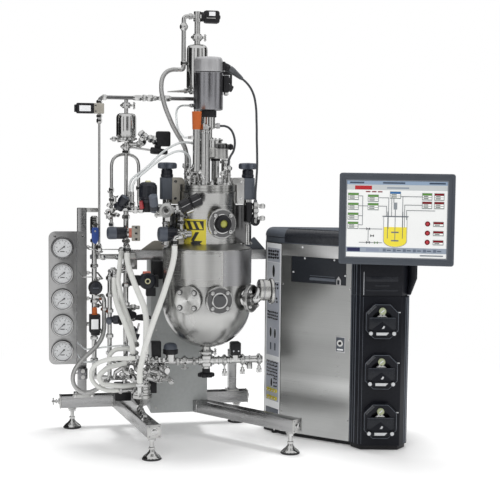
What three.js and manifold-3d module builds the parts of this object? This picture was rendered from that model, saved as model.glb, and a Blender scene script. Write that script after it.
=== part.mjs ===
// Pilot-scale bioreactor: a steam-sterilised stirred vessel on a stainless skid with its piping,
// and a floor-standing control console with three tube pumps and a screen.
// Millimetres. Before the last shift the origin is on the floor under the vessel's axis,
// X runs along the skid's main beam to the right, Y to the back and Z up.
import * as THREE from 'three';
import { mergeVertices } from 'three/addons/utils/BufferGeometryUtils.js';
import Module from 'manifold-3d';

const wasm = await Module();
wasm.setup();

// ---- Driving dimensions ----

const seat = 0.3; // gap left between two separate pieces that meet

const skid = {
  tube: 40, bottom: 70, beamY: 288, beamLeft: -440, beamRight: 190,
  leftLeg: { start: -252, end: [-190, -190] },
  rightLeg: { start: 6, end: [250, -185] },
  footInset: 24, footRadius: 30, rearFeet: [-402, 157], capPlate: 4, capBolt: 9,
  postSize: 27, postX: 140,
};
const pedestal = { left: -157, right: 30, front: 146 };
const yoke = { bottom: 572, top: 604, front: 150, back: 190, left: -232, saddleWidth: 90 };
const gaugeBoard = {
  postX: -370, postSize: 30, postTop: 734, plateLeft: -479, plateTop: 658, plateBottom: 217,
  plate: 4, corner: 22, gaugeX: -435, firstGauge: 604, gaugePitch: 85.5, gauges: 5,
  bezel: 37, dial: 31, bezelDepth: 14, canDepth: 24,
};
const vessel = {
  sides: 24, neck: 88, wall: 4, top: 801, dishCentre: 430, outlet: 14, outletBore: 9, outletEnd: 300,
  jacket: 138, jacketWall: 3, jacketTop: 624, shoulder: 16, domeCentre: 448,
};
const nozzle = { outer: 24, wall: 4, flange: 43, flangeDepth: 12, bolts: 4, boltCircle: 33, nut: 7 };
const ports = {
  light: { angle: 12, z: 706, reach: 112, flange: 46 },
  blank: { angle: -31, z: 476, reach: 152 },
  glass: { angle: 4, z: 476, reach: 152 },
  side: { angle: 50, z: 474, reach: 152 },
};
const headPlate = { radius: 86, thickness: 20, bolts: 8, boltCircle: 77, boltFree: 70 };
const headStubs = [
  { at: [-62, 26], tall: 64, size: 8 }, { at: [-60, -28], tall: 56, size: 6 },
  { at: [24, -62], tall: 24, size: 8 }, { at: [60, -34], tall: 60, size: 6 },
  { at: [60, 26], tall: 79, size: 12 }, { at: [-48, 36], tall: 30, size: 7 },
];
const drive = {
  shaft: 8, shaftBottom: 400, seal: 47, sealBottom: 905, sealTop: 962, post: 8, postCircle: 34,
  column: 13, neck: 22, neckBottom: 992, ring: 26, ringBottom: 1030, motor: 45.5, motorBottom: 1051,
  capHeight: 46, cap: 42, top: 1215, plug: [66, 0, 1182], relief: 9, reliefEnd: [108, 0, 1150],
};
const tower = {
  x: 128, column: 13, blockTop: 843, blockBottom: 775, knob: 27, knobDepth: 22, knobSkirt: 25,
};
const exhaust = {
  x: -22, y: 84, radius: 33, bottom: 1120, top: 1260, pipe: 9, pipeTop: 1331, coilX: 14, coil: 28,
  coilLength: 56, coilHeight: 44, foot: [-26, 62], branch: -65, branchEnd: [-84, 84, 1180],
  nipple: [-48, 76, 1068],
};
const condenser = { y: -62, light: -46, bright: -20, radius: 11.5, top: 990, sleeveTop: 1045 };
const inletFilter = { x: -246, y: 80, radius: 31, bottom: 964, top: 1041, pipe: 6, lineZ: 1089 };
const riser = { x: -330, y: 80, radius: 5, bottom: 606, coilZ: 1054, coilLeft: -408, coil: 32 };
const piping = {
  pipe: 8, clamp: 16, clampLength: 12, left: [-344, 100], middle: [-298, 70], main: [-246, 80],
  header: 745, headerY: -50, split: 560, floorHeader: 205, floorY: 30,
};
const valves = {
  dome: { x: -193, y: -50, z: 776, radius: 28, length: 48 },
  left: { x: -249, y: 40, z: 668, radius: 19, length: 60 },
  middle: { x: -105, y: -60, z: 671, radius: 22, length: 58 },
  ball: { y: 72, z: 692 },
  regulator: { y: 70, z: 496, radius: 22, length: 30 },
  actuator: { x: -182, y: 60, z: 516, radius: 27, length: 26 },
};
const hoseEnds = {
  braidStart: [-314, 82, 418], braidEnd: [-328.5, 60, 179.6], steamA: [-119, -110, 640],
  steamAEnd: [-220, -80, 216], steamB: [-251, 0, 610], steamBEnd: [-198, -48, 300],
  steamC: [-286, 40, 530], steamCEnd: [-237, -36, 300], drain: [-232, -64, 290], drainEnd: [-275, 14, 176],
};
const tubeNipples = [[-246, -18], [-239, -43]];
const nippleTop = 800;
const drain = {
  pipe: 11, z: 266, body: 18, ear: 26, right: 176, wheel: 27, wheelDepth: 14, sleeve: 20,
};
const cabinetBox = {
  x: 517, y: -181, turn: -12, floor: 15, top: 631, capHeight: 47, round: 28, left: -356.5, right: 91,
  back: 310, panelFront: [-91.3, 49], panelBack: [-305.5, 186], stripBack: [-356.5, 270],
  footRadius: 16, hatch: { from: 18, to: 218, low: 509, high: 592, depth: 3 },
};
const towerBox = {
  front: 62.5, side: 91, chamfer: 43, back: 140, top: 676,
  postU: 112, postV: 28, post: 11, postTop: 712, knuckleLow: 488, knuckleHigh: 585,
};
const pump = {
  heights: [409, 252, 97], halfWidth: 51, halfHeight: 54, corner: 26, front: -26, pocket: 33,
  pocketDepth: 22, rotor: 21, roller: 8, rollers: 4, rotorDepth: 14, rotorFront: -24, stub: 5,
  bore: 5.8, hinge: -36, hingeV: -34, barrel: 5.5, barrelHalf: 30, coverTop: 50, coverHalf: 41,
  coverDepth: 6, latch: 9, latchZ: 32,
};
const monitor = {
  width: 350, height: 276, depth: 42, frame: 24, bezel: 23, lip: 2, round: 8, tilt: [40, -24, 727], turn: -10,
  stand: 16, ear: 9, earBore: 4.7, pin: 4, barrel: 8, barrelHalf: 22, earOut: 31, hub: 16, arm: 24,
};

// ---- Solids ----

function signedVolume(points, faces) {
  const [a, b, c] = [new THREE.Vector3(), new THREE.Vector3(), new THREE.Vector3()];
  let sum = 0;
  for (let i = 0; i < faces.length; i += 3) {
    a.fromArray(points, faces[i] * 3);
    b.fromArray(points, faces[i + 1] * 3);
    c.fromArray(points, faces[i + 2] * 3);
    sum += a.dot(b.cross(c));
  }
  return sum;
}

// A closed geometry as a solid with its faces pointing out, whichever way its outline was drawn.
function solidOf(geometry) {
  const bare = geometry.clone();
  bare.deleteAttribute('normal');
  bare.deleteAttribute('uv');
  const merged = mergeVertices(bare, 1e-4);
  const points = merged.attributes.position.array;
  const faces = [];
  for (let i = 0; i < merged.index.count; i += 3) {
    const [a, b, c] = [0, 1, 2].map((k) => merged.index.getX(i + k));
    if (a !== b && b !== c && a !== c) faces.push(a, b, c);
  }
  if (signedVolume(points, faces) < 0) faces.reverse();
  const triVerts = Uint32Array.from(faces);
  return new wasm.Manifold(new wasm.Mesh({ numProp: 3, vertProperties: points, triVerts }));
}

function geometryOf(solid) {
  const mesh = solid.getMesh();
  const geometry = new THREE.BufferGeometry();
  geometry.setAttribute('position', new THREE.BufferAttribute(mesh.vertProperties, 3));
  geometry.setIndex(new THREE.BufferAttribute(mesh.triVerts, 1));
  geometry.computeVertexNormals();
  return geometry;
}

const join = (...solids) => solids.flat().reduce((whole, next) => whole.add(next));
const cut = (solid, ...tools) => tools.flat().reduce((rest, tool) => rest.subtract(tool), solid);

// A box from its low corner to its high corner.
function box(low, high) {
  const size = high.map((value, i) => value - low[i]);
  const geometry = new THREE.BoxGeometry(...size);
  geometry.translate(...low.map((value, i) => value + size[i] / 2));
  return solidOf(geometry);
}

// A round bar between two points, with a second radius at its far end.
function rod(from, to, radius, sides = 8, endRadius = radius) {
  const start = new THREE.Vector3(...from);
  const axis = new THREE.Vector3(...to).sub(start);
  const length = axis.length();
  const geometry = new THREE.CylinderGeometry(endRadius, radius, length, sides);
  geometry.translate(0, length / 2, 0);
  const up = new THREE.Vector3(0, 1, 0);
  geometry.applyQuaternion(new THREE.Quaternion().setFromUnitVectors(up, axis.normalize()));
  geometry.translate(...from);
  return solidOf(geometry);
}

// A turned piece about Z from [radius, height] pairs.
function turned(profile, sides) {
  const outline = profile.map(([radius, height]) => new THREE.Vector2(radius, height));
  const geometry = new THREE.LatheGeometry(outline, sides);
  geometry.rotateX(Math.PI / 2);
  return solidOf(geometry);
}

// A flat outline in XY, raised from one height to another.
function slab(outline, low, high) {
  const shape = new THREE.Shape(outline.map(([x, y]) => new THREE.Vector2(x, y)));
  const geometry = new THREE.ExtrudeGeometry(shape, { depth: high - low, bevelEnabled: false });
  geometry.translate(0, 0, low);
  return solidOf(geometry);
}

// A flat outline in XZ, from a front Y to a back Y.
function upright(outline, front, back) {
  const flat = slab(outline, -back, -front);
  return flat.rotate([90, 0, 0]);
}

// A run through stations, stepped station by station so that a straight takes one step.
class Run extends THREE.Curve {
  constructor(stations) {
    super();
    this.stations = stations;
  }

  getPoint(t, target = new THREE.Vector3()) {
    const last = this.stations.length - 1;
    const at = Math.min(Math.floor(t * last + 1e-6), last - 1);
    return target.copy(this.stations[at]).lerp(this.stations[at + 1], t * last - at);
  }

  getPointAt(u, target) {
    return this.getPoint(u, target);
  }

  getTangentAt(u, target = new THREE.Vector3()) {
    const last = this.stations.length - 1;
    const at = Math.round(u * last);
    const before = this.stations[Math.max(at - 1, 0)];
    const after = this.stations[Math.min(at + 1, last)];
    const here = this.stations[at];
    target.set(0, 0, 0);
    if (at > 0) target.add(here.clone().sub(before).normalize());
    if (at < last) target.add(after.clone().sub(here).normalize());
    return target.normalize();
  }
}

// Corner points with each corner rounded to a bend radius.
function rounded(points, bend, steps = 1) {
  const corners = points.map((point) => new THREE.Vector3(...point));
  const stations = [corners[0]];
  for (let i = 1; i < corners.length - 1; i += 1) {
    const back = corners[i - 1].clone().sub(corners[i]);
    const ahead = corners[i + 1].clone().sub(corners[i]);
    const half = (Math.PI - back.angleTo(ahead)) / 2;
    const reach = Math.min(bend * Math.tan(half), back.length() * 0.48, ahead.length() * 0.48);
    const from = corners[i].clone().add(back.setLength(reach));
    const to = corners[i].clone().add(ahead.setLength(reach));
    const arc = new THREE.QuadraticBezierCurve3(from, corners[i], to);
    for (let k = 0; k <= steps; k += 1) stations.push(arc.getPoint(k / steps));
  }
  stations.push(corners.at(-1));
  return stations;
}

function sweep(stations, radius, sides) {
  const section = new THREE.Shape();
  for (let i = 0; i < sides; i += 1) {
    const angle = (i / sides) * Math.PI * 2;
    const spot = [radius * Math.cos(angle), radius * Math.sin(angle)];
    if (i === 0) section.moveTo(...spot);
    else section.lineTo(...spot);
  }
  section.closePath();
  const settings = { steps: stations.length - 1, extrudePath: new Run(stations), curveSegments: 1 };
  return solidOf(new THREE.ExtrudeGeometry(section, { ...settings, bevelEnabled: false }));
}

const pipe = (points, radius, bend = 3 * radius, sides = 7) => sweep(rounded(points, bend), radius, sides);

// A short collar on a pipe: a union, a clamp or a nut.
function collar(at, axis, radius, length, sides = 8) {
  const half = new THREE.Vector3(...axis).setLength(length / 2);
  const centre = new THREE.Vector3(...at);
  const ends = [centre.clone().sub(half), centre.clone().add(half)].map((end) => end.toArray());
  return rod(ends[0], ends[1], radius, sides);
}

// Points on a circle about Z.
function ring(count, radius, start = 0) {
  return Array.from({ length: count }, (_, i) => {
    const angle = start + (i / count) * Math.PI * 2;
    return [radius * Math.cos(angle), radius * Math.sin(angle)];
  });
}

// ---- Materials ----

const finish = (color, roughness, metalness) => () =>
  new THREE.MeshStandardMaterial({ color, roughness, metalness });
const brushed = finish(0xb9bab8, 0.38, 1);
const polished = finish(0xd8d8d6, 0.12, 1);
const darkSheet = finish(0x8f959b, 0.5, 0.8);
const blackPlastic = finish(0x17181b, 0.5, 0);
const knobPlastic = finish(0x2b2f38, 0.45, 0);
const motorGrey = finish(0x9a9ca3, 0.4, 0.8);
const blueGrip = finish(0x2c4f9e, 0.4, 0);
const orangeSleeve = finish(0xd9642f, 0.5, 0);
const braid = finish(0x9c9d9c, 0.5, 0.7);
const whiteHose = finish(0xe6e6e0, 0.5, 0);
const clearTube = finish(0xd6dadb, 0.25, 0);
const cableBlack = finish(0x2c2e31, 0.5, 0);
const bezelBlue = finish(0x3b444f, 0.45, 0);

const group = new THREE.Group();
const consoleGroup = new THREE.Group();
consoleGroup.position.set(cabinetBox.x, cabinetBox.y, 0);
consoleGroup.rotation.z = THREE.MathUtils.degToRad(cabinetBox.turn);
group.add(consoleGroup);

function add(name, solid, material, place = [0, 0, 0], parent = group) {
  const mesh = new THREE.Mesh(geometryOf(solid), material());
  mesh.name = name;
  mesh.position.set(...place);
  parent.add(mesh);
  return mesh;
}

// ---- Skid ----

const legTop = skid.bottom + skid.tube;
const halfTube = skid.tube / 2;
const beamFront = skid.beamY - halfTube;

function levellingFoot(x, y) {
  const profile = [[0, 0], [skid.footRadius, 0], [skid.footRadius, 5], [8, 28], [8, 56],
    [12, 56], [12, skid.bottom + 1], [0, skid.bottom + 1]];
  return turned(profile, 10).translate([x, y, 0]);
}

// A strip in plan of the tube's width, between two distances along a line from a point.
function strip(tip, along, from, to, halfWidth, low, high) {
  const across = new THREE.Vector2(-along.y, along.x).multiplyScalar(halfWidth);
  const near = tip.clone().addScaledVector(along, from);
  const far = tip.clone().addScaledVector(along, to);
  const outline = [near.clone().add(across), near.sub(across), far.clone().sub(across), far.add(across)];
  return slab(outline.map((point) => point.toArray()), low, high);
}

// A square tube that runs from a wall of constant Y to its end, with an end cap, bolt and foot.
function leg({ start, end }, wallY) {
  const tip = new THREE.Vector2(...end);
  const along = tip.clone().sub(new THREE.Vector2(start, wallY)).normalize();
  const past = skid.tube / Math.abs(along.y);
  const length = tip.distanceTo(new THREE.Vector2(start, wallY));
  const tube = strip(tip, along, -length - past, 0, halfTube, skid.bottom, legTop);
  const wall = box([start - 400, wallY, 0], [start + 400, wallY + 200, legTop + 10]);
  const cap = strip(tip, along, -1, skid.capPlate, halfTube + 1, skid.bottom - 1, legTop + 1);
  const out = (distance) => [tip.x + along.x * distance, tip.y + along.y * distance];
  const middle = skid.bottom + halfTube;
  const bolt = rod([...out(0), middle], [...out(skid.capPlate + 5), middle], skid.capBolt);
  return join(cut(tube, wall), cap, bolt, levellingFoot(...out(-skid.footInset)));
}

function baseBeam() {
  const { beamLeft, beamRight, beamY, capPlate, capBolt, postX, postSize } = skid;
  const tube = box([beamLeft, beamFront, skid.bottom], [beamRight, beamY + halfTube, legTop]);
  const middle = skid.bottom + halfTube;
  const caps = [beamLeft, beamRight].map((x, i) => {
    const out = i === 0 ? -1 : 1;
    const [low, high] = [x - out, x + out * capPlate].sort((a, b) => a - b);
    const plate = box([low, beamFront - 1, skid.bottom - 1], [high, beamY + halfTube + 1, legTop + 1]);
    return join(plate, rod([x, beamY, middle], [x + out * (capPlate + 5), beamY, middle], capBolt));
  });
  const stud = rod([beamLeft, beamY, middle], [beamLeft - 30, beamY, middle], 4, 8);
  const washer = rod([beamLeft - 22, beamY, middle], [beamLeft - 27, beamY, middle], 12);
  const half = postSize / 2;
  const cradleTop = drain.z - drain.pipe - seat;
  const postTop = cradleTop - 4;
  const post = box([postX - half, beamY - half, legTop - 1], [postX + half, beamY + half, postTop]);
  const hanger = rod([postX, beamY, postTop - 8], [postX, -4, postTop - 8], 6, 8);
  const cradle = rod([postX, 0, postTop - 14], [postX, 0, cradleTop], 9, 8);
  const feet = skid.rearFeet.map((x) => levellingFoot(x, beamY));
  return join(tube, caps, stud, washer, post, hanger, cradle, feet);
}

function supportYoke() {
  const { bottom, top, front, back, left, saddleWidth } = yoke;
  const right = consolePoint(cabinetBox.stripBack)[0] - seat;
  const beam = box([left, front, bottom], [right, back, top]);
  const half = saddleWidth / 2;
  const jacket = vessel.jacket + seat;
  const clear = turned([[0, 0], [jacket, 0], [jacket, 900], [0, 900]], vessel.sides);
  const saddle = cut(box([-half, 100, bottom], [half, front + 1, top]), clear);
  const bracket = box([left, front, bottom - 30], [left + 30, back, bottom + 1]);
  const gussets = [[[-190, top - 1], [-100, top - 1], [-100, top + 30], [-150, top + 30]],
    [[150, top - 1], [right, top - 1], [188, top + 40], [150, top + 40]]];
  const plates = gussets.map((outline) => upright(outline, 164, 170));
  const [leftX, leftY] = piping.left;
  const barFront = leftY + piping.pipe + seat;
  const bar = box([leftX - 10, barFront, bottom + 8], [left + 20, barFront + 8, top - 8]);
  const tie = box([left, barFront + 7, bottom + 8], [left + 20, front + 1, top - 8]);
  return join(beam, saddle, bracket, plates, bar, tie);
}

function gaugeCase(x, z, front) {
  const { bezel, dial, bezelDepth, canDepth, plate } = gaugeBoard;
  const face = bezelDepth - 5;
  const profile = [[0, -plate - canDepth], [dial, -plate - canDepth], [dial, -1], [bezel, -1],
    [bezel, bezelDepth], [dial, bezelDepth], [dial, face], [0, face]];
  return turned(profile, 12).rotate([90, 0, 0]).translate([x, front, z]);
}

function gaugePanel() {
  const { postX, postSize, postTop, plateLeft, plateTop, plateBottom, plate, corner } = gaugeBoard;
  const half = postSize / 2;
  const [left, right] = [postX - half, postX + half];
  const [front, back] = [skid.beamY - half, skid.beamY + half];
  const post = box([left, front, legTop + seat], [right, back, postTop]);
  const foot = box([left - 12, front - 4, legTop + seat], [right + 12, back + 4, legTop + 8]);
  const arm = box([right - 1, skid.beamY - 6, postTop - 14], [right + 42, skid.beamY + 6, postTop]);
  const bend = ring(12, corner, Math.PI / 2);
  const high = bend.slice(0, 4).map(([x, z]) => [plateLeft + corner + x, plateTop - corner + z]);
  const low = bend.slice(3, 7).map(([x, z]) => [plateLeft + corner + x, plateBottom + corner + z]);
  const outline = [[right, plateTop], ...high, ...low, [right, plateBottom]];
  const board = upright(outline, front - plate, front + 1);
  const heights = Array.from({ length: gaugeBoard.gauges }, (_, i) =>
    gaugeBoard.firstGauge - i * gaugeBoard.gaugePitch);
  const cases = heights.map((z) => gaugeCase(gaugeBoard.gaugeX, z, front - plate));
  const [pipeX, pipeY] = piping.left;
  const lines = heights.slice(0, -1).map((z) => {
    const [lineX, end] = [pipeX + 26, pipeX + piping.pipe + seat];
    const route = [[right - 2, skid.beamY, z], [lineX, skid.beamY, z], [lineX, pipeY, z], [end, pipeY, z]];
    return pipe(route, 3, 10, 5);
  });
  return join(post, foot, arm, board, cases, lines);
}

// ---- Vessel ----

const dish = (radius, centre, low, steps) => Array.from({ length: steps + 1 }, (_, i) => {
  const start = Math.asin(low / radius);
  const angle = start + (i / steps) * (Math.PI / 2 - start);
  return [radius * Math.sin(angle), centre - radius * Math.cos(angle)];
});

// A radial direction, as an angle from the front towards the right.
function radial(angle) {
  const turn = THREE.MathUtils.degToRad(angle);
  return [Math.sin(turn), -Math.cos(turn)];
}

function radialRod({ angle, z }, from, to, radius, sides) {
  const [x, y] = radial(angle);
  return rod([x * from, y * from, z], [x * to, y * to, z], radius, sides);
}

function vesselShell() {
  const { sides, neck, wall, top, dishCentre, outlet, outletBore, outletEnd } = vessel;
  const inner = neck - wall;
  const outside = [[outletBore, outletEnd], [outlet, outletEnd], ...dish(neck, dishCentre, outlet, 2)];
  const inside = dish(inner, dishCentre, outletBore, 2).reverse();
  const profile = [...outside, [neck, top], [inner, top], ...inside, [outletBore, outletEnd]];
  const stubs = Object.values(ports).map((port) =>
    radialRod(port, neck - 2, port.reach, nozzle.outer, 10));
  const bores = Object.values(ports).map((port) =>
    radialRod(port, inner - 12, port.reach + 5, nozzle.outer - nozzle.wall, 10));
  return cut(join(turned(profile, sides), stubs), bores);
}

function vesselJacket() {
  const { sides, neck, jacket, jacketWall, jacketTop, shoulder, domeCentre, outlet } = vessel;
  const inner = jacket - jacketWall;
  const throat = neck + 0.5;
  const outside = dish(jacket, domeCentre, outlet + 0.5, 4);
  const inside = dish(inner, domeCentre, outlet + 0.5, 4).reverse();
  const profile = [...outside, [jacket, jacketTop], [throat, jacketTop + shoulder],
    [throat, jacketTop + shoulder - jacketWall], [inner, jacketTop - jacketWall / 2], ...inside, outside[0]];
  const low = Object.values(ports).filter((port) => port.z < jacketTop);
  const holes = low.map((port) => radialRod(port, neck, port.reach, nozzle.outer + 0.6, 10));
  return cut(turned(profile, sides), holes);
}

// A bolted disc on a nozzle, with its nuts, an optional window bore and a facing piece.
function portCover(port, radius, extras = () => [], bores = () => []) {
  const from = port.reach + seat;
  const to = from + nozzle.flangeDepth;
  const [x, y] = radial(port.angle);
  const disc = radialRod(port, from, to, radius, 20);
  const nuts = ring(nozzle.bolts, radius * 0.77, Math.PI / 4).map(([side, up]) => {
    const at = (distance) => [x * distance - y * side, y * distance + x * side, port.z + up];
    return rod(at(to - 1), at(to + 6), nozzle.nut, 6);
  });
  return cut(join(disc, nuts, extras(to)), bores(from, to));
}

const lightPort = () => portCover(ports.light, ports.light.flange,
  (face) => radialRod(ports.light, face - 1, face + 16, 24, 16),
  (from, face) => radialRod(ports.light, face + 10, face + 20, 14, 12));
const blankFlange = () => portCover(ports.blank, nozzle.flange);
const sightGlass = () => portCover(ports.glass, nozzle.flange,
  (face) => radialRod(ports.glass, face - 1, face + 4, 24, 16),
  (from, face) => radialRod(ports.glass, face - 4, face + 8, 20, 12));

function sideNozzle() {
  const port = ports.side;
  const { flange, flangeDepth } = nozzle;
  const face = port.reach + seat + flangeDepth;
  const [x, y] = radial(port.angle);
  const lift = 26;
  const start = [x * (face + 14), y * (face + 14), port.z];
  const far = [x * face + 54, y * face + 4, port.z + lift];
  const route = [[x * (face - 1), y * (face - 1), port.z], start, [far[0] - 30, far[1], far[2]]];
  const elbow = pipe(route, 14, 20);
  const can = rod([far[0] - 36, far[1], far[2]], far, 33, 14);
  const endDisc = rod([far[0] - 1, far[1], far[2] - 4], [far[0] + 10, far[1], far[2] - 4], 40, 16);
  return join(portCover(port, flange), elbow, can, endDisc);
}

function headPlateSolid() {
  const { radius, thickness, bolts, boltCircle, boltFree } = headPlate;
  const low = vessel.top + seat;
  const high = low + thickness;
  const disc = turned([[0, low], [radius, low], [radius, high], [0, high]], vessel.sides);
  const spots = ring(bolts, boltCircle).filter(([x]) => Math.abs(x) < boltFree);
  const screws = spots.map(([x, y]) => rod([x, y, high - 1], [x, y, high + 8], 6, 6));
  const stubs = headStubs.map(({ at: [x, y], tall, size }) => join(
    rod([x, y, high - 1], [x, y, high + tall], size, 8),
    rod([x, y, high + tall - 14], [x, y, high + tall - 4], size + 5)));
  const bore = rod([0, 0, low - 1], [0, 0, high + 1], drive.shaft + 1, 12);
  return cut(join(disc, screws, stubs), bore);
}

function agitatorSolid() {
  const { shaft, shaftBottom, sealBottom } = drive;
  const bar = rod([0, 0, shaftBottom], [0, 0, sealBottom + 20], shaft);
  const impellers = [420, 540].map((z) => {
    const hub = rod([0, 0, z - 12], [0, 0, z + 12], 15);
    const blades = [0, 60, 120].map((turn) =>
      box([-34, -1.5, z - 10], [34, 1.5, z + 10]).rotate([0, 0, turn]));
    return join(hub, blades);
  });
  return join(bar, impellers);
}

function spargerSolid() {
  const [x, y] = [-58, 0];
  const low = 385;
  const arc = ring(10, 44, Math.PI).slice(0, 8).map(([a, b]) => [a, b, low]);
  return pipe([[x, y, vessel.top], [x, y, low + 20], [x, y, low], ...arc], 4, 6, 6);
}

// ---- Drain ----

function drainValve() {
  const { pipe: bore, z, body: half, ear } = drain;
  const top = vessel.outletEnd - seat;
  const neck = rod([0, 0, z], [0, 0, top], vessel.outlet, 12);
  const flange = rod([0, 0, top - 12], [0, 0, top], vessel.outlet + 10, 14);
  const body = rod([0, 0, z - half], [0, 0, z + half], 20, 12);
  const ears = rod([-ear, 0, z], [ear, 0, z], bore + 3, 10);
  const steam = rod([0, 30, z + 6], [0, 0, z + 6], 9, 8);
  return join(neck, flange, body, ears, steam);
}

// A knob with lobes round its rim, flat on both sides, its lower face at zero.
function lobedKnob(radius, lobes, height, stem, stemHeight) {
  const outline = ring(lobes * 4, 1).map(([x, y], i) => {
    const reach = [1, 0.93, 0.76, 0.93][i % 4] * radius;
    return [x * reach, y * reach];
  });
  return join(slab(outline, 0, height), rod([0, 0, -stemHeight], [0, 0, 1], stem, 8));
}

function drainHandwheel() {
  const { wheel, wheelDepth, sleeve } = drain;
  const grip = lobedKnob(wheel, 6, wheelDepth, 12, 0);
  return join(grip, rod([0, 0, wheelDepth - 1], [0, 0, wheelDepth + sleeve], 12, 8));
}

// ---- Drive and head ----

function driveMotor() {
  const { motor, motorBottom, capHeight, cap, top, plug, relief, reliefEnd } = drive;
  const capBottom = top - capHeight;
  const low = motorBottom + seat;
  const body = turned([[0, low], [motor - 6, low], [motor, low + 4], [motor, capBottom - 1],
    [cap, capBottom], [cap, top - 8], [cap - 6, top], [0, top]], 20);
  const connector = rod([cap - 12, 0, plug[2] + 8], plug, 12, 8);
  const strainRelief = rod(plug, reliefEnd, relief + 2, 8, relief - 3);
  return join(body, connector, strainRelief);
}

function driveAdapter() {
  const { column, neck, neckBottom, ring: collarRadius, ringBottom, motorBottom, sealTop } = drive;
  const profile = [[0, sealTop + seat], [column, sealTop + seat], [column, neckBottom],
    [neck, neckBottom + 4], [neck, ringBottom], [collarRadius, ringBottom], [collarRadius, motorBottom],
    [0, motorBottom]];
  const knob = rod([neck - 2, 0, neckBottom + 12], [neck + 18, 0, neckBottom + 12], 9, 10);
  return join(turned(profile, 16), knob);
}

function sealHousing() {
  const { seal, sealBottom, sealTop, post, postCircle, shaft } = drive;
  const plateTop = vessel.top + seat + headPlate.thickness + seat;
  const middle = sealBottom + 32;
  const profile = [[0, sealBottom], [seal, sealBottom], [seal, middle], [seal - 3, middle + 2],
    [seal - 3, sealTop - 4], [seal, sealTop - 3], [seal, sealTop], [0, sealTop]];
  const posts = ring(4, postCircle, Math.PI / 4).map(([x, y]) =>
    rod([x, y, plateTop], [x, y, sealBottom + 1], post, 8));
  const plug = rod([seal - 4, 0, sealBottom + 34], [seal + 20, 0, sealBottom + 34], 9, 10);
  const barb = rod([-38, -16, 948], [-56, -24, 950], 5, 8);
  const bore = rod([0, 0, sealBottom - 1], [0, 0, sealBottom + 25], shaft + 1, 12);
  return cut(join(turned(profile, 18), posts, plug, barb), bore);
}

function exhaustCondenser() {
  const { y, light, bright, radius, top, sleeveTop } = condenser;
  const low = vessel.top + seat + headPlate.thickness + seat;
  const left = rod([light, y, low + 40], [light, y, top + 2], radius, 10);
  const right = rod([bright, y, low], [bright, y, top], radius + 2.5, 12);
  const links = [low + 60, top - 30].map((z) => rod([light, y, z], [bright, y, z], 5, 6));
  const union = rod([bright, y, top - 1], [bright, y, top + 14], 17, 10);
  const tee = rod([light - 4, y, top - 24], [light - 26, y, top - 24], 6, 8);
  const sleeve = rod([light, y, top + 1], [light, y, sleeveTop], radius + 1, 10, radius + 3);
  return join(left, right, links, union, tee, sleeve);
}

function exhaustFilter() {
  const { x, y, radius, bottom, top, pipe: bore, pipeTop, foot, coil } = exhaust;
  const profile = [[0, bottom], [radius - 8, bottom], [radius, bottom + 6], [radius, top - 14],
    [radius - 5, top - 4], [radius - 16, top], [0, top]];
  const body = turned(profile, 16).translate([x, y, 0]);
  const clampRing = collar([x, y, bottom - 4], [0, 0, 1], radius + 3, 14, 16);
  const lever = rod([x - radius, y, bottom - 6], [x - radius - 62, y - 6, bottom - 10], 6, 6, 1.5);
  const plateTop = vessel.top + 2 * seat + headPlate.thickness;
  const route = [[...foot, plateTop], [...foot, plateTop + 190], [x, y, plateTop + 240], [x, y, bottom]];
  const leg = pipe(route, bore);
  const stem = rod([x, y, top - 1], [x, y, pipeTop - seat], bore, 10);
  const clampTop = collar([x, y, top + 22], [0, 0, 1], 20, 12, 10);
  const clampLow = collar([...foot, plateTop + 9], [0, 0, 1], 17, 14, 12);
  const nipple = rod([x, y, exhaust.nipple[2]], exhaust.nipple, 5, 8);
  const arm = rod([x, y, bottom + 20], [x + 78, y, bottom + 20], 6, 8);
  const valve = rod([x + 84, y, bottom - 8], [x + 84, y, bottom + 30], 8, 8);
  const sideCoil = box([x + 70, y - coil / 2, bottom + 8], [x + 112, y + coil / 2, bottom + 58]);
  return join(body, clampRing, lever, leg, stem, clampTop, clampLow, nipple, arm, valve, sideCoil);
}

function exhaustLine() {
  const { x, y, pipe: bore, pipeTop, coilX, coil, coilLength, coilHeight, branch, branchEnd } = exhaust;
  const tee = rod([x, y, pipeTop], [x, y, pipeTop + 32], bore + 4, 10);
  const level = pipeTop + 16;
  const side = pipe([[x, y, level], [branch, y, level], [branch, y, branchEnd[2]], branchEnd], 7, 12);
  const ball = rod([branch, y, pipeTop - 28], [branch, y, pipeTop - 6], 13, 10);
  const nut = rod([branch, y, branchEnd[2] + 12], [branch, y, branchEnd[2] + 28], 9, 8);
  const [left, half] = [coilX - 22, coil / 2];
  const coilBox = box([left, y - half, pipeTop], [left + coilLength, y + half, pipeTop + coilHeight]);
  const armature = rod([x, y, level], [coilX, y, level], 10, 10);
  return join(tee, side, ball, nut, coilBox, armature);
}

// ---- Clamp towers ----

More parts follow.
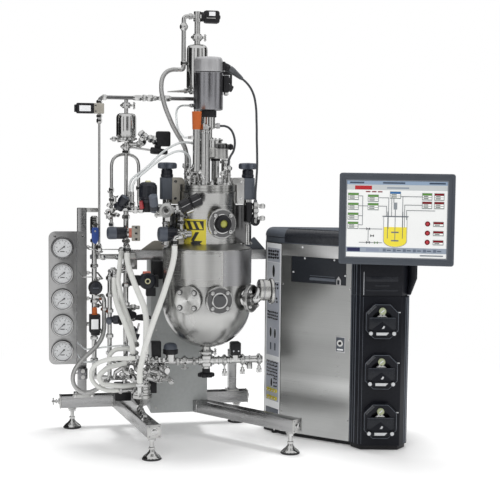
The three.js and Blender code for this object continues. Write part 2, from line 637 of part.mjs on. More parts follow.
function clampTower(side) {
  const { x, column, blockTop, blockBottom } = tower;
  const { jacket, neck, jacketTop, shoulder } = vessel;
  const footRadius = column + 3;
  const slope = shoulder / (jacket - neck);
  const base = jacketTop + slope * (jacket - (x - footRadius)) + seat;
  const post = rod([x, 0, base], [x, 0, blockBottom + 1], column, 10);
  const foot = rod([x, 0, base], [x, 0, base + 6], footRadius, 10);
  const block = box([x - 15, -16, blockBottom], [x + 21, 16, blockTop]);
  const plateTop = vessel.top + headPlate.thickness + 2 * seat;
  const hook = box([neck - 14, -18, blockBottom - 14], [x - 14, 18, blockTop]);
  const throat = turned([[0, 0], [neck + 1, 0], [neck + 1, plateTop], [0, plateTop]], vessel.sides);
  const lug = box([x - 8, -30, blockBottom - 70], [x + 26, 4, blockBottom - 8]);
  const pins = [blockBottom - 20, blockBottom - 58].map((z) => join(
    rod([x, -22, z], [x + 44, -22, z], 5, 6),
    rod([x + 36, -22, z], [x + 50, -22, z], 9, 6)));
  const gland = rod([x + 20, -24, blockBottom - 9], [x + 20, -24, blockBottom], 6, 8);
  const whole = join(post, foot, block, cut(hook, throat), lug);
  return side > 0 ? join(whole, pins, gland) : whole.mirror([1, 0, 0]);
}

function starKnob() {
  const { knob, knobDepth, knobSkirt } = tower;
  return lobedKnob(knob, 5, knobDepth, 19, knobSkirt).translate([0, 0, knobSkirt]);
}

// ---- Gas inlet ----

function inletFilterSolid() {
  const { x, y, radius, bottom, top, pipe: bore, lineZ } = inletFilter;
  const profile = [[0, bottom], [radius - 7, bottom], [radius, bottom + 6], [radius, top - 12],
    [radius - 8, top - 3], [0, top]];
  const body = turned(profile, 16).translate([x, y, 0]);
  const stem = rod([x, y, top - 2], [x, y, lineZ - bore - seat], bore, 8);
  const upperClamp = collar([x, y, lineZ - 24], [0, 0, 1], 19, 12, 12);
  const wing = rod([x + 16, y, lineZ - 24], [x + 34, y - 4, lineZ - 28], 6, 6);
  const lowerClamp = collar([x, y, bottom - 3], [0, 0, 1], radius + 3, 13, 16);
  const lever = rod([x - radius, y, bottom - 5], [x - radius - 26, y, bottom - 5], 7, 6);
  return join(body, stem, upperClamp, wing, lowerClamp, lever);
}

function gasLine() {
  const { x, y, radius, bottom, coilZ, coilLeft, coil } = riser;
  const { pipe: bore, lineZ } = inletFilter;
  const far = exhaust.x - exhaust.pipe - seat;
  const line = pipe([[far, y, lineZ], [x, y, lineZ], [x, y, coilZ]], bore, 20);
  const unions = [-209, -171, -124].map((at, i) => collar([at, y, lineZ], [1, 0, 0], 11, [26, 20, 28][i], 8));
  const half = coil / 2;
  const valve = box([x - 18, y - half + 2, coilZ - half], [x + 14, y + half - 2, coilZ + half]);
  const coilBox = box([coilLeft, y - half, coilZ - half], [x - 17, y + half, coilZ + half]);
  const run = rod([x, y, bottom], [x, y, coilZ], radius, 8);
  const nuts = [coilZ - 34, bottom + 12].map((z) => collar([x, y, z], [0, 0, 1], 9, 20, 8));
  return join(line, unions, valve, coilBox, run, nuts);
}

// ---- Piping ----

function neckClear() {
  const clear = vessel.neck + seat;
  const [low, high] = [vessel.outletEnd, vessel.top + 200];
  return turned([[0, low], [clear, low], [clear, high], [0, high]], vessel.sides);
}

// The filter line: the main pipe's upper part, the arch behind it and the fittings at its head.
function filterLine() {
  const { pipe: bore, clamp, clampLength, main, split } = piping;
  const { left } = valves;
  const [x, y] = main;
  const top = inletFilter.bottom - 3 - 6.5 - seat;
  const column = rod([x, y, split + seat], [x, y, top], bore, 8);
  const foot = collar([x, y, split + seat + 3], [0, 0, 1], clamp, 6, 12);
  const head = collar([x, y, top - 18], [0, 0, 1], clamp, clampLength, 12);
  const arch = pipe([[x, 20, piping.header], [-204, 20, piping.header], [-204, 100, piping.header],
    [-204, 100, 912], [-290, 100, 912], [-290, 100, left.z], [x, y, left.z]], 5, 34);
  const leftBody = rod([left.x, left.y, left.z], [-212, left.y, left.z], 16, 10);
  const leftArm = rod([x, y, left.z], [-234, left.y, left.z], bore, 8);
  const gas = [[riser.x, riser.y, riser.bottom - seat], [riser.x, riser.y, riser.bottom - 18],
    [x, y, riser.bottom - 18]];
  const coilPipe = pipe([[x, y, 944], [-190, 74, 944], [-190, 66, 962], [-150, 62, 962]], 7, 12);
  const nuts = [[-190, 70, 953], [-168, 63, 962]].map((at) => collar(at, [1, 0, 0.6], 14, 16, 6));
  const coil = box([-154, 44, 936], [-109, 78, 988]);
  const lever = rod([x + 4, y - 4, 936], [-170, 46, 926], 4, 6);
  const grip = rod([-174, 47, 926], [-120, 38, 920], 11, 8);
  const steam = pipe([[x, y, 628], [-251, 0, 628], hoseEnds.steamB], 7, 14);
  return join(column, foot, head, arch, leftBody, leftArm, pipe(gas, riser.radius, 12), coilPipe, nuts,
    coil, lever, grip, steam);
}

// The header across to the vessel's neck and everything that stands on it.
function headerLine() {
  const { pipe: bore, main, header, headerY } = piping;
  const { dome, middle } = valves;
  const [x, y] = main;
  const run = pipe([[x, y, header], [x, headerY, header], [-60, headerY, header]], bore, 24);
  const tee = rod([-143, headerY, header], [-143, headerY - 44, header], bore, 8);
  const clampRing = collar([-143, headerY - 36, header], [0, 1, 0], 22, 12, 14);
  const domeBody = rod([dome.x, headerY, header - 4], [dome.x, headerY, dome.z], 18, 10);
  const actuator = rod([-186, headerY - 6, header + 6], [-158, headerY - 30, header + 18], 14);
  const angled = rod([x, 12, header], [x - 10, 6, header + 50], 17, 10);
  const nipples = tubeNipples.map((spot) => rod([...spot, header], [...spot, nippleTop], 5, 8));
  const middleBody = rod([middle.x, middle.y, middle.z], [-60, middle.y, middle.z], 17, 10);
  const link = rod([-90, middle.y, middle.z], [-90, headerY, header], 7, 8);
  const pairArm = rod([-84, headerY, header], [-72, -116, 768], 9, 8);
  const pair = [[[-100, -122, 756], [-76, -120, 767]], [[-70, -120, 770], [-46, -118, 781]]];
  const pairCore = rod([-90, -121, 761], [-56, -119, 776], 14, 8);
  const steam = pipe([[-88, -62, 668], [-96, -110, 666], [-119, -110, 664], hoseEnds.steamA], 7, 10);
  return join(run, tee, clampRing, domeBody, actuator, angled, nipples, middleBody, link, pairArm,
    pair.map(([a, b]) => rod(a, b, 20, 10)), pairCore, steam);
}

const upperManifold = () => cut(join(filterLine(), headerLine()), neckClear());

// The three upright pipes below the filter line, with what they carry.
function standPipes() {
  const { pipe: bore, clamp, left, middle, main, split, floorHeader } = piping;
  const { ball, regulator, actuator } = valves;
  const [leftX, leftY] = left;
  const leftPipe = rod([...left, floorHeader], [...left, ball.z + 20], bore, 8);
  const ballBody = rod([...left, ball.z - 22], [...left, ball.z + 18], 14, 8);
  const ballStem = rod([...left, ball.z], [leftX, ball.y, ball.z], 5, 8);
  const spring = rod([...left, regulator.z], [leftX, regulator.y, regulator.z], 17, 10);
  const coil = box([leftX - 17, leftY - 36, 352], [leftX + 17, leftY - 2, 408]);
  const middlePipe = pipe([[...main, 545], [...middle, 545], [...middle, floorHeader]], bore - 1, 16);
  const middleKnob = rod([...middle, 392], [middle[0] + 34, middle[1] - 20, 392], 14, 8);
  const mainPipe = rod([...main, floorHeader], [...main, split - seat], bore, 8);
  const splitClamp = collar([...main, split - seat - 3], [0, 0, 1], clamp, 6, 12);
  const arm = rod([...main, actuator.z], [actuator.x, main[1], actuator.z], bore, 8);
  const stub = rod([actuator.x, main[1] + 4, actuator.z], [actuator.x, actuator.y + seat, actuator.z], 14);
  return join(leftPipe, ballBody, ballStem, spring, coil, middlePipe, middleKnob, mainPipe, splitClamp,
    arm, stub);
}

// The two headers near the floor, the trap and the ends of the white hoses.
function floorLines() {
  const { pipe: bore, clamp, left, middle, main, floorHeader, floorY } = piping;
  const { z, ear } = drain;
  const low = [left, middle, main, [-205, 60], [-110, floorY]].map((spot) => [...spot, floorHeader]);
  const high = [[...middle, z], [-262, 0, z], [-ear - seat, 0, z]];
  const valveBody = rod([-114, 0, z], [-114, 0, z + 26], 15, 8);
  const valveKnob = rod([-114, 0, z + 24], [-114, 0, z + 60], 23, 10, 18);
  const trapProfile = [[0, 134], [14, 134], [28, 144], [28, 186], [14, 196], [0, 196]];
  const trap = turned(trapProfile, 14).translate([-196, 60, 0]);
  const trapNeck = rod([-196, 60, 190], [-196, 58, floorHeader], 9, 8);
  const trapOutlet = pipe([[-196, 60, 140], [-190, 56, 112], [-188, 50, 76]], 6);
  const blockPipe = rod([...main, floorHeader], [-250, 112, 165], bore, 8);
  const block = box([-276, 100, 135], [-226, 140, 178]);
  const clamps = [-170, -70].map((x) => collar([x, 0, z], [1, 0, 0], clamp, 12, 12));
  const link = rod([-160, 45, floorHeader], [-160, 0, z], bore - 2, 8);
  const fittings = [
    [[...left, 462], [-314, 82, 462], hoseEnds.braidStart],
    [[...middle, floorHeader], [-314, 60, 188], hoseEnds.braidEnd],
    [[-196, 58, 176], [-220, -80, 176], hoseEnds.steamAEnd],
    [[-198, 0, z], [-198, -48, 280], hoseEnds.steamBEnd],
    [[...middle, 545], [-286, 40, 552], hoseEnds.steamC],
    [[-237, 0, z], [-237, -36, 280], hoseEnds.steamCEnd],
    [[-216, 0, z], [-216, -64, 290], hoseEnds.drain],
    [[-196, 60, 176], [-240, 14, 176], hoseEnds.drainEnd],
  ].map((route) => pipe(route, 7, 14));
  return join(pipe(low, bore, 10), pipe(high, bore + 1, 30), valveBody, valveKnob, trap, trapNeck,
    trapOutlet, blockPipe, block, clamps, link, fittings);
}

const lowerManifold = () => join(standPipes(), floorLines());

function condensateLine() {
  const { pipe: bore, z, ear, right } = drain;
  const line = rod([ear + seat, 0, z], [right, 0, z], bore, 10);
  const clamps = [58, 116, right - 6].map((x, i) => join(
    collar([x, 0, z], [1, 0, 0], 18, 12, 12),
    rod([x, -4, z - 14], [x, -6, z - 52 + i * 4], 5, 6)));
  const stem = rod([93, 0, z], [93, 0, z + 18], 14, 8);
  const block = box([77, -16, z + 16], [109, 16, z + 58]);
  return join(line, clamps, stem, block);
}

// A round hand knob along Z with a domed far end, its near face at zero.
function handKnob({ radius, length }, sides = 14) {
  return turned([[0, 0], [radius - 3, 0], [radius, 5], [radius, length - 8], [radius - 5, length - 1],
    [radius - 9, length], [0, length]], sides);
}

function actuatorHead() {
  const { radius, length } = valves.actuator;
  const cup = handKnob({ radius, length });
  const valveBox = box([-16, -50, 2], [16, -radius + 6, length - 2]);
  return join(cup, valveBox);
}

function ballLever() {
  const hub = rod([0, 0, 0], [0, -8, 0], 10, 8);
  const grip = box([-11, -7, -60], [11, -2, -8]);
  const neck = box([-6, -7, -16], [6, -2, 0]);
  return join(hub, grip, neck);
}

// ---- Console ----

// A point given along and out from the console's tower, in the skid's frame.
function consolePoint([u, v]) {
  const turn = THREE.MathUtils.degToRad(cabinetBox.turn);
  const x = cabinetBox.x + u * Math.cos(turn) - v * Math.sin(turn);
  const y = cabinetBox.y + u * Math.sin(turn) + v * Math.cos(turn);
  return [x, y];
}

function cabinetOutline() {
  const { left, right, back, panelFront, panelBack, stripBack } = cabinetBox;
  const behind = towerBox.back + seat;
  return [panelFront, panelBack, stripBack, [left, back], [right, back], [right, behind],
    [panelFront[0], behind]];
}

function cabinetSolid() {
  const { floor, top, panelFront, panelBack, footRadius, hatch } = cabinetBox;
  const body = slab(cabinetOutline(), floor, top);
  const start = new THREE.Vector2(...panelFront);
  const along = new THREE.Vector2(...panelBack).sub(start).normalize();
  const out = new THREE.Vector2(-along.y, along.x);
  const corners = [[hatch.from, 1], [hatch.to, 1], [hatch.to, -hatch.depth], [hatch.from, -hatch.depth]];
  const recess = corners.map(([s, d]) => start.clone().addScaledVector(along, s).addScaledVector(out, d));
  const spots = [[-120, 100], [-320, 230], [-320, 280], [60, 280], [60, 170]];
  const feet = spots.map((spot) => rod([...spot, 0], [...spot, floor + 1], footRadius));
  return join(cut(body, slab(recess.map((point) => point.toArray()), hatch.low, hatch.high)), feet);
}

function cabinetCap() {
  const { top, capHeight, round } = cabinetBox;
  const shape = new THREE.Shape(cabinetOutline().map(([u, v]) => new THREE.Vector2(u, v)));
  const bevel = { bevelThickness: round, bevelSize: round, bevelOffset: -round, bevelSegments: 4 };
  const geometry = new THREE.ExtrudeGeometry(shape, { depth: round, ...bevel });
  geometry.translate(0, 0, top + capHeight - 2 * round);
  const below = box([-500, -100, top - 200], [300, 600, top + seat]);
  return cut(solidOf(geometry), below);
}

function pumpHousing(z) {
  const { halfWidth, halfHeight, corner, front, hinge, hingeV, barrel, barrelHalf, latch, latchZ } = pump;
  const side = halfHeight - corner;
  const outline = [[-halfWidth, -side], [-halfWidth + corner, -halfHeight], [halfWidth - corner, -halfHeight],
    [halfWidth, -side], [halfWidth, side], [halfWidth - corner, halfHeight],
    [-halfWidth + corner, halfHeight], [-halfWidth, side]];
  const block = upright(outline, front, 1).translate([0, 0, z]);
  const knuckles = [-1, 1].map((at) => {
    const [near, far] = [at * (barrelHalf + 0.4), at * (barrelHalf + 11)].sort((a, b) => a - b);
    const level = z + hinge;
    return join(rod([near, hingeV, level], [far, hingeV, level], barrel, 10),
      box([near, hingeV, level - barrel], [far, front + 1, level + barrel]));
  });
  const latchKnob = rod([0, front + 1, z + latchZ], [0, front - 10, z + latchZ], latch, 12);
  return join(block, knuckles, latchKnob);
}

function pumpTower() {
  const { front, side, chamfer, back, top } = towerBox;
  const { postU, postV, post, postTop, knuckleLow, knuckleHigh } = towerBox;
  const outline = [[-front, 0], [front, 0], [side, chamfer], [side, back], [-side, back], [-side, chamfer]];
  const body = slab(outline, cabinetBox.floor, top);
  const spots = [[-50, 24], [50, 24], [-70, 120], [70, 120]];
  const feet = spots.map((spot) => rod([...spot, 0], [...spot, cabinetBox.floor + 1], 14));
  const knuckle = slab([[80, 40], [92, 22], [112, 12], [127, 22], [127, 44], [112, 58], [80, 60]],
    knuckleLow, knuckleHigh);
  const pole = rod([postU, postV, knuckleHigh - 1], [postU, postV, postTop], post, 12);
  const pockets = pump.heights.map((z) =>
    rod([0, pump.front - 1, z], [0, pump.front + pump.pocketDepth, z], pump.pocket, 16));
  const stubs = pump.heights.map((z) =>
    rod([0, pump.front + pump.pocketDepth + 1, z], [0, pump.rotorFront + 2, z], pump.stub, 12));
  return join(cut(join(body, pump.heights.map(pumpHousing)), pockets), stubs, feet, knuckle, pole);
}

function pumpRotor() {
  const { rotor, roller, rollers, rotorDepth, bore } = pump;
  const disc = rod([0, 0, 0], [0, rotorDepth, 0], rotor, 16);
  const wheels = ring(rollers, rotor).map(([x, z]) => rod([x, 0.5, z], [x, rotorDepth - 0.5, z], roller, 8));
  return cut(join(disc, wheels), rod([0, -1, 0], [0, rotorDepth + 1, 0], bore, 12));
}

function pumpCover() {
  const { barrel, barrelHalf, coverTop, coverHalf, coverDepth, front, hingeV } = pump;
  const back = front - seat - hingeV;
  const sheet = box([-coverHalf, back - coverDepth, barrel + 1.5], [coverHalf, back, coverTop]);
  const tongue = box([-barrelHalf + 1, back - coverDepth, 0], [barrelHalf - 1, back, barrel + 2]);
  return join(sheet, tongue, rod([-barrelHalf, 0, 0], [barrelHalf, 0, 0], barrel, 8));
}

// The screen's housing about its tilt axis, its glass a little below the frame round it.
function monitorSolid() {
  const { width, height, depth, frame: rim, bezel, lip, round } = monitor;
  const { stand, ear, earBore, barrelHalf, earOut } = monitor;
  const [back, front] = [-stand, -stand - depth];
  const outline = (halfWidth, halfHeight, cornerSize) => [
    [-halfWidth, -halfHeight + cornerSize], [-halfWidth + cornerSize, -halfHeight],
    [halfWidth - cornerSize, -halfHeight], [halfWidth, -halfHeight + cornerSize],
    [halfWidth, halfHeight - cornerSize], [halfWidth - cornerSize, halfHeight],
    [-halfWidth + cornerSize, halfHeight], [-halfWidth, halfHeight - cornerSize]];
  const frame = upright(outline(width / 2, height / 2, round), front, front + rim);
  const rear = upright(outline(width / 2 - 14, height / 2 - 14, round * 2), front + rim - 1, back);
  const glass = box([bezel - width / 2, front - 1, bezel - height / 2],
    [width / 2 - bezel, front + lip, height / 2 - bezel]);
  const ears = [-1, 1].map((at) => {
    const [near, far] = [at * (barrelHalf + seat), at * earOut].sort((a, b) => a - b);
    const eye = join(rod([near, 0, 0], [far, 0, 0], ear, 12), box([near, back - 1, -ear], [far, 0, ear]));
    return cut(eye, rod([near - 1, 0, 0], [far + 1, 0, 0], earBore, 12));
  });
  return join(cut(join(frame, rear), glass), ears);
}

// The arm about the post it turns on, out to the barrel the screen tilts on.
function monitorArm() {
  const { tilt, turn, hub, arm, barrel, barrelHalf, pin, earOut } = monitor;
  const { postU, postV, postTop } = towerBox;
  const base = postTop + seat;
  const end = [tilt[0] - postU, tilt[1] - postV, tilt[2]];
  const axis = new THREE.Vector3(1, 0, 0).applyAxisAngle(new THREE.Vector3(0, 0, 1),
    THREE.MathUtils.degToRad(turn));
  const along = (distance) => axis.clone().multiplyScalar(distance).add(new THREE.Vector3(...end)).toArray();
  const turret = rod([0, 0, base], [0, 0, tilt[2] + 12], hub, 12);
  const neck = new THREE.Vector2(end[0], end[1]);
  const across = new THREE.Vector2(-neck.y, neck.x).setLength(arm / 2);
  const bar = slab([[across.x, across.y], [-across.x, -across.y],
    [neck.x - across.x * 0.7, neck.y - across.y * 0.7], [neck.x + across.x * 0.7, neck.y + across.y * 0.7]],
  tilt[2] - 7, tilt[2] + 7);
  const cross = rod(along(-barrelHalf), along(barrelHalf), barrel, 12);
  return join(turret, bar, cross, rod(along(-earOut), along(earOut), pin, 12));
}

// ---- Hoses, tubes and cables ----

// A flexible line through its points, straight between the two points at each end.
function line(points, radius) {
  const path = points.map((point) => new THREE.Vector3(...point));
  const curve = new THREE.CatmullRomCurve3(path.slice(1, -1), false, 'centripetal');
  const step = (radius < 4 ? 6 : 5) * radius;
  const between = curve.getSpacedPoints(Math.round(curve.getLength() / step));
  return sweep([path[0], ...between, path.at(-1)], radius, 8);
}

const cords = {
  hose_braided_top: {
    radius: 7, material: braid, points: [[-84.3, 84, 1180], [-98, 84, 1180], [-112, 81, 1176],
      [-126, 75, 1165], [-135, 67, 1149], [-139, 57, 1127], [-139, 47, 1104], [-135, 37, 1080],
      [-128, 30, 1054], [-118, 25, 1028], [-107, 23, 1003], [-94, 23, 980], [-80, 24, 957],
      [-68, 25, 934], [-62, 26, 910], [-62, 26, 885.6]],
  },
  hose_braided_left: {
    radius: 7, material: braid, points: [[-314, 82, 417.7], [-314, 82, 396], [-314, 82, 374],
      [-316, 81, 353], [-322, 79, 333], [-333, 76, 315], [-348, 72, 299], [-366, 70, 283],
      [-384, 68, 266], [-400, 67, 247], [-411, 66, 226], [-414, 65, 204], [-408, 64, 184],
      [-395, 63, 170], [-378, 62, 163], [-360, 61, 164], [-344, 60, 170], [-328.8, 60, 179.4]],
  },
  hose_steam_a: {
    radius: 9, material: whiteHose, points: [[-119, -110, 639.7], [-119, -110, 620], [-122, -112, 598],
      [-128, -117, 575], [-136, -123, 551], [-145, -129, 526], [-154, -134, 500], [-164, -137, 473],
      [-174, -138, 446], [-184, -137, 418], [-193, -133, 390], [-201, -127, 362], [-208, -118, 334],
      [-213, -108, 306], [-217, -97, 280], [-220, -86, 256], [-220, -80, 236], [-220, -80, 216.3]],
  },
  hose_steam_b: {
    radius: 9, material: whiteHose, points: [[-251, 0, 609.7], [-251, 0, 592], [-247, -5, 569],
      [-240, -16, 543], [-231, -30, 516], [-221, -43, 490], [-211, -54, 465], [-203, -60, 440],
      [-199, -62, 414], [-198, -61, 388], [-198, -58, 362], [-198, -52, 338], [-198, -48, 320],
      [-198, -48, 300.3]],
  },
  hose_steam_c: {
    radius: 9, material: whiteHose, points: [[-286, 40, 529.7], [-286, 40, 510], [-286, 38, 489],
      [-283, 30, 467], [-278, 19, 445], [-271, 6, 424], [-262, -8, 402], [-254, -20, 380],
      [-247, -29, 358], [-241, -35, 337], [-237, -36, 318], [-237, -36, 300.3]],
  },
  hose_drain: {
    radius: 7, material: whiteHose, points: [[-232.3, -64, 290], [-251, -64, 290], [-271, -62, 290],
      [-291, -57, 289], [-310, -49, 286], [-328, -39, 280], [-343, -27, 271], [-355, -13, 257],
      [-361, 0, 240], [-361, 8, 222], [-354, 13, 205], [-341, 15, 191], [-325, 15, 182],
      [-308, 14, 177], [-291, 14, 176], [-275.3, 14, 176]],
  },
  tube_clear_a: {
    radius: 3.5, material: clearTube, points: [[-56.3, -24.1, 950], [-70, -30.1, 951.5], [-86, -33, 951],
      [-104, -34, 946], [-122, -33, 937], [-140, -31, 925], [-157, -31, 911], [-172, -32, 896],
      [-187, -33, 881], [-202, -32, 868], [-217, -28, 856], [-231, -23, 845], [-241, -19, 833],
      [-246, -18, 818], [-246, -18, 800.3]],
  },
  tube_clear_b: {
    radius: 3.5, material: clearTube, points: [[-60, -28, 877.6], [-60, -28, 894], [-64, -32, 908],
      [-73, -37, 918], [-87, -43, 924], [-103, -48, 924], [-120, -52, 919], [-138, -55, 910],
      [-156, -57, 899], [-173, -57, 886], [-189, -57, 873], [-204, -55, 860], [-219, -51, 847],
      [-232, -46, 833], [-239, -43, 818], [-239, -43, 800.3]],
  },
  cable_motor: {
    radius: 3.5, material: cableBlack, points: [[108.3, 0, 1149.7], [118, 0, 1142], [129, 0, 1130],
      [139, 0, 1114], [146, -1, 1095], [150, -2, 1074], [152, -5, 1050], [152, -9, 1024],
      [152, -14, 997], [151, -20, 969], [151, -25, 940], [151, -29, 910], [151, -31, 880],
      [150, -30, 850], [149, -27, 822], [148, -24, 798], [148, -24, 775.3]],
  },
  cable_sensor: {
    radius: 3.5, material: cableBlack, points: [[40.3, 0, 1004], [52, 0, 1004], [63, -3, 1000],
      [72, -9, 991], [78, -15, 977], [81, -20, 960], [80, -25, 942], [75, -29, 925], [66, -33, 911],
      [60, -34, 897], [60, -34, 881.6]],
  },
  tube_air: {
    radius: 3, material: clearTube, points: [[-48.3, 75.9, 1068], [-60, 72.3, 1068], [-72, 66, 1067],
      [-82, 54, 1063], [-90, 38, 1057], [-96, 20, 1047], [-100, 0, 1035], [-102, -20, 1021],
      [-103, -38, 1006], [-101, -52, 991], [-95, -60, 977], [-85, -62, 966], [-72.3, -62, 966]],
  },
};

// ---- Assembly ----

const quarter = Math.PI / 2;
const plateTop = vessel.top + seat + headPlate.thickness;

add('base_beam', baseBeam(), brushed);
add('front_leg_left', leg(skid.leftLeg, beamFront - seat), brushed);
add('front_leg_right', leg(skid.rightLeg, pedestal.front - seat), brushed);
const pedestalLow = [pedestal.left, pedestal.front, skid.bottom];
const pedestalHigh = [pedestal.right, beamFront - seat, yoke.bottom - seat];
add('pedestal_column', box(pedestalLow, pedestalHigh), darkSheet);
add('support_beam', supportYoke(), brushed);
add('gauge_panel', gaugePanel(), brushed);

add('vessel_shell', vesselShell(), polished);
add('vessel_jacket', vesselJacket(), brushed);
add('head_plate', headPlateSolid(), polished);
add('light_port', lightPort(), blackPlastic);
add('blank_flange', blankFlange(), polished);
add('sight_glass', sightGlass(), polished);
add('side_nozzle', sideNozzle(), polished);
add('agitator', agitatorSolid(), polished);
add('sparger', spargerSolid(), polished);
add('drain_valve', drainValve(), polished);
const wheelZ = drain.z - drain.body - seat - drain.wheelDepth - drain.sleeve;
add('drain_handwheel', drainHandwheel(), blackPlastic, [0, 0, wheelZ]);

add('drive_motor', driveMotor(), motorGrey);
add('drive_adapter', driveAdapter(), polished);
add('seal_housing', sealHousing(), polished);
add('exhaust_condenser', exhaustCondenser(), polished);
add('exhaust_filter', exhaustFilter(), polished);
add('exhaust_line', exhaustLine(), polished);
add('clamp_tower_left', clampTower(-1), polished);
add('clamp_tower_right', clampTower(1), polished);
add('star_knob_left', starKnob(), blackPlastic, [-tower.x, 0, tower.blockTop + seat]);
add('star_knob_right', starKnob(), blackPlastic, [tower.x, 0, tower.blockTop + seat]);

add('inlet_filter', inletFilterSolid(), polished);
add('gas_line', gasLine(), polished);
add('upper_manifold', upperManifold(), polished);
add('lower_manifold', lowerManifold(), polished);
add('condensate_line', condensateLine(), polished);
const { dome, left: leftValve, middle: middleValve, ball, regulator, actuator } = valves;
add('valve_knob_top', handKnob(dome), knobPlastic, [dome.x, dome.y, dome.z + seat]);
add('valve_knob_left', handKnob(leftValve), knobPlastic, [leftValve.x - seat, leftValve.y, leftValve.z])
  .rotation.y = -quarter;
add('valve_knob_middle', handKnob(middleValve), knobPlastic,
  [middleValve.x - seat, middleValve.y, middleValve.z]).rotation.y = -quarter;
add('regulator_knob', handKnob(regulator), blackPlastic,
  [piping.left[0], regulator.y - seat, regulator.z]).rotation.x = quarter;
add('lower_actuator', actuatorHead(), knobPlastic, [actuator.x, actuator.y, actuator.z])
  .rotation.x = quarter;
add('ball_valve_lever', ballLever(), blueGrip, [piping.left[0], ball.y - seat, ball.z]);

add('cabinet', cabinetSolid(), brushed, [0, 0, 0], consoleGroup);
add('cabinet_cap', cabinetCap(), darkSheet, [0, 0, 0], consoleGroup);
add('pump_tower', pumpTower(), blackPlastic, [0, 0, 0], consoleGroup);
pump.heights.forEach((z, i) => {
  add(`pump_rotor_${i + 1}`, pumpRotor(), brushed, [0, pump.rotorFront, z], consoleGroup);
  add(`pump_cover_${i + 1}`, pumpCover(), blackPlastic, [0, pump.hingeV, z + pump.hinge], consoleGroup);
});
add('monitor_arm', monitorArm(), blackPlastic, [towerBox.postU, towerBox.postV, 0], consoleGroup);
add('monitor', monitorSolid(), bezelBlue, monitor.tilt, consoleGroup)
  .rotation.z = THREE.MathUtils.degToRad(monitor.turn);

// The origin moves to the floor under the middle of the rigid pieces.
group.updateMatrixWorld(true);
const bounds = new THREE.Box3().setFromObject(group);
for (const [name, { radius, material, points }] of Object.entries(cords)) {
  add(name, line(points, radius), material);
}
const middle = bounds.getCenter(new THREE.Vector3());
group.position.set(-middle.x, -middle.y, -bounds.min.z);
const bioreactor = new THREE.Group();
bioreactor.name = 'bioreactor';
bioreactor.add(group);

export default bioreactor;
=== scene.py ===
# A pilot bioreactor dressed over its fixed frame: vessel and piping on a skid, console beside it.
# Lengths in this script are millimetres about the vessel's axis, unless a note says metres.
import bpy
import bmesh
import math
from mathutils import Matrix, Vector


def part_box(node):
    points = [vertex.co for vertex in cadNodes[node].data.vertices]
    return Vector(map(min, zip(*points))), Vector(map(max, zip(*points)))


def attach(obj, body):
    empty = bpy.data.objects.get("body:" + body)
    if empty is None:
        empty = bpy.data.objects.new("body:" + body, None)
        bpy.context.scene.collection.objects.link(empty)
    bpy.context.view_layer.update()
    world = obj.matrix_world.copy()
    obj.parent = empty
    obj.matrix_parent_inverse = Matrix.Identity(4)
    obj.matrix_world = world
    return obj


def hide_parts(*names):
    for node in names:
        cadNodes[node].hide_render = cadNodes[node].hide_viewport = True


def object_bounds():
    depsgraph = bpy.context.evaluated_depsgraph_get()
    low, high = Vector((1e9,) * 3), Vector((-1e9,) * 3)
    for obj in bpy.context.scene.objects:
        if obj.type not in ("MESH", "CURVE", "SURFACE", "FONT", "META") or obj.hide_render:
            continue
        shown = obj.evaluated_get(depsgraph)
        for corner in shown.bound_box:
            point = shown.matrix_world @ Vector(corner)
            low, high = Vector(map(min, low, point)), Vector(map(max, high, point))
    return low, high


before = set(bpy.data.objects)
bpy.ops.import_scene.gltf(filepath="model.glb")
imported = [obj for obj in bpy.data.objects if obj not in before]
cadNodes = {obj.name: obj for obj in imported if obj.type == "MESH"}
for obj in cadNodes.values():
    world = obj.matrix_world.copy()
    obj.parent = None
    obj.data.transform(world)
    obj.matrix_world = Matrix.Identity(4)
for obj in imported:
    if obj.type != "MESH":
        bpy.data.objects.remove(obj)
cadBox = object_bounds()


def middleOf(node):
    low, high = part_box(node)
    return (low + high) / 2


# Two places that everything is measured from: the vessel's axis and the console's front.
stirrer = middleOf("agitator")
skidPlace = Matrix.Translation((stirrer.x, stirrer.y, 0)) @ Matrix.Scale(0.001, 4)
console = {"turn": -12, "rotorDepth": 17, "tiltTurn": -10}
topRotor = middleOf("pump_rotor_1")
consoleTurn = Matrix.Rotation(math.radians(console["turn"]), 4, "Z")
consoleOrigin = Vector((topRotor.x, topRotor.y, 0)) + consoleTurn @ Vector((0, console["rotorDepth"] / 1000,
    0))
consolePlace = Matrix.Translation(consoleOrigin) @ consoleTurn @ Matrix.Scale(0.001, 4)


def onSkid(x, y, z):
    return skidPlace @ Vector((x, y, z))


# Camera, at the distance of a long lens, a little above the middle
view = {"lens": 86.4, "from": (-648, -3696, 930), "turn": 12, "down": 4.76, "roll": 0.62}


def makeCamera():
    turn, down = math.radians(view["turn"]), math.radians(view["down"])
    ahead = Vector((math.sin(turn) * math.cos(down), math.cos(turn) * math.cos(down), -math.sin(down)))
    aim = ahead.to_track_quat("-Z", "Y").to_matrix().to_4x4()
    data = bpy.data.cameras.new("camera")
    data.lens = view["lens"]
    data.sensor_width = 36
    data.clip_end = 30
    camera = bpy.data.objects.new("camera", data)
    bpy.context.scene.collection.objects.link(camera)
    spin = Matrix.Rotation(math.radians(view["roll"]), 4, "Z")
    camera.matrix_world = Matrix.Translation(onSkid(*view["from"])) @ aim @ spin
    bpy.context.scene.camera = camera


makeCamera()
print("camera placed")

# ---- shapes: each returns points, faces and, for runs, a map along the run ----


def volumeOf(points, faces):
    total = 0
    for face in faces:
        a = points[face[0]]
        for i in range(1, len(face) - 1):
            total += a.dot(points[face[i]].cross(points[face[i + 1]]))
    return total


def facingOut(points, faces, maps=None):
    if volumeOf(points, faces) < 0:
        faces = [tuple(reversed(face)) for face in faces]
        maps = [tuple(reversed(spots)) for spots in maps] if maps else None
    return points, faces, maps


def pointing(origin, direction):
    turn = Vector(direction).to_track_quat("Z", "Y").to_matrix().to_4x4()
    return Matrix.Translation(Vector(origin)) @ turn


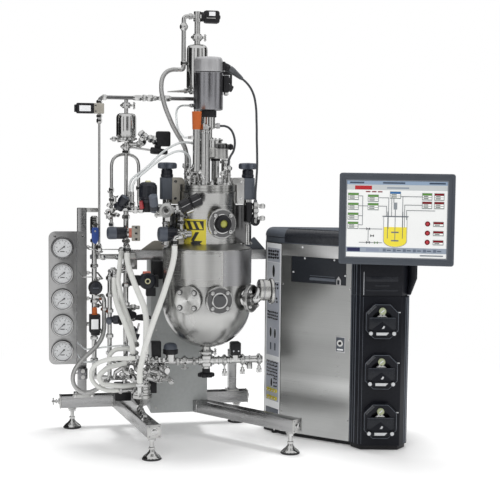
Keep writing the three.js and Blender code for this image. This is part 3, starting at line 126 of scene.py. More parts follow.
def moved(shape, matrix):
    points, faces, maps = shape
    placed = [matrix @ point for point in points]
    if matrix.determinant() < 0:
        faces = [tuple(reversed(face)) for face in faces]
        maps = [tuple(reversed(spots)) for spots in maps] if maps else None
    return placed, faces, maps


# A turned body about Z from radius and height pairs; a closed profile makes a ring.
def turned(profile, steps=48, closed=False):
    points, rows = [], []
    for radius, height in profile:
        if radius < 1e-6:
            rows.append([len(points)])
            points.append(Vector((0, 0, height)))
            continue
        rows.append(list(range(len(points), len(points) + steps)))
        for k in range(steps):
            angle = 2 * math.pi * k / steps
            points.append(Vector((radius * math.cos(angle), radius * math.sin(angle), height)))
    faces = []
    pairs = list(zip(rows, rows[1:])) + ([(rows[-1], rows[0])] if closed else [])
    for one, two in pairs:
        for k in range(steps):
            n = (k + 1) % steps
            if len(one) == 1 and len(two) == 1:
                break
            if len(one) == 1:
                faces.append((one[0], two[k], two[n]))
            elif len(two) == 1:
                faces.append((one[k], two[0], one[n]))
            else:
                faces.append((one[k], two[k], two[n], one[n]))
    if not closed:
        for row, flip in ((rows[0], True), (rows[-1], False)):
            if len(row) > 1:
                faces.append(tuple(reversed(row)) if flip else tuple(row))
    return facingOut(points, faces)


def between(start, end, shape):
    return moved(shape, pointing(start, Vector(end) - Vector(start)))


# A round bar with broken edges, and a second radius at its far end if it tapers.
def bar(start, end, radius, steps=20, tip=None, edge=0.6):
    length = (Vector(end) - Vector(start)).length
    far = radius if tip is None else tip
    edge = min(edge, radius * 0.4, far * 0.4, length * 0.3)
    profile = [(0, 0), (radius - edge, 0), (radius, edge), (far, length - edge), (far - edge, length),
               (0, length)]
    return between(start, end, turned(profile, steps))


def collar(centre, direction, radius, length, steps=24, edge=0.8):
    half = Vector(direction).normalized() * length / 2
    return bar(Vector(centre) - half, Vector(centre) + half, radius, steps, edge=edge)


def rounded(corners, bend, steps=5):
    corners = [Vector(corner) for corner in corners]
    stations = [corners[0]]
    for i in range(1, len(corners) - 1):
        back, ahead = corners[i - 1] - corners[i], corners[i + 1] - corners[i]
        reach = min(bend * math.tan((math.pi - back.angle(ahead)) / 2), back.length * 0.48,
                    ahead.length * 0.48)
        start = corners[i] + back.normalized() * reach
        end = corners[i] + ahead.normalized() * reach
        for k in range(steps + 1):
            t = k / steps
            stations.append(start * (1 - t) ** 2 + corners[i] * 2 * t * (1 - t) + end * t * t)
    return stations + [corners[-1]]


# A round run along its stations, mapped with turns across and metres along.
def swept(stations, radius, steps=16):
    points, faces, maps = [], [], []
    side = (stations[1] - stations[0]).orthogonal().normalized()
    along, last = 0, len(stations) - 1
    lengths = []
    for i, here in enumerate(stations):
        before = (here - stations[i - 1]).normalized() if i else Vector()
        after = (stations[i + 1] - here).normalized() if i < last else Vector()
        ahead = (before + after).normalized()
        along += (here - stations[i - 1]).length if i else 0
        lengths.append(along)
        side = (side - ahead * side.dot(ahead)).normalized()
        up = ahead.cross(side)
        for k in range(steps):
            angle = 2 * math.pi * k / steps
            points.append(here + (side * math.cos(angle) + up * math.sin(angle)) * radius)
    for i in range(last):
        for k in range(steps):
            n = (k + 1) % steps
            one, two = i * steps, (i + 1) * steps
            faces.append((one + k, one + n, two + n, two + k))
            u, v = (k / steps, (k + 1) / steps), (lengths[i] / 1000, lengths[i + 1] / 1000)
            maps.append(((u[0], v[0]), (u[1], v[0]), (u[1], v[1]), (u[0], v[1])))
    for ends in (tuple(range(steps)), tuple(last * steps + k for k in range(steps))):
        faces.append(ends)
        maps.append(tuple((0, 0) for _ in ends))
    faces[-2] = tuple(reversed(faces[-2]))
    return facingOut(points, faces, maps)


def pipe(corners, radius, bend=None, steps=16):
    return swept(rounded(corners, bend or 3 * radius), radius, steps)


def softened(shape, edge, segments=2):
    points, faces, _ = shape
    work = bmesh.new()
    made = [work.verts.new(point) for point in points]
    for face in faces:
        work.faces.new([made[i] for i in face])
    work.normal_update()
    sharp = [e for e in work.edges if len(e.link_faces) == 2 and e.calc_face_angle() > 0.5]
    bmesh.ops.bevel(work, geom=sharp, offset=edge, segments=segments, affect="EDGES", profile=0.5,
                    clamp_overlap=True)
    work.verts.index_update()
    points = [vert.co.copy() for vert in work.verts]
    faces = [tuple(vert.index for vert in face.verts) for face in work.faces]
    work.free()
    return points, faces, None


# A flat outline in XY raised between two heights.
def slab(outline, low, high, edge=0):
    count = len(outline)
    points = [Vector((x, y, low)) for x, y in outline] + [Vector((x, y, high)) for x, y in outline]
    faces = [tuple(range(count)), tuple(reversed(range(count, 2 * count)))]
    faces += [(i, i + count, (i + 1) % count + count, (i + 1) % count) for i in range(count)]
    shape = facingOut(points, faces)
    return softened(shape, edge) if edge else shape


def block(low, high, edge=1):
    outline = [(low[0], low[1]), (high[0], low[1]), (high[0], high[1]), (low[0], high[1])]
    return slab(outline, low[2], high[2], edge)


# A flat outline in XZ between a front and a back Y.
def upright(outline, front, back, edge=0):
    flat = slab(outline, -back, -front, edge)
    return moved(flat, Matrix.Rotation(math.pi / 2, 4, "X"))


def hexagon(centre, direction, radius, height):
    crown = radius * 0.86
    profile = [(0, 0), (radius, 0), (radius, height * 0.8), (crown, height), (0, height)]
    return moved(turned(profile, 6), pointing(centre, direction))


def ringSpots(count, radius, start=0):
    angles = [start + 2 * math.pi * i / count for i in range(count)]
    return [(radius * math.cos(angle), radius * math.sin(angle)) for angle in angles]


def shifted(shape, offset):
    return moved(shape, Matrix.Translation(offset))


# A turned body with its Z laid along a direction from a point.
def aimed(profile, origin, direction, steps=48, closed=False):
    return moved(turned(profile, steps, closed), pointing(origin, direction))


# Several shapes as one, in their order.
def joined(*shapes):
    points, faces = [], []
    for spots, sides, _ in shapes:
        faces += [tuple(len(points) + k for k in side) for side in sides]
        points += spots
    return points, faces, None



# Gathers shapes into one object in metres, with a finish for each of them.
class Maker:
    def __init__(self, name, place=skidPlace):
        self.name, self.place = name, place
        self.points, self.faces, self.slots, self.maps, self.finishes, self.inks = [], [], [], [], [], []

    def add(self, shape, finish, where=None, ink=(1, 1, 1)):
        points, faces, maps = moved(shape, where) if where else shape
        start = len(self.points)
        self.points += [self.place @ point for point in points]
        if finish not in self.finishes:
            self.finishes.append(finish)
        slot = self.finishes.index(finish)
        for i, face in enumerate(faces):
            self.faces.append(tuple(start + k for k in face))
            self.slots.append(slot)
            self.maps.append(maps[i] if maps else None)
            self.inks.append(ink)
        return self

    def done(self, body, stands=(), slot=None, smooth=35, inked=False, mapped=False):
        mesh = bpy.data.meshes.new(self.name)
        mesh.from_pydata(self.points, [], self.faces)
        for finish in self.finishes:
            mesh.materials.append(finish)
        mesh.polygons.foreach_set("material_index", self.slots)
        if mapped:
            layer = mesh.uv_layers.new(name="run")
            spots = []
            for face, spotsHere in zip(self.faces, self.maps):
                spots += spotsHere or [(0, 0)] * len(face)
            layer.data.foreach_set("uv", [value for spot in spots for value in spot])
        if inked:
            layer = mesh.color_attributes.new("ink", "FLOAT_COLOR", "CORNER")
            inks = [(*ink, 1) for face, ink in zip(self.faces, self.inks) for _ in face]
            layer.data.foreach_set("color", [value for ink in inks for value in ink])
        mesh.shade_smooth()
        mesh.set_sharp_from_angle(angle=math.radians(smooth))
        mesh.validate()
        piece = bpy.data.objects.new(self.name, mesh)
        bpy.context.scene.collection.objects.link(piece)
        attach(piece, body)
        if stands:
            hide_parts(*([stands] if isinstance(stands, str) else stands))
        return piece


# ---- repeats, grown by Geometry Nodes ----


# A node with its own settings, then values for its inputs. A kind without "Node" is a shader's.
def put(nodes, kind, values=None, **settings):
    node = nodes.new(kind if "Node" in kind else "ShaderNode" + kind)
    for name, value in settings.items():
        setattr(node, name, value)
    return fill(node, values or {})


def fill(node, values):
    for socket, value in values.items():
        node.inputs[socket].default_value = value
    return node


# Each run goes from one node's output to another node's input.
def wire(links, *runs):
    for source, output, target, socket in runs:
        links.new(source.outputs[output], target.inputs[socket])


def newTree(name, inputs):
    tree = bpy.data.node_groups.new(name, "GeometryNodeTree")
    for label, kind, value in [*inputs, ("Finish", "Material", None)]:
        socket = tree.interface.new_socket(label, in_out="INPUT", socket_type="NodeSocket" + kind)
        if value is not None:
            socket.default_value = value
    tree.interface.new_socket("Geometry", in_out="OUTPUT", socket_type="NodeSocketGeometry")
    given = tree.nodes.new("NodeGroupInput")
    out = tree.nodes.new("NodeGroupOutput")
    merged = tree.nodes.new("GeometryNodeRealizeInstances")
    painted = tree.nodes.new("GeometryNodeSetMaterial")
    wire(tree.links, (merged, 0, painted, "Geometry"), (given, "Finish", painted, "Material"),
         (painted, 0, out, 0))
    return tree, given, merged


# Bolt heads, nuts or pins round a circle: chamfered prisms whose side count is named.
def makeBoltCircle():
    tree, given, merged = newTree("boltCircle", [
        ("Count", "Int", 8), ("Circle", "Float", 30), ("Start", "Float", 0), ("Size", "Float", 6),
        ("Height", "Float", 6), ("Sides", "Int", 6), ("Dome", "Float", 0)])
    nodes = tree.nodes
    circle = put(nodes, "GeometryNodeMeshCircle")
    turn = put(nodes, "GeometryNodeTransform")
    spin = put(nodes, "CombineXYZ")
    head = put(nodes, "GeometryNodeMeshCone", {"Side Segments": 1})
    crown = put(nodes, "Math", {1: 0.9}, operation="MULTIPLY")
    dome = put(nodes, "GeometryNodeMeshUVSphere", {"Segments": 12, "Rings": 7})
    lift = put(nodes, "GeometryNodeTransform")
    up = put(nodes, "CombineXYZ")
    pair = put(nodes, "GeometryNodeJoinGeometry")
    copies = put(nodes, "GeometryNodeInstanceOnPoints")
    wire(tree.links, (given, "Count", circle, "Vertices"), (given, "Circle", circle, "Radius"),
         (given, "Start", spin, "Z"), (circle, "Mesh", turn, "Geometry"), (spin, 0, turn, "Rotation"),
         (given, "Sides", head, "Vertices"), (given, "Size", crown, 0), (crown, 0, head, "Radius Top"),
         (given, "Size", head, "Radius Bottom"), (given, "Height", head, "Depth"),
         (given, "Dome", dome, "Radius"), (given, "Height", up, "Z"), (dome, "Mesh", lift, "Geometry"),
         (up, 0, lift, "Translation"), (head, "Mesh", pair, 0), (lift, 0, pair, 0),
         (turn, 0, copies, "Points"), (pair, 0, copies, "Instance"), (copies, 0, merged, 0))
    return tree


# Small round or square studs in rows and columns, centred on the origin and standing up Z.
def makeStudGrid():
    tree, given, merged = newTree("studGrid", [
        ("Columns", "Int", 4), ("Rows", "Int", 2), ("Across", "Float", 10), ("Along", "Float", 10),
        ("Size", "Float", 3), ("Height", "Float", 2), ("Sides", "Int", 8), ("Jitter", "Float", 0),
        ("Seed", "Int", 3)])
    nodes = tree.nodes
    grid = put(nodes, "GeometryNodeMeshGrid")
    scatter = put(nodes, "FunctionNodeRandomValue", {"Min": (-1, -1, 0), "Max": (1, 1, 0)},
                  data_type="FLOAT_VECTOR")
    amount = put(nodes, "VectorMath", operation="SCALE")
    shift = put(nodes, "GeometryNodeSetPosition")
    stud = put(nodes, "GeometryNodeMeshCone")
    top = put(nodes, "Math", {1: 0.85}, operation="MULTIPLY")
    copies = put(nodes, "GeometryNodeInstanceOnPoints")
    wire(tree.links, (given, "Columns", grid, "Vertices X"), (given, "Rows", grid, "Vertices Y"),
         (given, "Across", grid, "Size X"), (given, "Along", grid, "Size Y"),
         (given, "Seed", scatter, "Seed"),
         (scatter, 0, amount, 0), (given, "Jitter", amount, "Scale"), (grid, "Mesh", shift, "Geometry"),
         (amount, 0, shift, "Offset"), (given, "Sides", stud, "Vertices"), (given, "Size", top, 0),
         (top, 0, stud, "Radius Top"), (given, "Size", stud, "Radius Bottom"),
         (given, "Height", stud, "Depth"),
         (shift, 0, copies, "Points"), (stud, "Mesh", copies, "Instance"), (copies, 0, merged, 0))
    return tree


# Marks round part of a dial, flat in XY, with a gap at the bottom.
def makeTickArc():
    tree, given, merged = newTree("tickArc", [
        ("Count", "Int", 11), ("Circle", "Float", 24), ("Begin", "Float", -0.785),
        ("Sweep", "Float", 4.712),
        ("Length", "Float", 4), ("Width", "Float", 0.8)])
    nodes = tree.nodes
    points = put(nodes, "GeometryNodePoints")
    index = put(nodes, "GeometryNodeInputIndex")
    lastOne = put(nodes, "Math", {1: 1}, operation="SUBTRACT")
    part = put(nodes, "Math", operation="DIVIDE")
    angle = put(nodes, "Math", operation="MULTIPLY_ADD")
    spin = put(nodes, "CombineXYZ")
    mark = put(nodes, "GeometryNodeMeshCube")
    size = put(nodes, "CombineXYZ", {"Z": 0.3})
    push = put(nodes, "GeometryNodeTransform")
    away = put(nodes, "CombineXYZ")
    copies = put(nodes, "GeometryNodeInstanceOnPoints")
    wire(tree.links, (given, "Count", points, "Count"), (given, "Count", lastOne, 0), (index, 0, part, 0),
         (lastOne, 0, part, 1), (part, 0, angle, 0), (given, "Sweep", angle, 1), (given, "Begin", angle, 2),
         (angle, 0, spin, "Z"), (given, "Length", size, "X"), (given, "Width", size, "Y"),
         (size, 0, mark, "Size"),
         (given, "Circle", away, "X"), (mark, "Mesh", push, "Geometry"), (away, 0, push, "Translation"),
         (points, 0, copies, "Points"), (push, 0, copies, "Instance"), (spin, 0, copies, "Rotation"),
         (copies, 0, merged, 0))
    return tree


boltCircle, studGrid, tickArc = makeBoltCircle(), makeStudGrid(), makeTickArc()


# Runs a tree once with its named values and hands back the plain shape it makes.
def grown(tree, finish, **values):
    holder = bpy.data.objects.new("grower", bpy.data.meshes.new("grower"))
    bpy.context.scene.collection.objects.link(holder)
    modifier = holder.modifiers.new("grow", "NODES")
    modifier.node_group = tree
    for socket in tree.interface.items_tree:
        if socket.in_out == "INPUT":
            label = socket.name[0].lower() + socket.name[1:]
            if label == "finish":
                modifier[socket.identifier] = finish
            elif label in values:
                modifier[socket.identifier] = values[label]
    bpy.context.view_layer.update()
    ready = holder.evaluated_get(bpy.context.evaluated_depsgraph_get())
    mesh = bpy.data.meshes.new_from_object(ready)
    points = [vert.co.copy() for vert in mesh.vertices]
    faces = [tuple(face.vertices) for face in mesh.polygons if face.area > 1e-6]
    bpy.data.objects.remove(holder)
    bpy.data.meshes.remove(mesh)
    return points, faces, None

# ---- finishes ----


def newGroup(name, inputs, outputs):
    tree = bpy.data.node_groups.new(name, "ShaderNodeTree")
    for label, kind, value in inputs:
        socket = tree.interface.new_socket(label, in_out="INPUT", socket_type="NodeSocket" + kind)
        socket.default_value = value
    for label, kind in outputs:
        tree.interface.new_socket(label, in_out="OUTPUT", socket_type="NodeSocket" + kind)
    nodes = tree.nodes
    return tree, nodes, tree.links, nodes.new("NodeGroupInput"), nodes.new("NodeGroupOutput")


# A fine noise over a broad one, which gives a tone, a roughness and a bump.
def noiseGroup(name, inputs, fine, broad, share, height):
    tree, nodes, links, given, out = newGroup(
        name, inputs, [("Tone", "Float"), ("Roughness", "Float"), ("Normal", "Vector")])
    where = put(nodes, "TexCoord")
    near = put(nodes, "TexNoise", fine)
    far = put(nodes, "TexNoise", broad)
    blend = put(nodes, "Mix", {"Factor": share})
    spread = put(nodes, "MapRange", {"From Min": 0.3, "From Max": 0.7})
    bump = put(nodes, "Bump", {"Distance": height})
    wire(links, (where, "Object", far, "Vector"), (near, "Fac", blend, "A"), (far, "Fac", blend, "B"),
         (blend, "Result", spread, "Value"), (given, "Low", spread, "To Min"),
         (given, "High", spread, "To Max"),
         (near, "Fac", bump, "Height"), (given, "Depth", bump, "Strength"), (blend, "Result", out, "Tone"),
         (spread, "Result", out, "Roughness"), (bump, "Normal", out, "Normal"))
    return tree, given, where, near


# Fine lines drawn out along one way, for brushed sheet and turned steel.
def brushGroup():
    tree, given, where, fine = noiseGroup("brushLines", [
        ("Across", "Vector", (4, 4, 900)), ("Depth", "Float", 0.3), ("Low", "Float", 0.2),
        ("High", "Float", 0.4)],
        {"Scale": 1, "Detail": 4, "Roughness": 0.65}, {"Scale": 9, "Detail": 3}, 0.45, 0.0002)
    stretch = put(tree.nodes, "VectorMath", operation="MULTIPLY")
    wire(tree.links, (where, "Object", stretch, 0), (given, "Across", stretch, 1),
         (stretch, 0, fine, "Vector"))
    return tree


# Small uneven patches and specks, for moulded, painted and rubber surfaces.
def grainGroup():
    tree, given, where, fine = noiseGroup("surfaceGrain", [
        ("Scale", "Float", 900), ("Depth", "Float", 0.2), ("Low", "Float", 0.35), ("High", "Float", 0.55)],
        {"Detail": 2}, {"Scale": 14, "Detail": 5}, 0.6, 0.0003)
    wire(tree.links, (where, "Object", fine, "Vector"), (given, "Scale", fine, "Scale"))
    return tree


# Where corners are worn or rubbed bright.
def wearGroup():
    tree, nodes, links, given, out = newGroup(
        "edgeWear", [("Start", "Float", 0.53), ("End", "Float", 0.62)], [("Mask", "Float")])
    shape = put(nodes, "NewGeometry")
    where = put(nodes, "TexCoord")
    patch = put(nodes, "TexNoise", {"Scale": 120})
    edge = put(nodes, "MapRange")
    both = put(nodes, "Math", operation="MULTIPLY")
    wire(links, (shape, "Pointiness", edge, "Value"), (given, "Start", edge, "From Min"),
         (given, "End", edge, "From Max"), (where, "Object", patch, "Vector"), (edge, "Result", both, 0),
         (patch, "Fac", both, 1), (both, 0, out, "Mask"))
    return tree


brushLines, surfaceGrain, edgeWear = brushGroup(), grainGroup(), wearGroup()


def newFinish(name):
    made = bpy.data.materials.new(name)
    made.use_nodes = True
    return made, made.node_tree.nodes, made.node_tree.links, made.node_tree.nodes["Principled BSDF"]


def place(nodes, tree, **values):
    return put(nodes, "Group", values, node_tree=tree)


def tones(nodes, dark, light):
    return put(nodes, "Mix", {6: (*dark, 1), 7: (*light, 1)}, data_type="RGBA")


def dress(links, surface, colour, shader):
    wire(links, (colour, 2, shader, "Base Color"), (surface, "Roughness", shader, "Roughness"),
         (surface, "Normal", shader, "Normal"))


# Steel with drawn lines.
def steel(name, dark, light, across, low, high, depth):
    made, nodes, links, shader = newFinish(name)
    lines = place(nodes, brushLines, Across=across, Low=low, High=high, Depth=depth)
    mix = tones(nodes, dark, light)
    wire(links, (lines, "Tone", mix, "Factor"))
    dress(links, lines, mix, shader)
    fill(shader, {"Metallic": 1})
    return made


# Moulded plastic, rubber or paint, with paler rubbed edges.
def moulded(name, dark, light, scale=900, low=0.35, high=0.55, depth=0.2, wear=0.5, gloss=0.5, coat=0.0):
    made, nodes, links, shader = newFinish(name)
    grain = place(nodes, surfaceGrain, Scale=scale, Low=low, High=high, Depth=depth)
    mix = tones(nodes, dark, light)
    wire(links, (grain, "Tone", mix, "Factor"))
    colour = mix
    if wear:
        rub = place(nodes, edgeWear)
        colour = tones(nodes, dark, tuple(min(1, c * 2.2 + 0.04) for c in light))
        amount = put(nodes, "Math", {1: wear}, operation="MULTIPLY")
        wire(links, (rub, "Mask", amount, 0), (mix, 2, colour, 6), (amount, 0, colour, "Factor"))
    dress(links, grain, colour, shader)
    fill(shader, {"Specular IOR Level": gloss, "Coat Weight": coat})
    return made


polishedSteel = steel("polishedSteel", (0.4, 0.4, 0.4), (0.68, 0.68, 0.67), (30, 30, 260), 0.05, 0.16, 0.02)
brushedSteel = steel("brushedSteel", (0.3, 0.3, 0.3), (0.52, 0.52, 0.51), (7, 7, 800), 0.24, 0.4, 0.2)
sheetSteel = steel("sheetSteel", (0.5, 0.505, 0.5), (0.74, 0.75, 0.74), (3, 3, 420), 0.26, 0.36, 0.05)


# Painted reflection: broad level bands, lighter and darker by height, laid over the brushing.
def paintedReflectionBands(made, bands):
    nodes, links = made.node_tree.nodes, made.node_tree.links
    shader = nodes["Principled BSDF"]
    source = shader.inputs["Base Color"].links[0].from_socket
    where = put(nodes, "TexCoord")
    split = put(nodes, "SeparateXYZ")
    ramp = put(nodes, "ValToRGB")
    over = put(nodes, "Mix", data_type="RGBA", blend_type="MULTIPLY")
    fill(over, {"Factor": 1})
    stops = ramp.color_ramp.elements
    while len(stops) < len(bands):
        stops.new(0.5)
    for stop, (height, tone) in zip(stops, bands):
        stop.position = height
        stop.color = (tone, tone, tone, 1)
    links.new(source, over.inputs[6])
    wire(links, (where, "Object", split, 0), (split, "Z", ramp, 0), (ramp, 0, over, 7),
         (over, 2, shader, "Base Color"))


# the cabinet's sheet is painted lightest low down and darker above: painted reflection of floor and room
paintedReflectionBands(sheetSteel, ((0.0, 0.9), (0.13, 0.78), (0.19, 0.98), (0.22, 0.66), (0.31, 0.56), (0.36, 0.66),
                       (0.56, 0.6), (0.72, 0.46)))
slateSheet = moulded("slateSheet", (0.05, 0.058, 0.072), (0.085, 0.097, 0.118), 500, 0.4, 0.6, 0.1, 0.4)
motorAlloy = moulded("motorAlloy", (0.38, 0.38, 0.39), (0.5, 0.5, 0.51), 700, 0.35, 0.5, 0.12, 0.4)
motorAlloy.node_tree.nodes["Principled BSDF"].inputs["Metallic"].default_value = 0.6
blackNylon = moulded("blackNylon", (0.004, 0.004, 0.005), (0.012, 0.012, 0.014), 1400, 0.32, 0.52, 0.25,
                     0.5, 0.22)
knobPlastic = moulded("knobPlastic", (0.005, 0.006, 0.009), (0.016, 0.018, 0.026), 1200, 0.2, 0.36, 0.12,
                      0.5, 0.4)
towerPaint = moulded("towerPaint", (0.003, 0.0035, 0.006), (0.008, 0.009, 0.013), 900, 0.3, 0.46, 0.15, 0.4,
                     0.15)
bluePlastic = moulded("bluePlastic", (0.012, 0.03, 0.15), (0.03, 0.075, 0.28), 900, 0.25, 0.4, 0.1, 0.5,
                      0.3)
orangeSilicone = moulded("orangeSilicone", (0.36, 0.07, 0.012), (0.56, 0.14, 0.03), 800, 0.35, 0.5, 0.1,
                         0.2, 0.3)
whiteSilicone = moulded("whiteSilicone", (0.58, 0.59, 0.57), (0.72, 0.72, 0.69), 500, 0.2, 0.36, 0.08, 0)
screenPaint = moulded("screenPaint", (0.045, 0.053, 0.066), (0.07, 0.08, 0.096), 900, 0.3, 0.45, 0.1, 0.3,
                      0.4)
tanBody = moulded("tanBody", (0.2, 0.19, 0.16), (0.34, 0.32, 0.28), 500, 0.35, 0.5, 0.15, 0.5)
slateKnob = moulded("slateKnob", (0.035, 0.042, 0.056), (0.075, 0.086, 0.11), 900, 0.3, 0.45, 0.1, 0.4)
reliefRubber = moulded("reliefRubber", (0.05, 0.052, 0.058), (0.1, 0.104, 0.112), 700, 0.4, 0.55, 0.1, 0.2)
print("finishes mixed")


# Woven wire over a hose: crossing strands from the run's own map.
def braidFinish():
    made, nodes, links, shader = newFinish("steelBraid")
    run = put(nodes, "UVMap", uv_map="run")
    split = put(nodes, "SeparateXYZ")
    wire(links, (run, "UV", split, 0))
    strands = []
    for way in (1, -1):
        lean = put(nodes, "Math", {1: 190 * way}, operation="MULTIPLY_ADD")
        turns = put(nodes, "Math", {1: 8}, operation="MULTIPLY")
        wave = put(nodes, "Math", {1: 0.5}, operation="PINGPONG")
        wire(links, (split, "X", turns, 0), (split, "Y", lean, 0), (turns, 0, lean, 2), (lean, 0, wave, 0))
        strands.append(wave)
    cross = put(nodes, "Math", operation="MULTIPLY")
    spread = put(nodes, "MapRange", {"From Max": 0.22})
    mix = tones(nodes, (0.3, 0.3, 0.3), (0.85, 0.85, 0.83))
    bump = put(nodes, "Bump", {"Distance": 0.0008, "Strength": 0.8})
    wire(links, (strands[0], 0, cross, 0), (strands[1], 0, cross, 1), (cross, 0, spread, "Value"),
         (spread, "Result", mix, "Factor"), (mix, 2, shader, "Base Color"),
         (spread, "Result", bump, "Height"),
         (bump, "Normal", shader, "Normal"))
    fill(shader, {"Metallic": 0.9, "Roughness": 0.32})
    return made


# Clear tube: a pale core, with painted shade that darkens its edges by the angle they are seen at, without
# the cost of real glass.
def clearFinish():
    made, nodes, links, shader = newFinish("clearVinyl")
    rim = put(nodes, "LayerWeight", {"Blend": 0.45})
    mix = tones(nodes, (0.8, 0.82, 0.82), (0.42, 0.45, 0.46))
    grain = place(nodes, surfaceGrain, Scale=400, Low=0.08, High=0.22, Depth=0.05)
    wire(links, (rim, "Facing", mix, "Factor"))
    dress(links, grain, mix, shader)
    fill(shader, {"Transmission Weight": 0.35, "IOR": 1.4})
    return made


steelBraid, clearVinyl = braidFinish(), clearFinish()
cableRubber = moulded("cableRubber", (0.03, 0.032, 0.036), (0.07, 0.074, 0.08), 700, 0.4, 0.6, 0.1, 0.2,
                      0.3)

# ---- hoses, tubes and cables, each on its own route ----

cords = {
    "hoseBraidedTop": {"stands": "hose_braided_top", "radius": 7, "slot": "steel_braid",
                       "stiffness": "stiff", "points": [
        (-84.3, 84, 1180), (-98, 84, 1180), (-112, 81, 1176), (-126, 75, 1165), (-135, 67, 1149),
        (-139, 57, 1127),
        (-139, 47, 1104), (-135, 37, 1080), (-128, 30, 1054), (-118, 25, 1028), (-107, 23, 1003),
        (-94, 23, 980),
        (-80, 24, 957), (-68, 25, 934), (-62, 26, 910), (-62, 26, 885.6)]},
    "hoseBraidedLeft": {"stands": "hose_braided_left", "radius": 7, "slot": "steel_braid",
                        "stiffness": "stiff", "points": [
        (-314, 82, 417.7), (-314, 82, 396), (-314, 82, 374), (-316, 81, 353), (-322, 79, 333),
        (-333, 76, 315),
        (-348, 72, 299), (-366, 70, 283), (-384, 68, 266), (-400, 67, 247), (-411, 66, 226),
        (-414, 65, 204),
        (-408, 64, 184), (-395, 63, 170), (-378, 62, 163), (-360, 61, 164), (-344, 60, 170),
        (-328.8, 60, 179.4)]},
    "hoseSteamA": {"stands": "hose_steam_a", "radius": 9, "slot": "white_hose", "stiffness": "medium",
                   "points": [
        (-119, -110, 639.7), (-119, -110, 620), (-122, -112, 598), (-128, -117, 575), (-136, -123, 551),
        (-145, -129, 526), (-154, -134, 500), (-164, -137, 473), (-174, -138, 446), (-184, -137, 418),
        (-193, -133, 390), (-201, -127, 362), (-208, -118, 334), (-213, -108, 306), (-217, -97, 280),
        (-220, -86, 256), (-220, -80, 236), (-220, -80, 216.3)]},
    "hoseSteamB": {"stands": "hose_steam_b", "radius": 9, "slot": "white_hose", "stiffness": "medium",
                   "points": [
        (-251, 0, 609.7), (-251, 0, 592), (-247, -5, 569), (-240, -16, 543), (-231, -30, 516),
        (-221, -43, 490),
        (-211, -54, 465), (-203, -60, 440), (-199, -62, 414), (-198, -61, 388), (-198, -58, 362),
        (-198, -52, 338),
        (-198, -48, 320), (-198, -48, 300.3)]},
    "hoseSteamC": {"stands": "hose_steam_c", "radius": 9, "slot": "white_hose", "stiffness": "medium",
                   "points": [
        (-286, 40, 529.7), (-286, 40, 510), (-286, 38, 489), (-283, 30, 467), (-278, 19, 445),
        (-271, 6, 424),
        (-262, -8, 402), (-254, -20, 380), (-247, -29, 358), (-241, -35, 337), (-237, -36, 318),
        (-237, -36, 300.3)]},
    "hoseDrain": {"stands": "hose_drain", "radius": 7, "slot": "white_hose", "stiffness": "medium",
                  "points": [
        (-232.3, -64, 290), (-251, -64, 290), (-271, -62, 290), (-291, -57, 289), (-310, -49, 286),
        (-328, -39, 280),
        (-343, -27, 271), (-355, -13, 257), (-361, 0, 240), (-361, 8, 222), (-354, 13, 205),
        (-341, 15, 191),
        (-325, 15, 182), (-308, 14, 177), (-291, 14, 176), (-275.3, 14, 176)]},
    "tubeClearA": {"stands": "tube_clear_a", "radius": 3.5, "slot": "clear_tube", "stiffness": "limp",
                   "points": [
        (-56.3, -24.1, 950), (-70, -30.1, 951.5), (-86, -33, 951), (-104, -34, 946), (-122, -33, 937),
        (-140, -31, 925), (-157, -31, 911), (-172, -32, 896), (-187, -33, 881), (-202, -32, 868),
        (-217, -28, 856),
        (-231, -23, 845), (-241, -19, 833), (-246, -18, 818), (-246, -18, 800.3)]},
    "tubeClearB": {"stands": "tube_clear_b", "radius": 3.5, "slot": "clear_tube", "stiffness": "limp",
                   "points": [
        (-60, -28, 877.6), (-60, -28, 894), (-64, -32, 908), (-73, -37, 918), (-87, -43, 924),
        (-103, -48, 924),
        (-120, -52, 919), (-138, -55, 910), (-156, -57, 899), (-173, -57, 886), (-189, -57, 873),
        (-204, -55, 860),
        (-219, -51, 847), (-232, -46, 833), (-239, -43, 818), (-239, -43, 800.3)]},
    "cableMotor": {"stands": "cable_motor", "radius": 3.5, "slot": "cable_jacket", "stiffness": "limp",
                   "points": [
        (108.3, 0, 1149.7), (118, 0, 1142), (129, 0, 1130), (139, 0, 1114), (146, -1, 1095),
        (150, -2, 1074),
        (152, -5, 1050), (152, -9, 1024), (152, -14, 997), (151, -20, 969), (151, -25, 940),
        (151, -29, 910),
        (151, -31, 880), (150, -30, 850), (149, -27, 822), (148, -24, 798), (148, -24, 775.3)]},
    "cableSensor": {"stands": "cable_sensor", "radius": 3.5, "slot": "cable_jacket", "stiffness": "limp",
                    "points": [
        (40.3, 0, 1004), (52, 0, 1004), (63, -3, 1000), (72, -9, 991), (78, -15, 977), (81, -20, 960),
        (80, -25, 942), (75, -29, 925), (66, -33, 911), (60, -34, 897), (60, -34, 881.6)]},
    "tubeAir": {"stands": "tube_air", "radius": 3, "slot": "clear_tube", "stiffness": "limp", "points": [
        (-48.3, 75.9, 1068), (-60, 72.3, 1068), (-72, 66, 1067), (-82, 54, 1063), (-90, 38, 1057),
        (-96, 20, 1047),
        (-100, 0, 1035), (-102, -20, 1021), (-103, -38, 1006), (-101, -52, 991), (-95, -60, 977),
        (-85, -62, 966),
        (-72.3, -62, 966)]},
}
cordLooks = {"steel_braid": steelBraid, "white_hose": whiteSilicone, "clear_tube": clearVinyl,
             "cable_jacket": cableRubber}


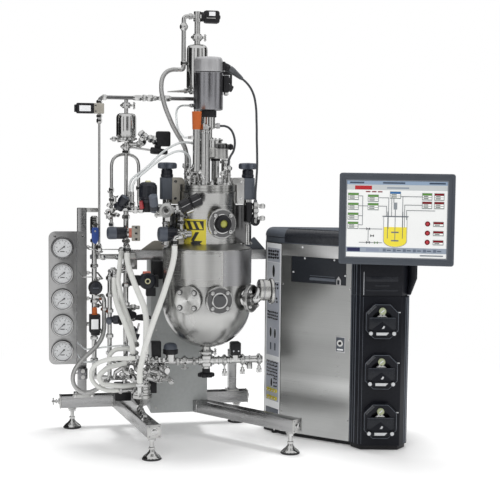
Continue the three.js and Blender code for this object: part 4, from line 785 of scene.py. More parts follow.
# A smooth line through the inner points, straight out of each end fitting.
def smoothRoute(points, steps=5):
    inner = [Vector(point) for point in points[1:-1]]
    ends = [inner[0] * 2 - inner[1], *inner, inner[-1] * 2 - inner[-2]]
    route = [Vector(points[0])]
    for a, b, c, d in zip(ends, ends[1:], ends[2:], ends[3:]):
        ta, tb = 0, (b - a).length ** 0.5
        tc = tb + (c - b).length ** 0.5
        td = tc + (d - c).length ** 0.5
        for k in range(steps):
            t = tb + (tc - tb) * k / steps
            ab = a * (tb - t) / (tb - ta) + b * (t - ta) / (tb - ta)
            bc = b * (tc - t) / (tc - tb) + c * (t - tb) / (tc - tb)
            cd = c * (td - t) / (td - tc) + d * (t - tc) / (td - tc)
            abc = ab * (tc - t) / (tc - ta) + bc * (t - ta) / (tc - ta)
            bcd = bc * (td - t) / (td - tb) + cd * (t - tb) / (td - tb)
            route.append(abc * (tc - t) / (tc - tb) + bcd * (t - tb) / (tc - tb))
    return route + [inner[-1], Vector(points[-1])]


def makeCord(name, facts):
    route = smoothRoute(facts["points"])
    maker = Maker(name)
    maker.add(swept(route, facts["radius"], 18), cordLooks[facts["slot"]])
    piece = maker.done("frame", facts["stands"], facts["slot"], mapped=True)
    return piece


for cordName, cordFacts in cords.items():
    makeCord(cordName, cordFacts)
print("hoses and cables laid")

# ---- fittings that repeat on the skid ----


# A closed body through flat outlines of equal count, each at its own height.
def stacked(layers):
    count = len(layers[0][0])
    points = [Vector((x, y, z)) for outline, z in layers for x, y in outline]
    faces = [(one * count + k, one * count + (k + 1) % count, (one + 1) * count + (k + 1) % count,
              (one + 1) * count + k)
             for one in range(len(layers) - 1) for k in range(count)]
    faces += [tuple(reversed(range(count))), tuple((len(layers) - 1) * count + k for k in range(count))]
    return facingOut(points, faces)


# Axes at a point: Z along a direction, X as near as can be to a way out.
def frameAt(centre, axis, out):
    z = Vector(axis).normalized()
    x = Vector(out)
    x = (x - z * x.dot(z)).normalized()
    turn = Matrix((x, z.cross(x), z)).transposed().to_4x4()
    return Matrix.Translation(Vector(centre)) @ turn


# A sanitary joint: two ferrules in a hinged band, with its bolt and wing nut on one side.
def clamp(centre, axis, radius, out=None, width=12, hang=0):
    r, w = radius, width
    steps = [(0.62, 0.9), (0.66, 0.6), (0.8, 0.5), (0.84, 0.34), (0.97, 0.28), (1, 0.2)]
    profile = [(0, -0.9 * w), *((a * r, -b * w) for a, b in steps),
               *((a * r, b * w) for a, b in reversed(steps)),
               (0, 0.9 * w)]
    band = aimed(profile, centre, axis, 32)
    if out is None:
        return band
    bolt, reach = r + 3, 15 + hang
    parts = []
    for side in (-1, 1):
        near, far = sorted((side * 2, side * 7))
        parts.append(block((r - 3, near, -0.3 * w), (bolt + 3, far, 0.3 * w), 1))
    parts.append(bar((bolt, -9, 0), (bolt, reach, 0), 1.9, 10))
    parts.append(hexagon((bolt, -7, 0), (0, -1, 0), 3.6, 3))
    parts.append(bar((bolt, reach - 7, 0), (bolt, reach, 0), 3.8, 14, 3))
    for side in (-1, 1):
        wing = [(bolt + 2, side * 2), (bolt + 4, side * 7), (bolt + 1, side * 12), (bolt - 4, side * 11),
                (bolt - 2, side * 2)]
        parts.append(upright(wing, reach - 5.5, reach - 2.5, 0.8))
    return joined(band, moved(joined(*parts), frameAt(centre, axis, out)))


# A hexagon union: nut, two chamfers and a plain collar behind it.
def union(centre, axis, radius, length):
    r, half, slope = radius, length / 2, 0.14 * length
    profile = [(0, -half), (0.86 * r, -half), (r, -half + slope), (r, half - slope), (0.86 * r, half),
               (0, half)]
    return joined(aimed(profile, centre, axis, 6), collar(centre, axis, 0.72 * r, length * 1.5, 20))


def bead(centre, axis, radius, size=1.2):
    inner, outer = radius - 0.6, radius + 0.7 * size
    profile = [(inner, -size), (outer, -0.4 * size), (outer, 0.4 * size), (inner, size)]
    return aimed(profile, centre, axis, 40, True)


# A knob with lobes round its rim, crowned on top, its lower face at zero.
def lobedKnob(radius, lobes, height, depth=0.24):
    def rim(scale):
        spots = []
        for k in range(lobes * 12):
            angle = 2 * math.pi * k / (lobes * 12)
            reach = radius * scale * (1 - depth * (0.5 - 0.5 * math.cos(lobes * angle)) ** 1.5)
            spots.append((reach * math.cos(angle), reach * math.sin(angle)))
        return spots
    return stacked([(rim(0.72), 0), (rim(0.94), height * 0.08), (rim(1), height * 0.24),
                    (rim(1), height * 0.7),
                    (rim(0.94), height * 0.88), (rim(0.8), height * 0.97), (rim(0.5), height)])


# A round hand knob with shallow flutes and a crowned far end, its near face at zero.
def handKnob(radius, length, flutes=12):
    def rim(scale, cut=0.0):
        spots = []
        for k in range(flutes * 6):
            angle = 2 * math.pi * k / (flutes * 6)
            reach = radius * scale * (1 - cut * max(0, math.cos(flutes * angle)) ** 2)
            spots.append((reach * math.cos(angle), reach * math.sin(angle)))
        return spots
    return stacked([(rim(0.82), 0), (rim(0.9), 1.5), (rim(0.92), 5), (rim(1, 0.02), 7), (rim(1, 0.06), 10),
                    (rim(1, 0.06), length - 12), (rim(0.99, 0.02), length - 8), (rim(0.95), length - 4),
                    (rim(0.86), length - 1.5),
                    (rim(0.7), length - 0.2), (rim(0.3), length)])


# A black solenoid coil with a bare white label.
def addCoil(maker, low, high, label=(-0.36, 0.3, -0.3, 0.26), soft=2.2):
    low, high = Vector(low), Vector(high)
    maker.add(block(low, high, soft), blackNylon)
    middle = (low + high) / 2
    size = high - low
    if label:
        left, right, under, over = label
        maker.add(block((middle.x + size.x * left, low.y - 0.7, middle.z + size.z * under),
                        (middle.x + size.x * right, low.y + 0.4, middle.z + size.z * over), 0.2),
                        whitePaint)


def radial(angle):
    turn = math.radians(angle)
    return Vector((math.sin(turn), -math.cos(turn), 0))


def dish(radius, centre, low, steps):
    start = math.asin(low / radius)
    angles = [start + (math.pi / 2 - start) * i / steps for i in range(steps + 1)]
    return [(radius * math.sin(a), centre - radius * math.cos(a)) for a in angles]

# ---- console: cabinet, cap, connector strip ----

hatchPaint = moulded("hatchPaint", (0.01, 0.012, 0.016), (0.02, 0.023, 0.029), 700, 0.34, 0.5, 0.1, 0.2,
                     0.25)
capPaint = moulded("capPaint", (0.005, 0.006, 0.009), (0.014, 0.016, 0.022), 500, 0.2, 0.36, 0.06, 0.3, 0.4,
                   0.2)
stripPaint = moulded("stripPaint", (0.32, 0.34, 0.4), (0.42, 0.44, 0.5), 900, 0.4, 0.55, 0.1, 0.2)
whitePaint = moulded("whitePaint", (0.74, 0.75, 0.77), (0.86, 0.87, 0.88), 900, 0.35, 0.5, 0.08, 0.2)
yellowCap = moulded("yellowCap", (0.5, 0.47, 0.2), (0.78, 0.75, 0.5), 900, 0.3, 0.45, 0.08, 0.2)
silverPaint = moulded("silverPaint", (0.5, 0.52, 0.56), (0.62, 0.64, 0.68), 700, 0.35, 0.5, 0.08, 0.2)

cabinet = {
    "front": (-91.3, 49), "side": (-305.5, 186), "strip": (-356.5, 270), "left": -356.5, "right": 91,
    "back": 310,
    "behind": 140.3, "floor": 15, "top": 631, "hatch": (18, 218, 509, 592), "skin": 3, "foot": 16,
    "feet": [(-120, 100), (-320, 230), (-320, 280), (60, 280), (60, 170)],
}
capSizes = {"low": 631.3, "groove": 650, "high": 678, "round": 28}


# A frame of reference on an upright face: X along it, Y out of it, Z up.
def facePlace(start, end):
    a, b = Vector((*start, 0)), Vector((*end, 0))
    along = (b - a).normalized()
    out = Vector((-along.y, along.x, 0))
    turn = Matrix((along, out, Vector((0, 0, 1)))).transposed().to_4x4()
    return Matrix.Translation(a) @ turn, (b - a).length


panelFace, panelWidth = facePlace(cabinet["front"], cabinet["side"])
stripFace, stripWidth = facePlace(cabinet["side"], cabinet["strip"])
facingY = Matrix.Rotation(-math.pi / 2, 4, "X")  # turns Z to +Y


def cabinetOutline(inset=0):
    front = panelFace @ Vector((0, -inset, 0))
    side = panelFace @ Vector((panelWidth, -inset, 0))
    return [(front.x, front.y), (side.x, side.y), cabinet["strip"], (cabinet["left"], cabinet["back"]),
            (cabinet["right"], cabinet["back"]), (cabinet["right"], cabinet["behind"]),
            (cabinet["front"][0], cabinet["behind"])]


# Studs on an upright face, placed by their middle, standing out of it.
def studs(face, x, z, finish, **values):
    return moved(grown(studGrid, finish, **values), face @ Matrix.Translation((x, 0, z)) @ facingY)


def facePlate(face, x0, x1, z0, z1, y0, y1, edge=0.4):
    return moved(block((x0, y0, z0), (x1, y1, z1), edge), face)


def makeCabinet():
    c = cabinet
    s0, s1, z0, z1 = c["hatch"]
    maker = Maker("cabinetBody", consolePlace)
    maker.add(slab(cabinetOutline(c["skin"]), c["floor"], c["top"], 1.2), sheetSteel)
    lower = [(0.4, c["floor"] + 1), (panelWidth - 0.6, c["floor"] + 1), (panelWidth - 0.6, z1), (s1, z1),
             (s1, z0), (s0, z0),
             (s0, z1), (0.4, z1)]
    maker.add(moved(upright(lower, -c["skin"], 0), panelFace), sheetSteel)
    maker.add(facePlate(panelFace, 0.4, panelWidth - 0.6, z1 + 0.5, c["top"], -c["skin"], 0.2), brightBand)
    maker.add(facePlate(panelFace, s0 + 0.5, s1 - 0.5, z0 + 0.5, z1 - 0.5, -c["skin"] - 1, -1.6, 0.3),
              hatchPaint)
    maker.add(facePlate(panelFace, -0.6, 0.8, c["floor"] + 1, c["top"], -2, 0.5, 0.3), brightBand)
    for x, z in ((169, 587), (62, 587), (211, 541), (22, 540)):
        maker.add(moved(grown(boltCircle, whitePaint, count=3, circle=0.01, size=3.4, height=1.4, sides=14,
                              dome=2),
                        panelFace @ Matrix.Translation((x, -1.6, z)) @ facingY), whitePaint)
    # a small bracket shaped like a gable, with a dark slot
    gable = [(37, 509.5), (53, 509.5), (53, 526), (45, 537), (37, 526)]
    maker.add(moved(upright(gable, -1.7, 0.6, 0.3), panelFace), motorAlloy)
    maker.add(facePlate(panelFace, 41, 49, 511, 525, 0.5, 1.0, 0.2), hatchPaint)
    maker.add(moved(bar((150, -2, 523), (56, -2, 523), 5, 20, edge=2), panelFace), slateSheet)
    maker.add(facePlate(panelFace, 60, 150, 532, 534, -1.8, -1.1, 0.3), slateSheet)
    maker.add(moved(bar((177, 0, 622), (177, 1.6, 622), 3.2), panelFace), whitePaint)
    # the switch plate low on the panel
    maker.add(facePlate(panelFace, 17, 52, 296, 347, -0.5, 0.8), motorAlloy)
    maker.add(facePlate(panelFace, 20, 49, 300, 344, 0.7, 1.4), slateSheet)
    maker.add(moved(bar((34.5, 1, 326), (34.5, 4.2, 326), 11), panelFace), polishedSteel)
    maker.add(moved(bar((34.5, 4, 326), (34.5, 6.4, 326), 5), panelFace), blackNylon)
    maker.add(facePlate(panelFace, 24, 45, 303, 308, 1.3, 2), whitePaint)
    for x, z in ((4, 339), (4, 82), (4, 500), (panelWidth - 6, 82), (panelWidth - 6, 500)):
        maker.add(moved(bar((x, 0, z), (x, 1.8, z), 3), panelFace), polishedSteel)
    maker.add(slab(cabinetOutline(14), 1.5, c["floor"] + 1, 1), blackNylon)
    for u, v in c["feet"]:
        maker.add(bar((u, v, 0), (u, v, 7), c["foot"] - 4, 20, c["foot"] - 6), blackNylon)
        maker.add(bar((u, v, 6), (u, v, c["floor"] + 1), 6), polishedSteel)
    # louvres at the back, and the mains inlet
    for row in range(9):
        z = 430 + row * 14
        maker.add(shifted(block((-60, 0, z), (60, 2.2, z + 7), 0.9), (-60, c["back"], 0)), blackNylon)
    maker.add(block((-260, c["back"] - 1, 90), (-200, c["back"] + 3, 130), 1), blackNylon)
    addStrip(maker)
    return maker.done("frame", "cabinet", "stainless_brushed")


# The upright row of sockets on the console's left face.
plugYellow = moulded("plugYellow", (0.56, 0.46, 0.03), (0.76, 0.66, 0.08), 800, 0.3, 0.45, 0.1, 0.1)


def addStrip(maker):
    f = stripFace
    right = min(stripWidth - 6, 92)
    maker.add(facePlate(f, 3, right, 62, 628, -0.5, 0.8), whitePaint)
    areas = [(567, 612, stripPaint), (505, 565, silverPaint), (258, 503, stripPaint),
             (108, 240, stripPaint),
             (64, 84, slateSheet)]
    for low, high, finish in areas:
        maker.add(facePlate(f, 9, right - 7, low, high, 0.6, 1.3, 0.3), finish)
    middle = (9 + right - 7) / 2
    sockets = [(592, 5, 3, 52, 22, 4.2, 5), (489, 5, 2, 54, 14, 3.6, 4), (443, 4, 2, 48, 12, 3.4, 6),
               (391, 6, 3, 54, 20, 3.2, 7), (214, 7, 5, 56, 44, 3.0, 8), (170, 2, 3, 12, 24, 3, 9)]
    for z, columns, rows, across, along, size, seed in sockets:
        x = middle if columns > 2 else middle - 20
        maker.add(studs(f, x, z, blackNylon, columns=columns, rows=rows, across=float(across),
                        along=float(along),
                        size=float(size), height=4.0, sides=8, jitter=1.2, seed=seed), blackNylon)
        maker.add(studs(f, x + 1.5, z + 1.5, polishedSteel, columns=columns, rows=rows,
                        across=float(across),
                        along=float(along), size=size * 0.5, height=6.0, sides=6, jitter=1.2, seed=seed),
                        polishedSteel)
    ovals = [(middle - 2, 537, 7, 20), (middle + 12, 334, 6, 16), (middle - 14, 332, 6, 16),
             (middle + 4, 168, 5, 14)]
    turns = [i * math.pi / 10 for i in range(20)]
    for x, z, half, tall in ovals:
        shape = [(x + half * math.cos(a), z + tall * math.sin(a)) for a in turns]
        maker.add(moved(upright(shape, 1.2, 2.6, 0.5), f), blackNylon)
        ring = [(x + (half + 2.5) * math.cos(a), z + (tall + 2.5) * math.sin(a)) for a in turns]
        maker.add(moved(upright(ring, 1.0, 1.9, 0.3), f), silverPaint)
    for x in (middle - 14, middle + 12):
        maker.add(facePlate(f, x - 4, x + 4, 276, 300, 1.2, 2.2), slateSheet)
    for z in (143, 118):
        maker.add(studs(f, middle, z, plugYellow, columns=4, rows=2, across=48.0, along=0.01, size=7.0,
                        height=6.0,
                        sides=10), plugYellow)
        maker.add(studs(f, middle, z, whitePaint, columns=4, rows=2, across=48.0, along=0.01, size=1.7,
                        height=9.0,
                        sides=10), whitePaint)


# The cap: a pale sheet at the side and a dark glossy sheet wrapped over the front.
def makeCap():
    c = capSizes
    maker = Maker("cabinetCap", consolePlace)
    outline = cabinetOutline()
    centre = Vector((sum(u for u, v in outline) / len(outline), sum(v for u, v in outline) / len(outline)))
    inner = [(u + (centre.x - u) * 0.006, v + (centre.y - v) * 0.006) for u, v in outline]
    maker.add(slab(inner, c["low"], c["groove"] - 2.2, 0.8), slateSheet)
    maker.add(slab([(u + (centre.x - u) * 0.02, v + (centre.y - v) * 0.02) for u, v in outline],
                   c["groove"] - 3,
                   c["groove"] + 1), blackNylon)
    points, faces, _ = slab(outline, c["groove"], c["high"])
    work = bmesh.new()
    made = [work.verts.new(point) for point in points]
    for face in faces:
        work.faces.new([made[i] for i in face])
    work.normal_update()
    top = [e for e in work.edges if all(abs(v.co.z - c["high"]) < 0.01 for v in e.verts)]
    bmesh.ops.bevel(work, geom=top, offset=c["round"] - 1, segments=8, affect="EDGES", profile=0.5,
                    clamp_overlap=True)
    work.verts.index_update()
    maker.add(([v.co.copy() for v in work.verts],
               [tuple(v.index for v in face.verts) for face in work.faces], None),
              slateSheet)
    work.free()
    arc = [(0.5 - c["round"] * (1 - math.cos(a)), c["high"] + 0.5 - c["round"] * (1 - math.sin(a)))
           for a in (i * math.pi / 24 for i in range(0, 13))]
    sheet = [(0.5, c["low"] + 3), *arc, (-c["round"] - 8, c["high"] + 0.5), (-c["round"] - 8, c["low"] + 3)]
    turnIn = Matrix(((0, 0, 1, 0), (1, 0, 0, 0), (0, 1, 0, 0), (0, 0, 0, 1)))
    maker.add(moved(slab(sheet, 2, panelWidth - 10), panelFace @ turnIn), capPaint)
    return maker.done("frame", "cabinet_cap", "sheet_grey", smooth=40)


brightBand = steel("brightBand", (0.5, 0.5, 0.5), (0.7, 0.7, 0.7), (300, 300, 4), 0.3, 0.42, 0.1)
makeCabinet()
makeCap()
print("cabinet made")

# ---- console: tower and tube pumps ----

labelWhite = moulded("labelWhite", (0.42, 0.43, 0.44), (0.6, 0.61, 0.62), 1200, 0.4, 0.55, 0.06, 0.1)
latchGreen = moulded("latchGreen", (0.24, 0.27, 0.16), (0.4, 0.43, 0.28), 800, 0.25, 0.4, 0.1, 0.2)
smokeCover = moulded("smokeCover", (0.006, 0.007, 0.009), (0.018, 0.02, 0.026), 600, 0.2, 0.34, 0.06, 0.2,
                     0.22)
pumpAlloy = steel("pumpAlloy", (0.36, 0.36, 0.36), (0.6, 0.6, 0.6), (400, 400, 400), 0.2, 0.36, 0.1)

towerSizes = {
    "front": 62.5, "side": 91, "chamfer": 43, "back": 140, "floor": 15, "top": 676, "seam": 485,
    "post": (112, 28), "postRadius": 11, "postTop": 712, "knuckle": (488, 585),
    "feet": [(-50, 24), (50, 24), (-70, 120), (70, 120)],
}
pump = {
    "heights": (409, 252, 97), "half": 51, "tall": 54, "corner": 26, "front": -26, "pocket": 33,
    "pocketDepth": 22,
    "rotor": 21, "roller": 8, "rotorFront": -24, "rotorDepth": 14, "hinge": -36, "hingeV": -34,
    "barrel": 5.5,
    "barrelHalf": 30, "coverTop": 50, "coverHalf": 41, "coverDepth": 6, "latch": 11, "latchZ": 33,
}


def octagon(half, tall, corner, z=0):
    side = tall - corner
    return [(-half, z - side), (-half + corner, z - tall), (half - corner, z - tall), (half, z - side),
            (half, z + side), (half - corner, z + tall), (-half + corner, z + tall), (-half, z + side)]


def makePumpHead(maker, z):
    p = pump
    outline = octagon(p["half"], p["tall"], p["corner"], z)
    # an octagonal ring round the pocket: front face, pocket wall and floor
    ringCount = 48
    outer = []
    for k in range(ringCount):
        angle = 2 * math.pi * k / ringCount
        ray = Vector((math.cos(angle), math.sin(angle)))
        reach = 1e9
        for a, b in zip(outline, outline[1:] + outline[:1]):
            edge = Vector(b) - Vector(a)
            normal = Vector((edge.y, -edge.x)).normalized()
            facing = normal.dot(ray)
            if facing > 1e-6:
                reach = min(reach, normal.dot(Vector(a) - Vector((0, z))) / facing)
        outer.append((ray.x * reach, z + ray.y * reach))
    inner = [(p["pocket"] * math.cos(2 * math.pi * k / ringCount),
              z + p["pocket"] * math.sin(2 * math.pi * k / ringCount))
             for k in range(ringCount)]
    floorV = p["front"] + p["pocketDepth"]
    layers = [(outer, 0.8), (outer, p["front"] + 3),
              ([(x * 0.97, z + (h - z) * 0.97) for x, h in outer], p["front"]),
              ([(x * 1.03, z + (h - z) * 1.03) for x, h in inner], p["front"]), (inner, p["front"] + 1.2),
              (inner, floorV)]
    points, faces = [], []
    for spots, v in layers:
        points += [Vector((x, v, h)) for x, h in spots]
    for one in range(len(layers) - 1):
        for k in range(ringCount):
            n = (k + 1) % ringCount
            a, b = one * ringCount, (one + 1) * ringCount
            faces.append((a + k, a + n, b + n, b + k))
    faces.append(tuple(reversed(range(ringCount))))
    faces.append(tuple(range(5 * ringCount, 6 * ringCount)))
    maker.add(facingOut(points, faces), towerPaint)
    maker.add(bar((0, floorV + 1, z), (0, p["rotorFront"] + 2, z), 5), pumpAlloy)
    # ribbed upper left corner, a paler outline round the front edge that is a painted highlight, a tick at
    # the right
    for k in range(5):
        a = Vector((-p["half"] + 1.5 + k * 1.6, z + p["tall"] - p["corner"] - 1 - k * 1.2))
        b = Vector((-p["half"] + p["corner"] + k * 1.6, z + p["tall"] - 2.5 - k * 1.2))
        maker.add(bar((a.x, p["front"] - 0.4, a.y), (b.x, p["front"] - 0.4, b.y), 0.55, 8, edge=0.1),
                  reliefRubber)
    rim = octagon(p["half"] - 1.6, p["tall"] - 1.6, p["corner"], z)
    for (ax, az), (bx, bz) in zip(rim, rim[1:] + rim[:1]):
        maker.add(bar((ax, p["front"] - 0.2, az), (bx, p["front"] - 0.2, bz), 0.7, 8, edge=0.1), slateSheet)
    maker.add(block((47, p["front"] + 2, z + 27), (56, p["front"] + 5, z + 30), 0.6), labelWhite)
    for at in (-1, 1):
        near, far = sorted((at * (p["barrelHalf"] + 0.4), at * (p["barrelHalf"] + 11)))
        level = z + p["hinge"]
        maker.add(bar((near, p["hingeV"], level), (far, p["hingeV"], level), p["barrel"]), towerPaint)
        maker.add(block((near, p["hingeV"], level - p["barrel"]),
                        (far, p["front"] + 1, level + p["barrel"]), 0.8), towerPaint)
        maker.add(bar((at * 35.5, p["hingeV"] - 4, level + 1), (at * 35.5, p["hingeV"] - 7.2, level + 1),
                      6.2, 20, 5.4), labelWhite)
        maker.add(bar((at * 35.5, p["hingeV"] - 7, level + 1), (at * 35.5, p["hingeV"] - 7.6, level + 1),
                      2.6), silverPaint)
    # latch: a drop-shaped pale knob with a slot
    drop = [(p["latch"] * math.cos(a), z + p["latchZ"] + p["latch"] * math.sin(a))
            for a in (2 * math.pi * k / 32 for k in range(32))]
    drop = [(x * (1 - 0.04 * max(0, (h - z - p["latchZ"]) / p["latch"])), h) for x, h in drop]
    maker.add(upright(drop, p["front"] - 8, p["front"] + 0.5, 1.4), latchGreen)
    slot = Matrix.Translation((0, 0, z + p["latchZ"])) @ Matrix.Rotation(math.radians(-40), 4, "Y")
    maker.add(moved(block((-6.5, p["front"] - 9, -1.6), (6.5, p["front"] - 7.5, 1.6), 0.5), slot),
              silverPaint)


def makeTower():
    t = towerSizes
    maker = Maker("pumpTower", consolePlace)
    outline = [(-t["front"], 0), (t["front"], 0), (t["side"], t["chamfer"]), (t["side"], t["back"]),
               (-t["side"], t["back"]), (-t["side"], t["chamfer"])]
    maker.add(slab(outline, t["floor"], t["seam"] - 0.8, 1.6), towerPaint)
    maker.add(slab(outline, t["seam"] + 0.8, t["top"], 1.6), towerPaint)
    inner = [(u * 0.97, v * 0.96 + 3) for u, v in outline]
    maker.add(slab(inner, t["seam"] - 2, t["seam"] + 2), blackNylon)
    leftFace = facePlace((-t["front"], 0), (-t["side"], t["chamfer"]))[0]
    rightFace = facePlace((t["side"], t["chamfer"]), (t["front"], 0))[0]
    for x, wide in ((6, 1.6), (24, 3.4), (36, 2.2), (46, 3.0)):
        maker.add(facePlate(leftFace, x, x + wide, t["floor"] + 4, t["top"] - 6, -0.6, 0.9, 0.3),
                  slateSheet)
    for x, wide in ((6, 9), (22, 3)):
        maker.add(facePlate(rightFace, x, x + wide, t["floor"] + 4, t["seam"] - 6, -0.6, 0.9, 0.3),
                  slateSheet)
    # a seam line and two bare nameplates, with nothing on them
    maker.add(block((-t["front"] + 5.5, -0.9, t["seam"] + 3), (-t["front"] + 7, 0.4, t["top"] - 116), 0.3),
              silverPaint)
    maker.add(block((-t["front"] + 5, -0.9, 20), (-t["front"] + 6.2, 0.4, t["seam"] - 3), 0.3), slateSheet)
    maker.add(block((-49, -0.8, 530), (49, 0.4, 546), 0.3), namePlate)
    maker.add(block((-49, -0.8, 500), (49, 0.4, 506), 0.3), namePlate)
    maker.add(block((-22, -0.8, 515), (22, 0.4, 521), 0.3), namePlate)
    for z in pump["heights"]:
        makePumpHead(maker, z)
    low, high = t["knuckle"]
    u, v = t["post"]
    knuckle = [(80, 40), (87, 26), (95, 19), (103, 17), (109, 21), (112, 29), (112, 40), (108, 50),
               (102, 56), (80, 60)]
    narrow = [(80 + (x - 80) * 0.42, y) for x, y in knuckle]
    maker.add(stacked([(narrow, low), (knuckle, low + 50), (knuckle, high - 3),
                       ([(x - 2, y) for x, y in knuckle], high)]), towerPaint)
    maker.add(bar((u, v, high - 1), (u, v, t["postTop"]), t["postRadius"], 28), towerPaint)
    maker.add(block((82, 33, low - 5), (92, 45, low - 1), 1), silverPaint)
    maker.add(slab([(u * 0.93, v * 0.92 + 6) for u, v in outline], 1.5, t["floor"] + 1, 1), blackNylon)
    for x, y in t["feet"]:
        maker.add(bar((x, y, 0), (x, y, 7), 12, 20, 10), blackNylon)
        maker.add(bar((x, y, 6), (x, y, t["floor"] + 1), 6), polishedSteel)
    return maker.done("frame", "pump_tower", "console_black")


def makeRotor(number, z):
    p = pump
    maker = Maker(f"pumpRotor{number}", consolePlace @ Matrix.Translation((0, p["rotorFront"], z)))
    for v in (0, p["rotorDepth"] - 3):
        plateRing = turned([(5.8, 0), (p["rotor"] - 0.6, 0), (p["rotor"], 0.6), (p["rotor"], 2.4),
                            (p["rotor"] - 0.6, 3),
                            (5.8, 3)], 40, closed=True)
        maker.add(moved(plateRing, Matrix.Translation((0, v, 0)) @ facingY), pumpAlloy)
    hub = turned([(5.8, 0), (9, 0), (9, p["rotorDepth"]), (5.8, p["rotorDepth"])], 28, closed=True)
    maker.add(moved(hub, facingY), pumpAlloy)
    for x, h in ringSpots(4, p["rotor"] - 0.2):
        maker.add(bar((x, 0.6, h), (x, p["rotorDepth"] - 0.6, h), p["roller"], 20), pumpAlloy)
        maker.add(bar((x, -0.4, h), (x, 0.8, h), 2.6, 12), blackNylon)
    return maker.done(f"pump_rotor_{number}", f"pump_rotor_{number}", "rotor_steel")


# The hinged cover: a smoky plate with sloped shoulders, its hinge barrel and a bare label.
def makeCover(number, z):
    p = pump
    maker = Maker(f"pumpCover{number}", consolePlace @ Matrix.Translation((0, p["hingeV"], z + p["hinge"])))
    back = p["front"] - 0.3 - p["hingeV"]
    front = back - p["coverDepth"]
    half, top = p["coverHalf"], p["coverTop"]
    sheet = [(-half, 15), (-30, 7), (30, 7), (half, 15), (half, top), (-half, top)]
    maker.add(upright(sheet, front + 1, back, 1), smokeCover)
    ridge = [(-half + 4, 8.5), (0, 36), (half - 4, 8.5)]
    maker.add(upright(ridge, front, front + 2, 0.6), towerPaint)
    # a paler line under the cover's top edge: painted highlight
    maker.add(block((-half + 1, front + 0.4, top - 2.4), (half - 1, front + 1.1, top - 1.6), 0.2),
              slateSheet)
    maker.add(block((-p["barrelHalf"] + 1, front + 0.6, 0.2), (p["barrelHalf"] - 1, back, 8), 0.6),
              towerPaint)
    maker.add(bar((-p["barrelHalf"], 0, 0), (p["barrelHalf"], 0, 0), p["barrel"], 24), towerPaint)
    label = [(-19, -4.2), (12, -4.2), (20, 4.2), (-19, 4.2)]
    maker.add(upright(label, -p["barrel"] - 1.4, -p["barrel"] + 3, 0.4), labelWhite)
    maker.add(upright([(-2, 15), (5, 15), (8, 22), (4, 24)], front - 0.5, front + 0.2, 0.1), labelWhite)
    return maker.done(f"pump_cover_{number}", f"pump_cover_{number}", "black_plastic")


namePlate = moulded("namePlate", (0.008, 0.009, 0.012), (0.016, 0.018, 0.024), 500, 0.2, 0.3, 0.05, 0.2,
                    0.25)
makeTower()
for pumpNumber, pumpHeight in enumerate(pump["heights"], 1):
    makeRotor(pumpNumber, pumpHeight)
    makeCover(pumpNumber, pumpHeight)
print("tower and pumps made")

# ---- console: screen and its arm ----


def makeScreenInk():
    made, nodes, links, shader = newFinish("screenInk")
    ink = put(nodes, "Attribute", attribute_name="ink")
    grain = place(nodes, surfaceGrain, Scale=2600, Low=0.1, High=0.16, Depth=0.02)
    shade = put(nodes, "MapRange", {"To Min": 0.56, "To Max": 0.64})
    mix = put(nodes, "Mix", data_type="RGBA", blend_type="MULTIPLY")
    fill(mix, {"Factor": 1})
    wire(links, (grain, "Tone", shade, "Value"), (ink, "Color", mix, 6), (shade, "Result", mix, 7),
         (mix, 2, shader, "Base Color"), (ink, "Color", shader, "Emission Color"),
         (grain, "Roughness", shader, "Roughness"))
    fill(shader, {"Emission Strength": 0.36, "Specular IOR Level": 0.3})
    return made


screenInk = makeScreenInk()
bezelEdge = moulded("bezelEdge", (0.11, 0.12, 0.14), (0.17, 0.185, 0.21), 900, 0.3, 0.42, 0.06, 0.2, 0.4)
screen = {"width": 346, "height": 276, "depth": 42, "rim": 24, "bezel": 23, "lip": 2, "stand": 16,
          "tilt": (40, -24, 727)}
arm = {"barrel": 8, "barrelHalf": 22, "pin": 4, "earOut": 31, "hub": 16, "width": 24, "ear": 9,
       "earBore": 4.7}


def hexColour(code):
    values = [int(code[i:i + 2], 16) / 255 for i in (0, 2, 4)]
    return tuple((v / 12.92) if v <= 0.04045 else ((v + 0.055) / 1.055) ** 2.4 for v in values)


def rectOutline(halfWidth, halfHeight, cornerSize, steps=5):
    spots = []
    for sx, sz, start in ((1, -1, -90), (1, 1, 0), (-1, 1, 90), (-1, -1, 180)):
        for k in range(steps + 1):
            a = math.radians(start + 90 * k / steps)
            spots.append((sx * (halfWidth - cornerSize) + cornerSize * math.cos(a),
                          sz * (halfHeight - cornerSize) + cornerSize * math.sin(a)))
    return spots


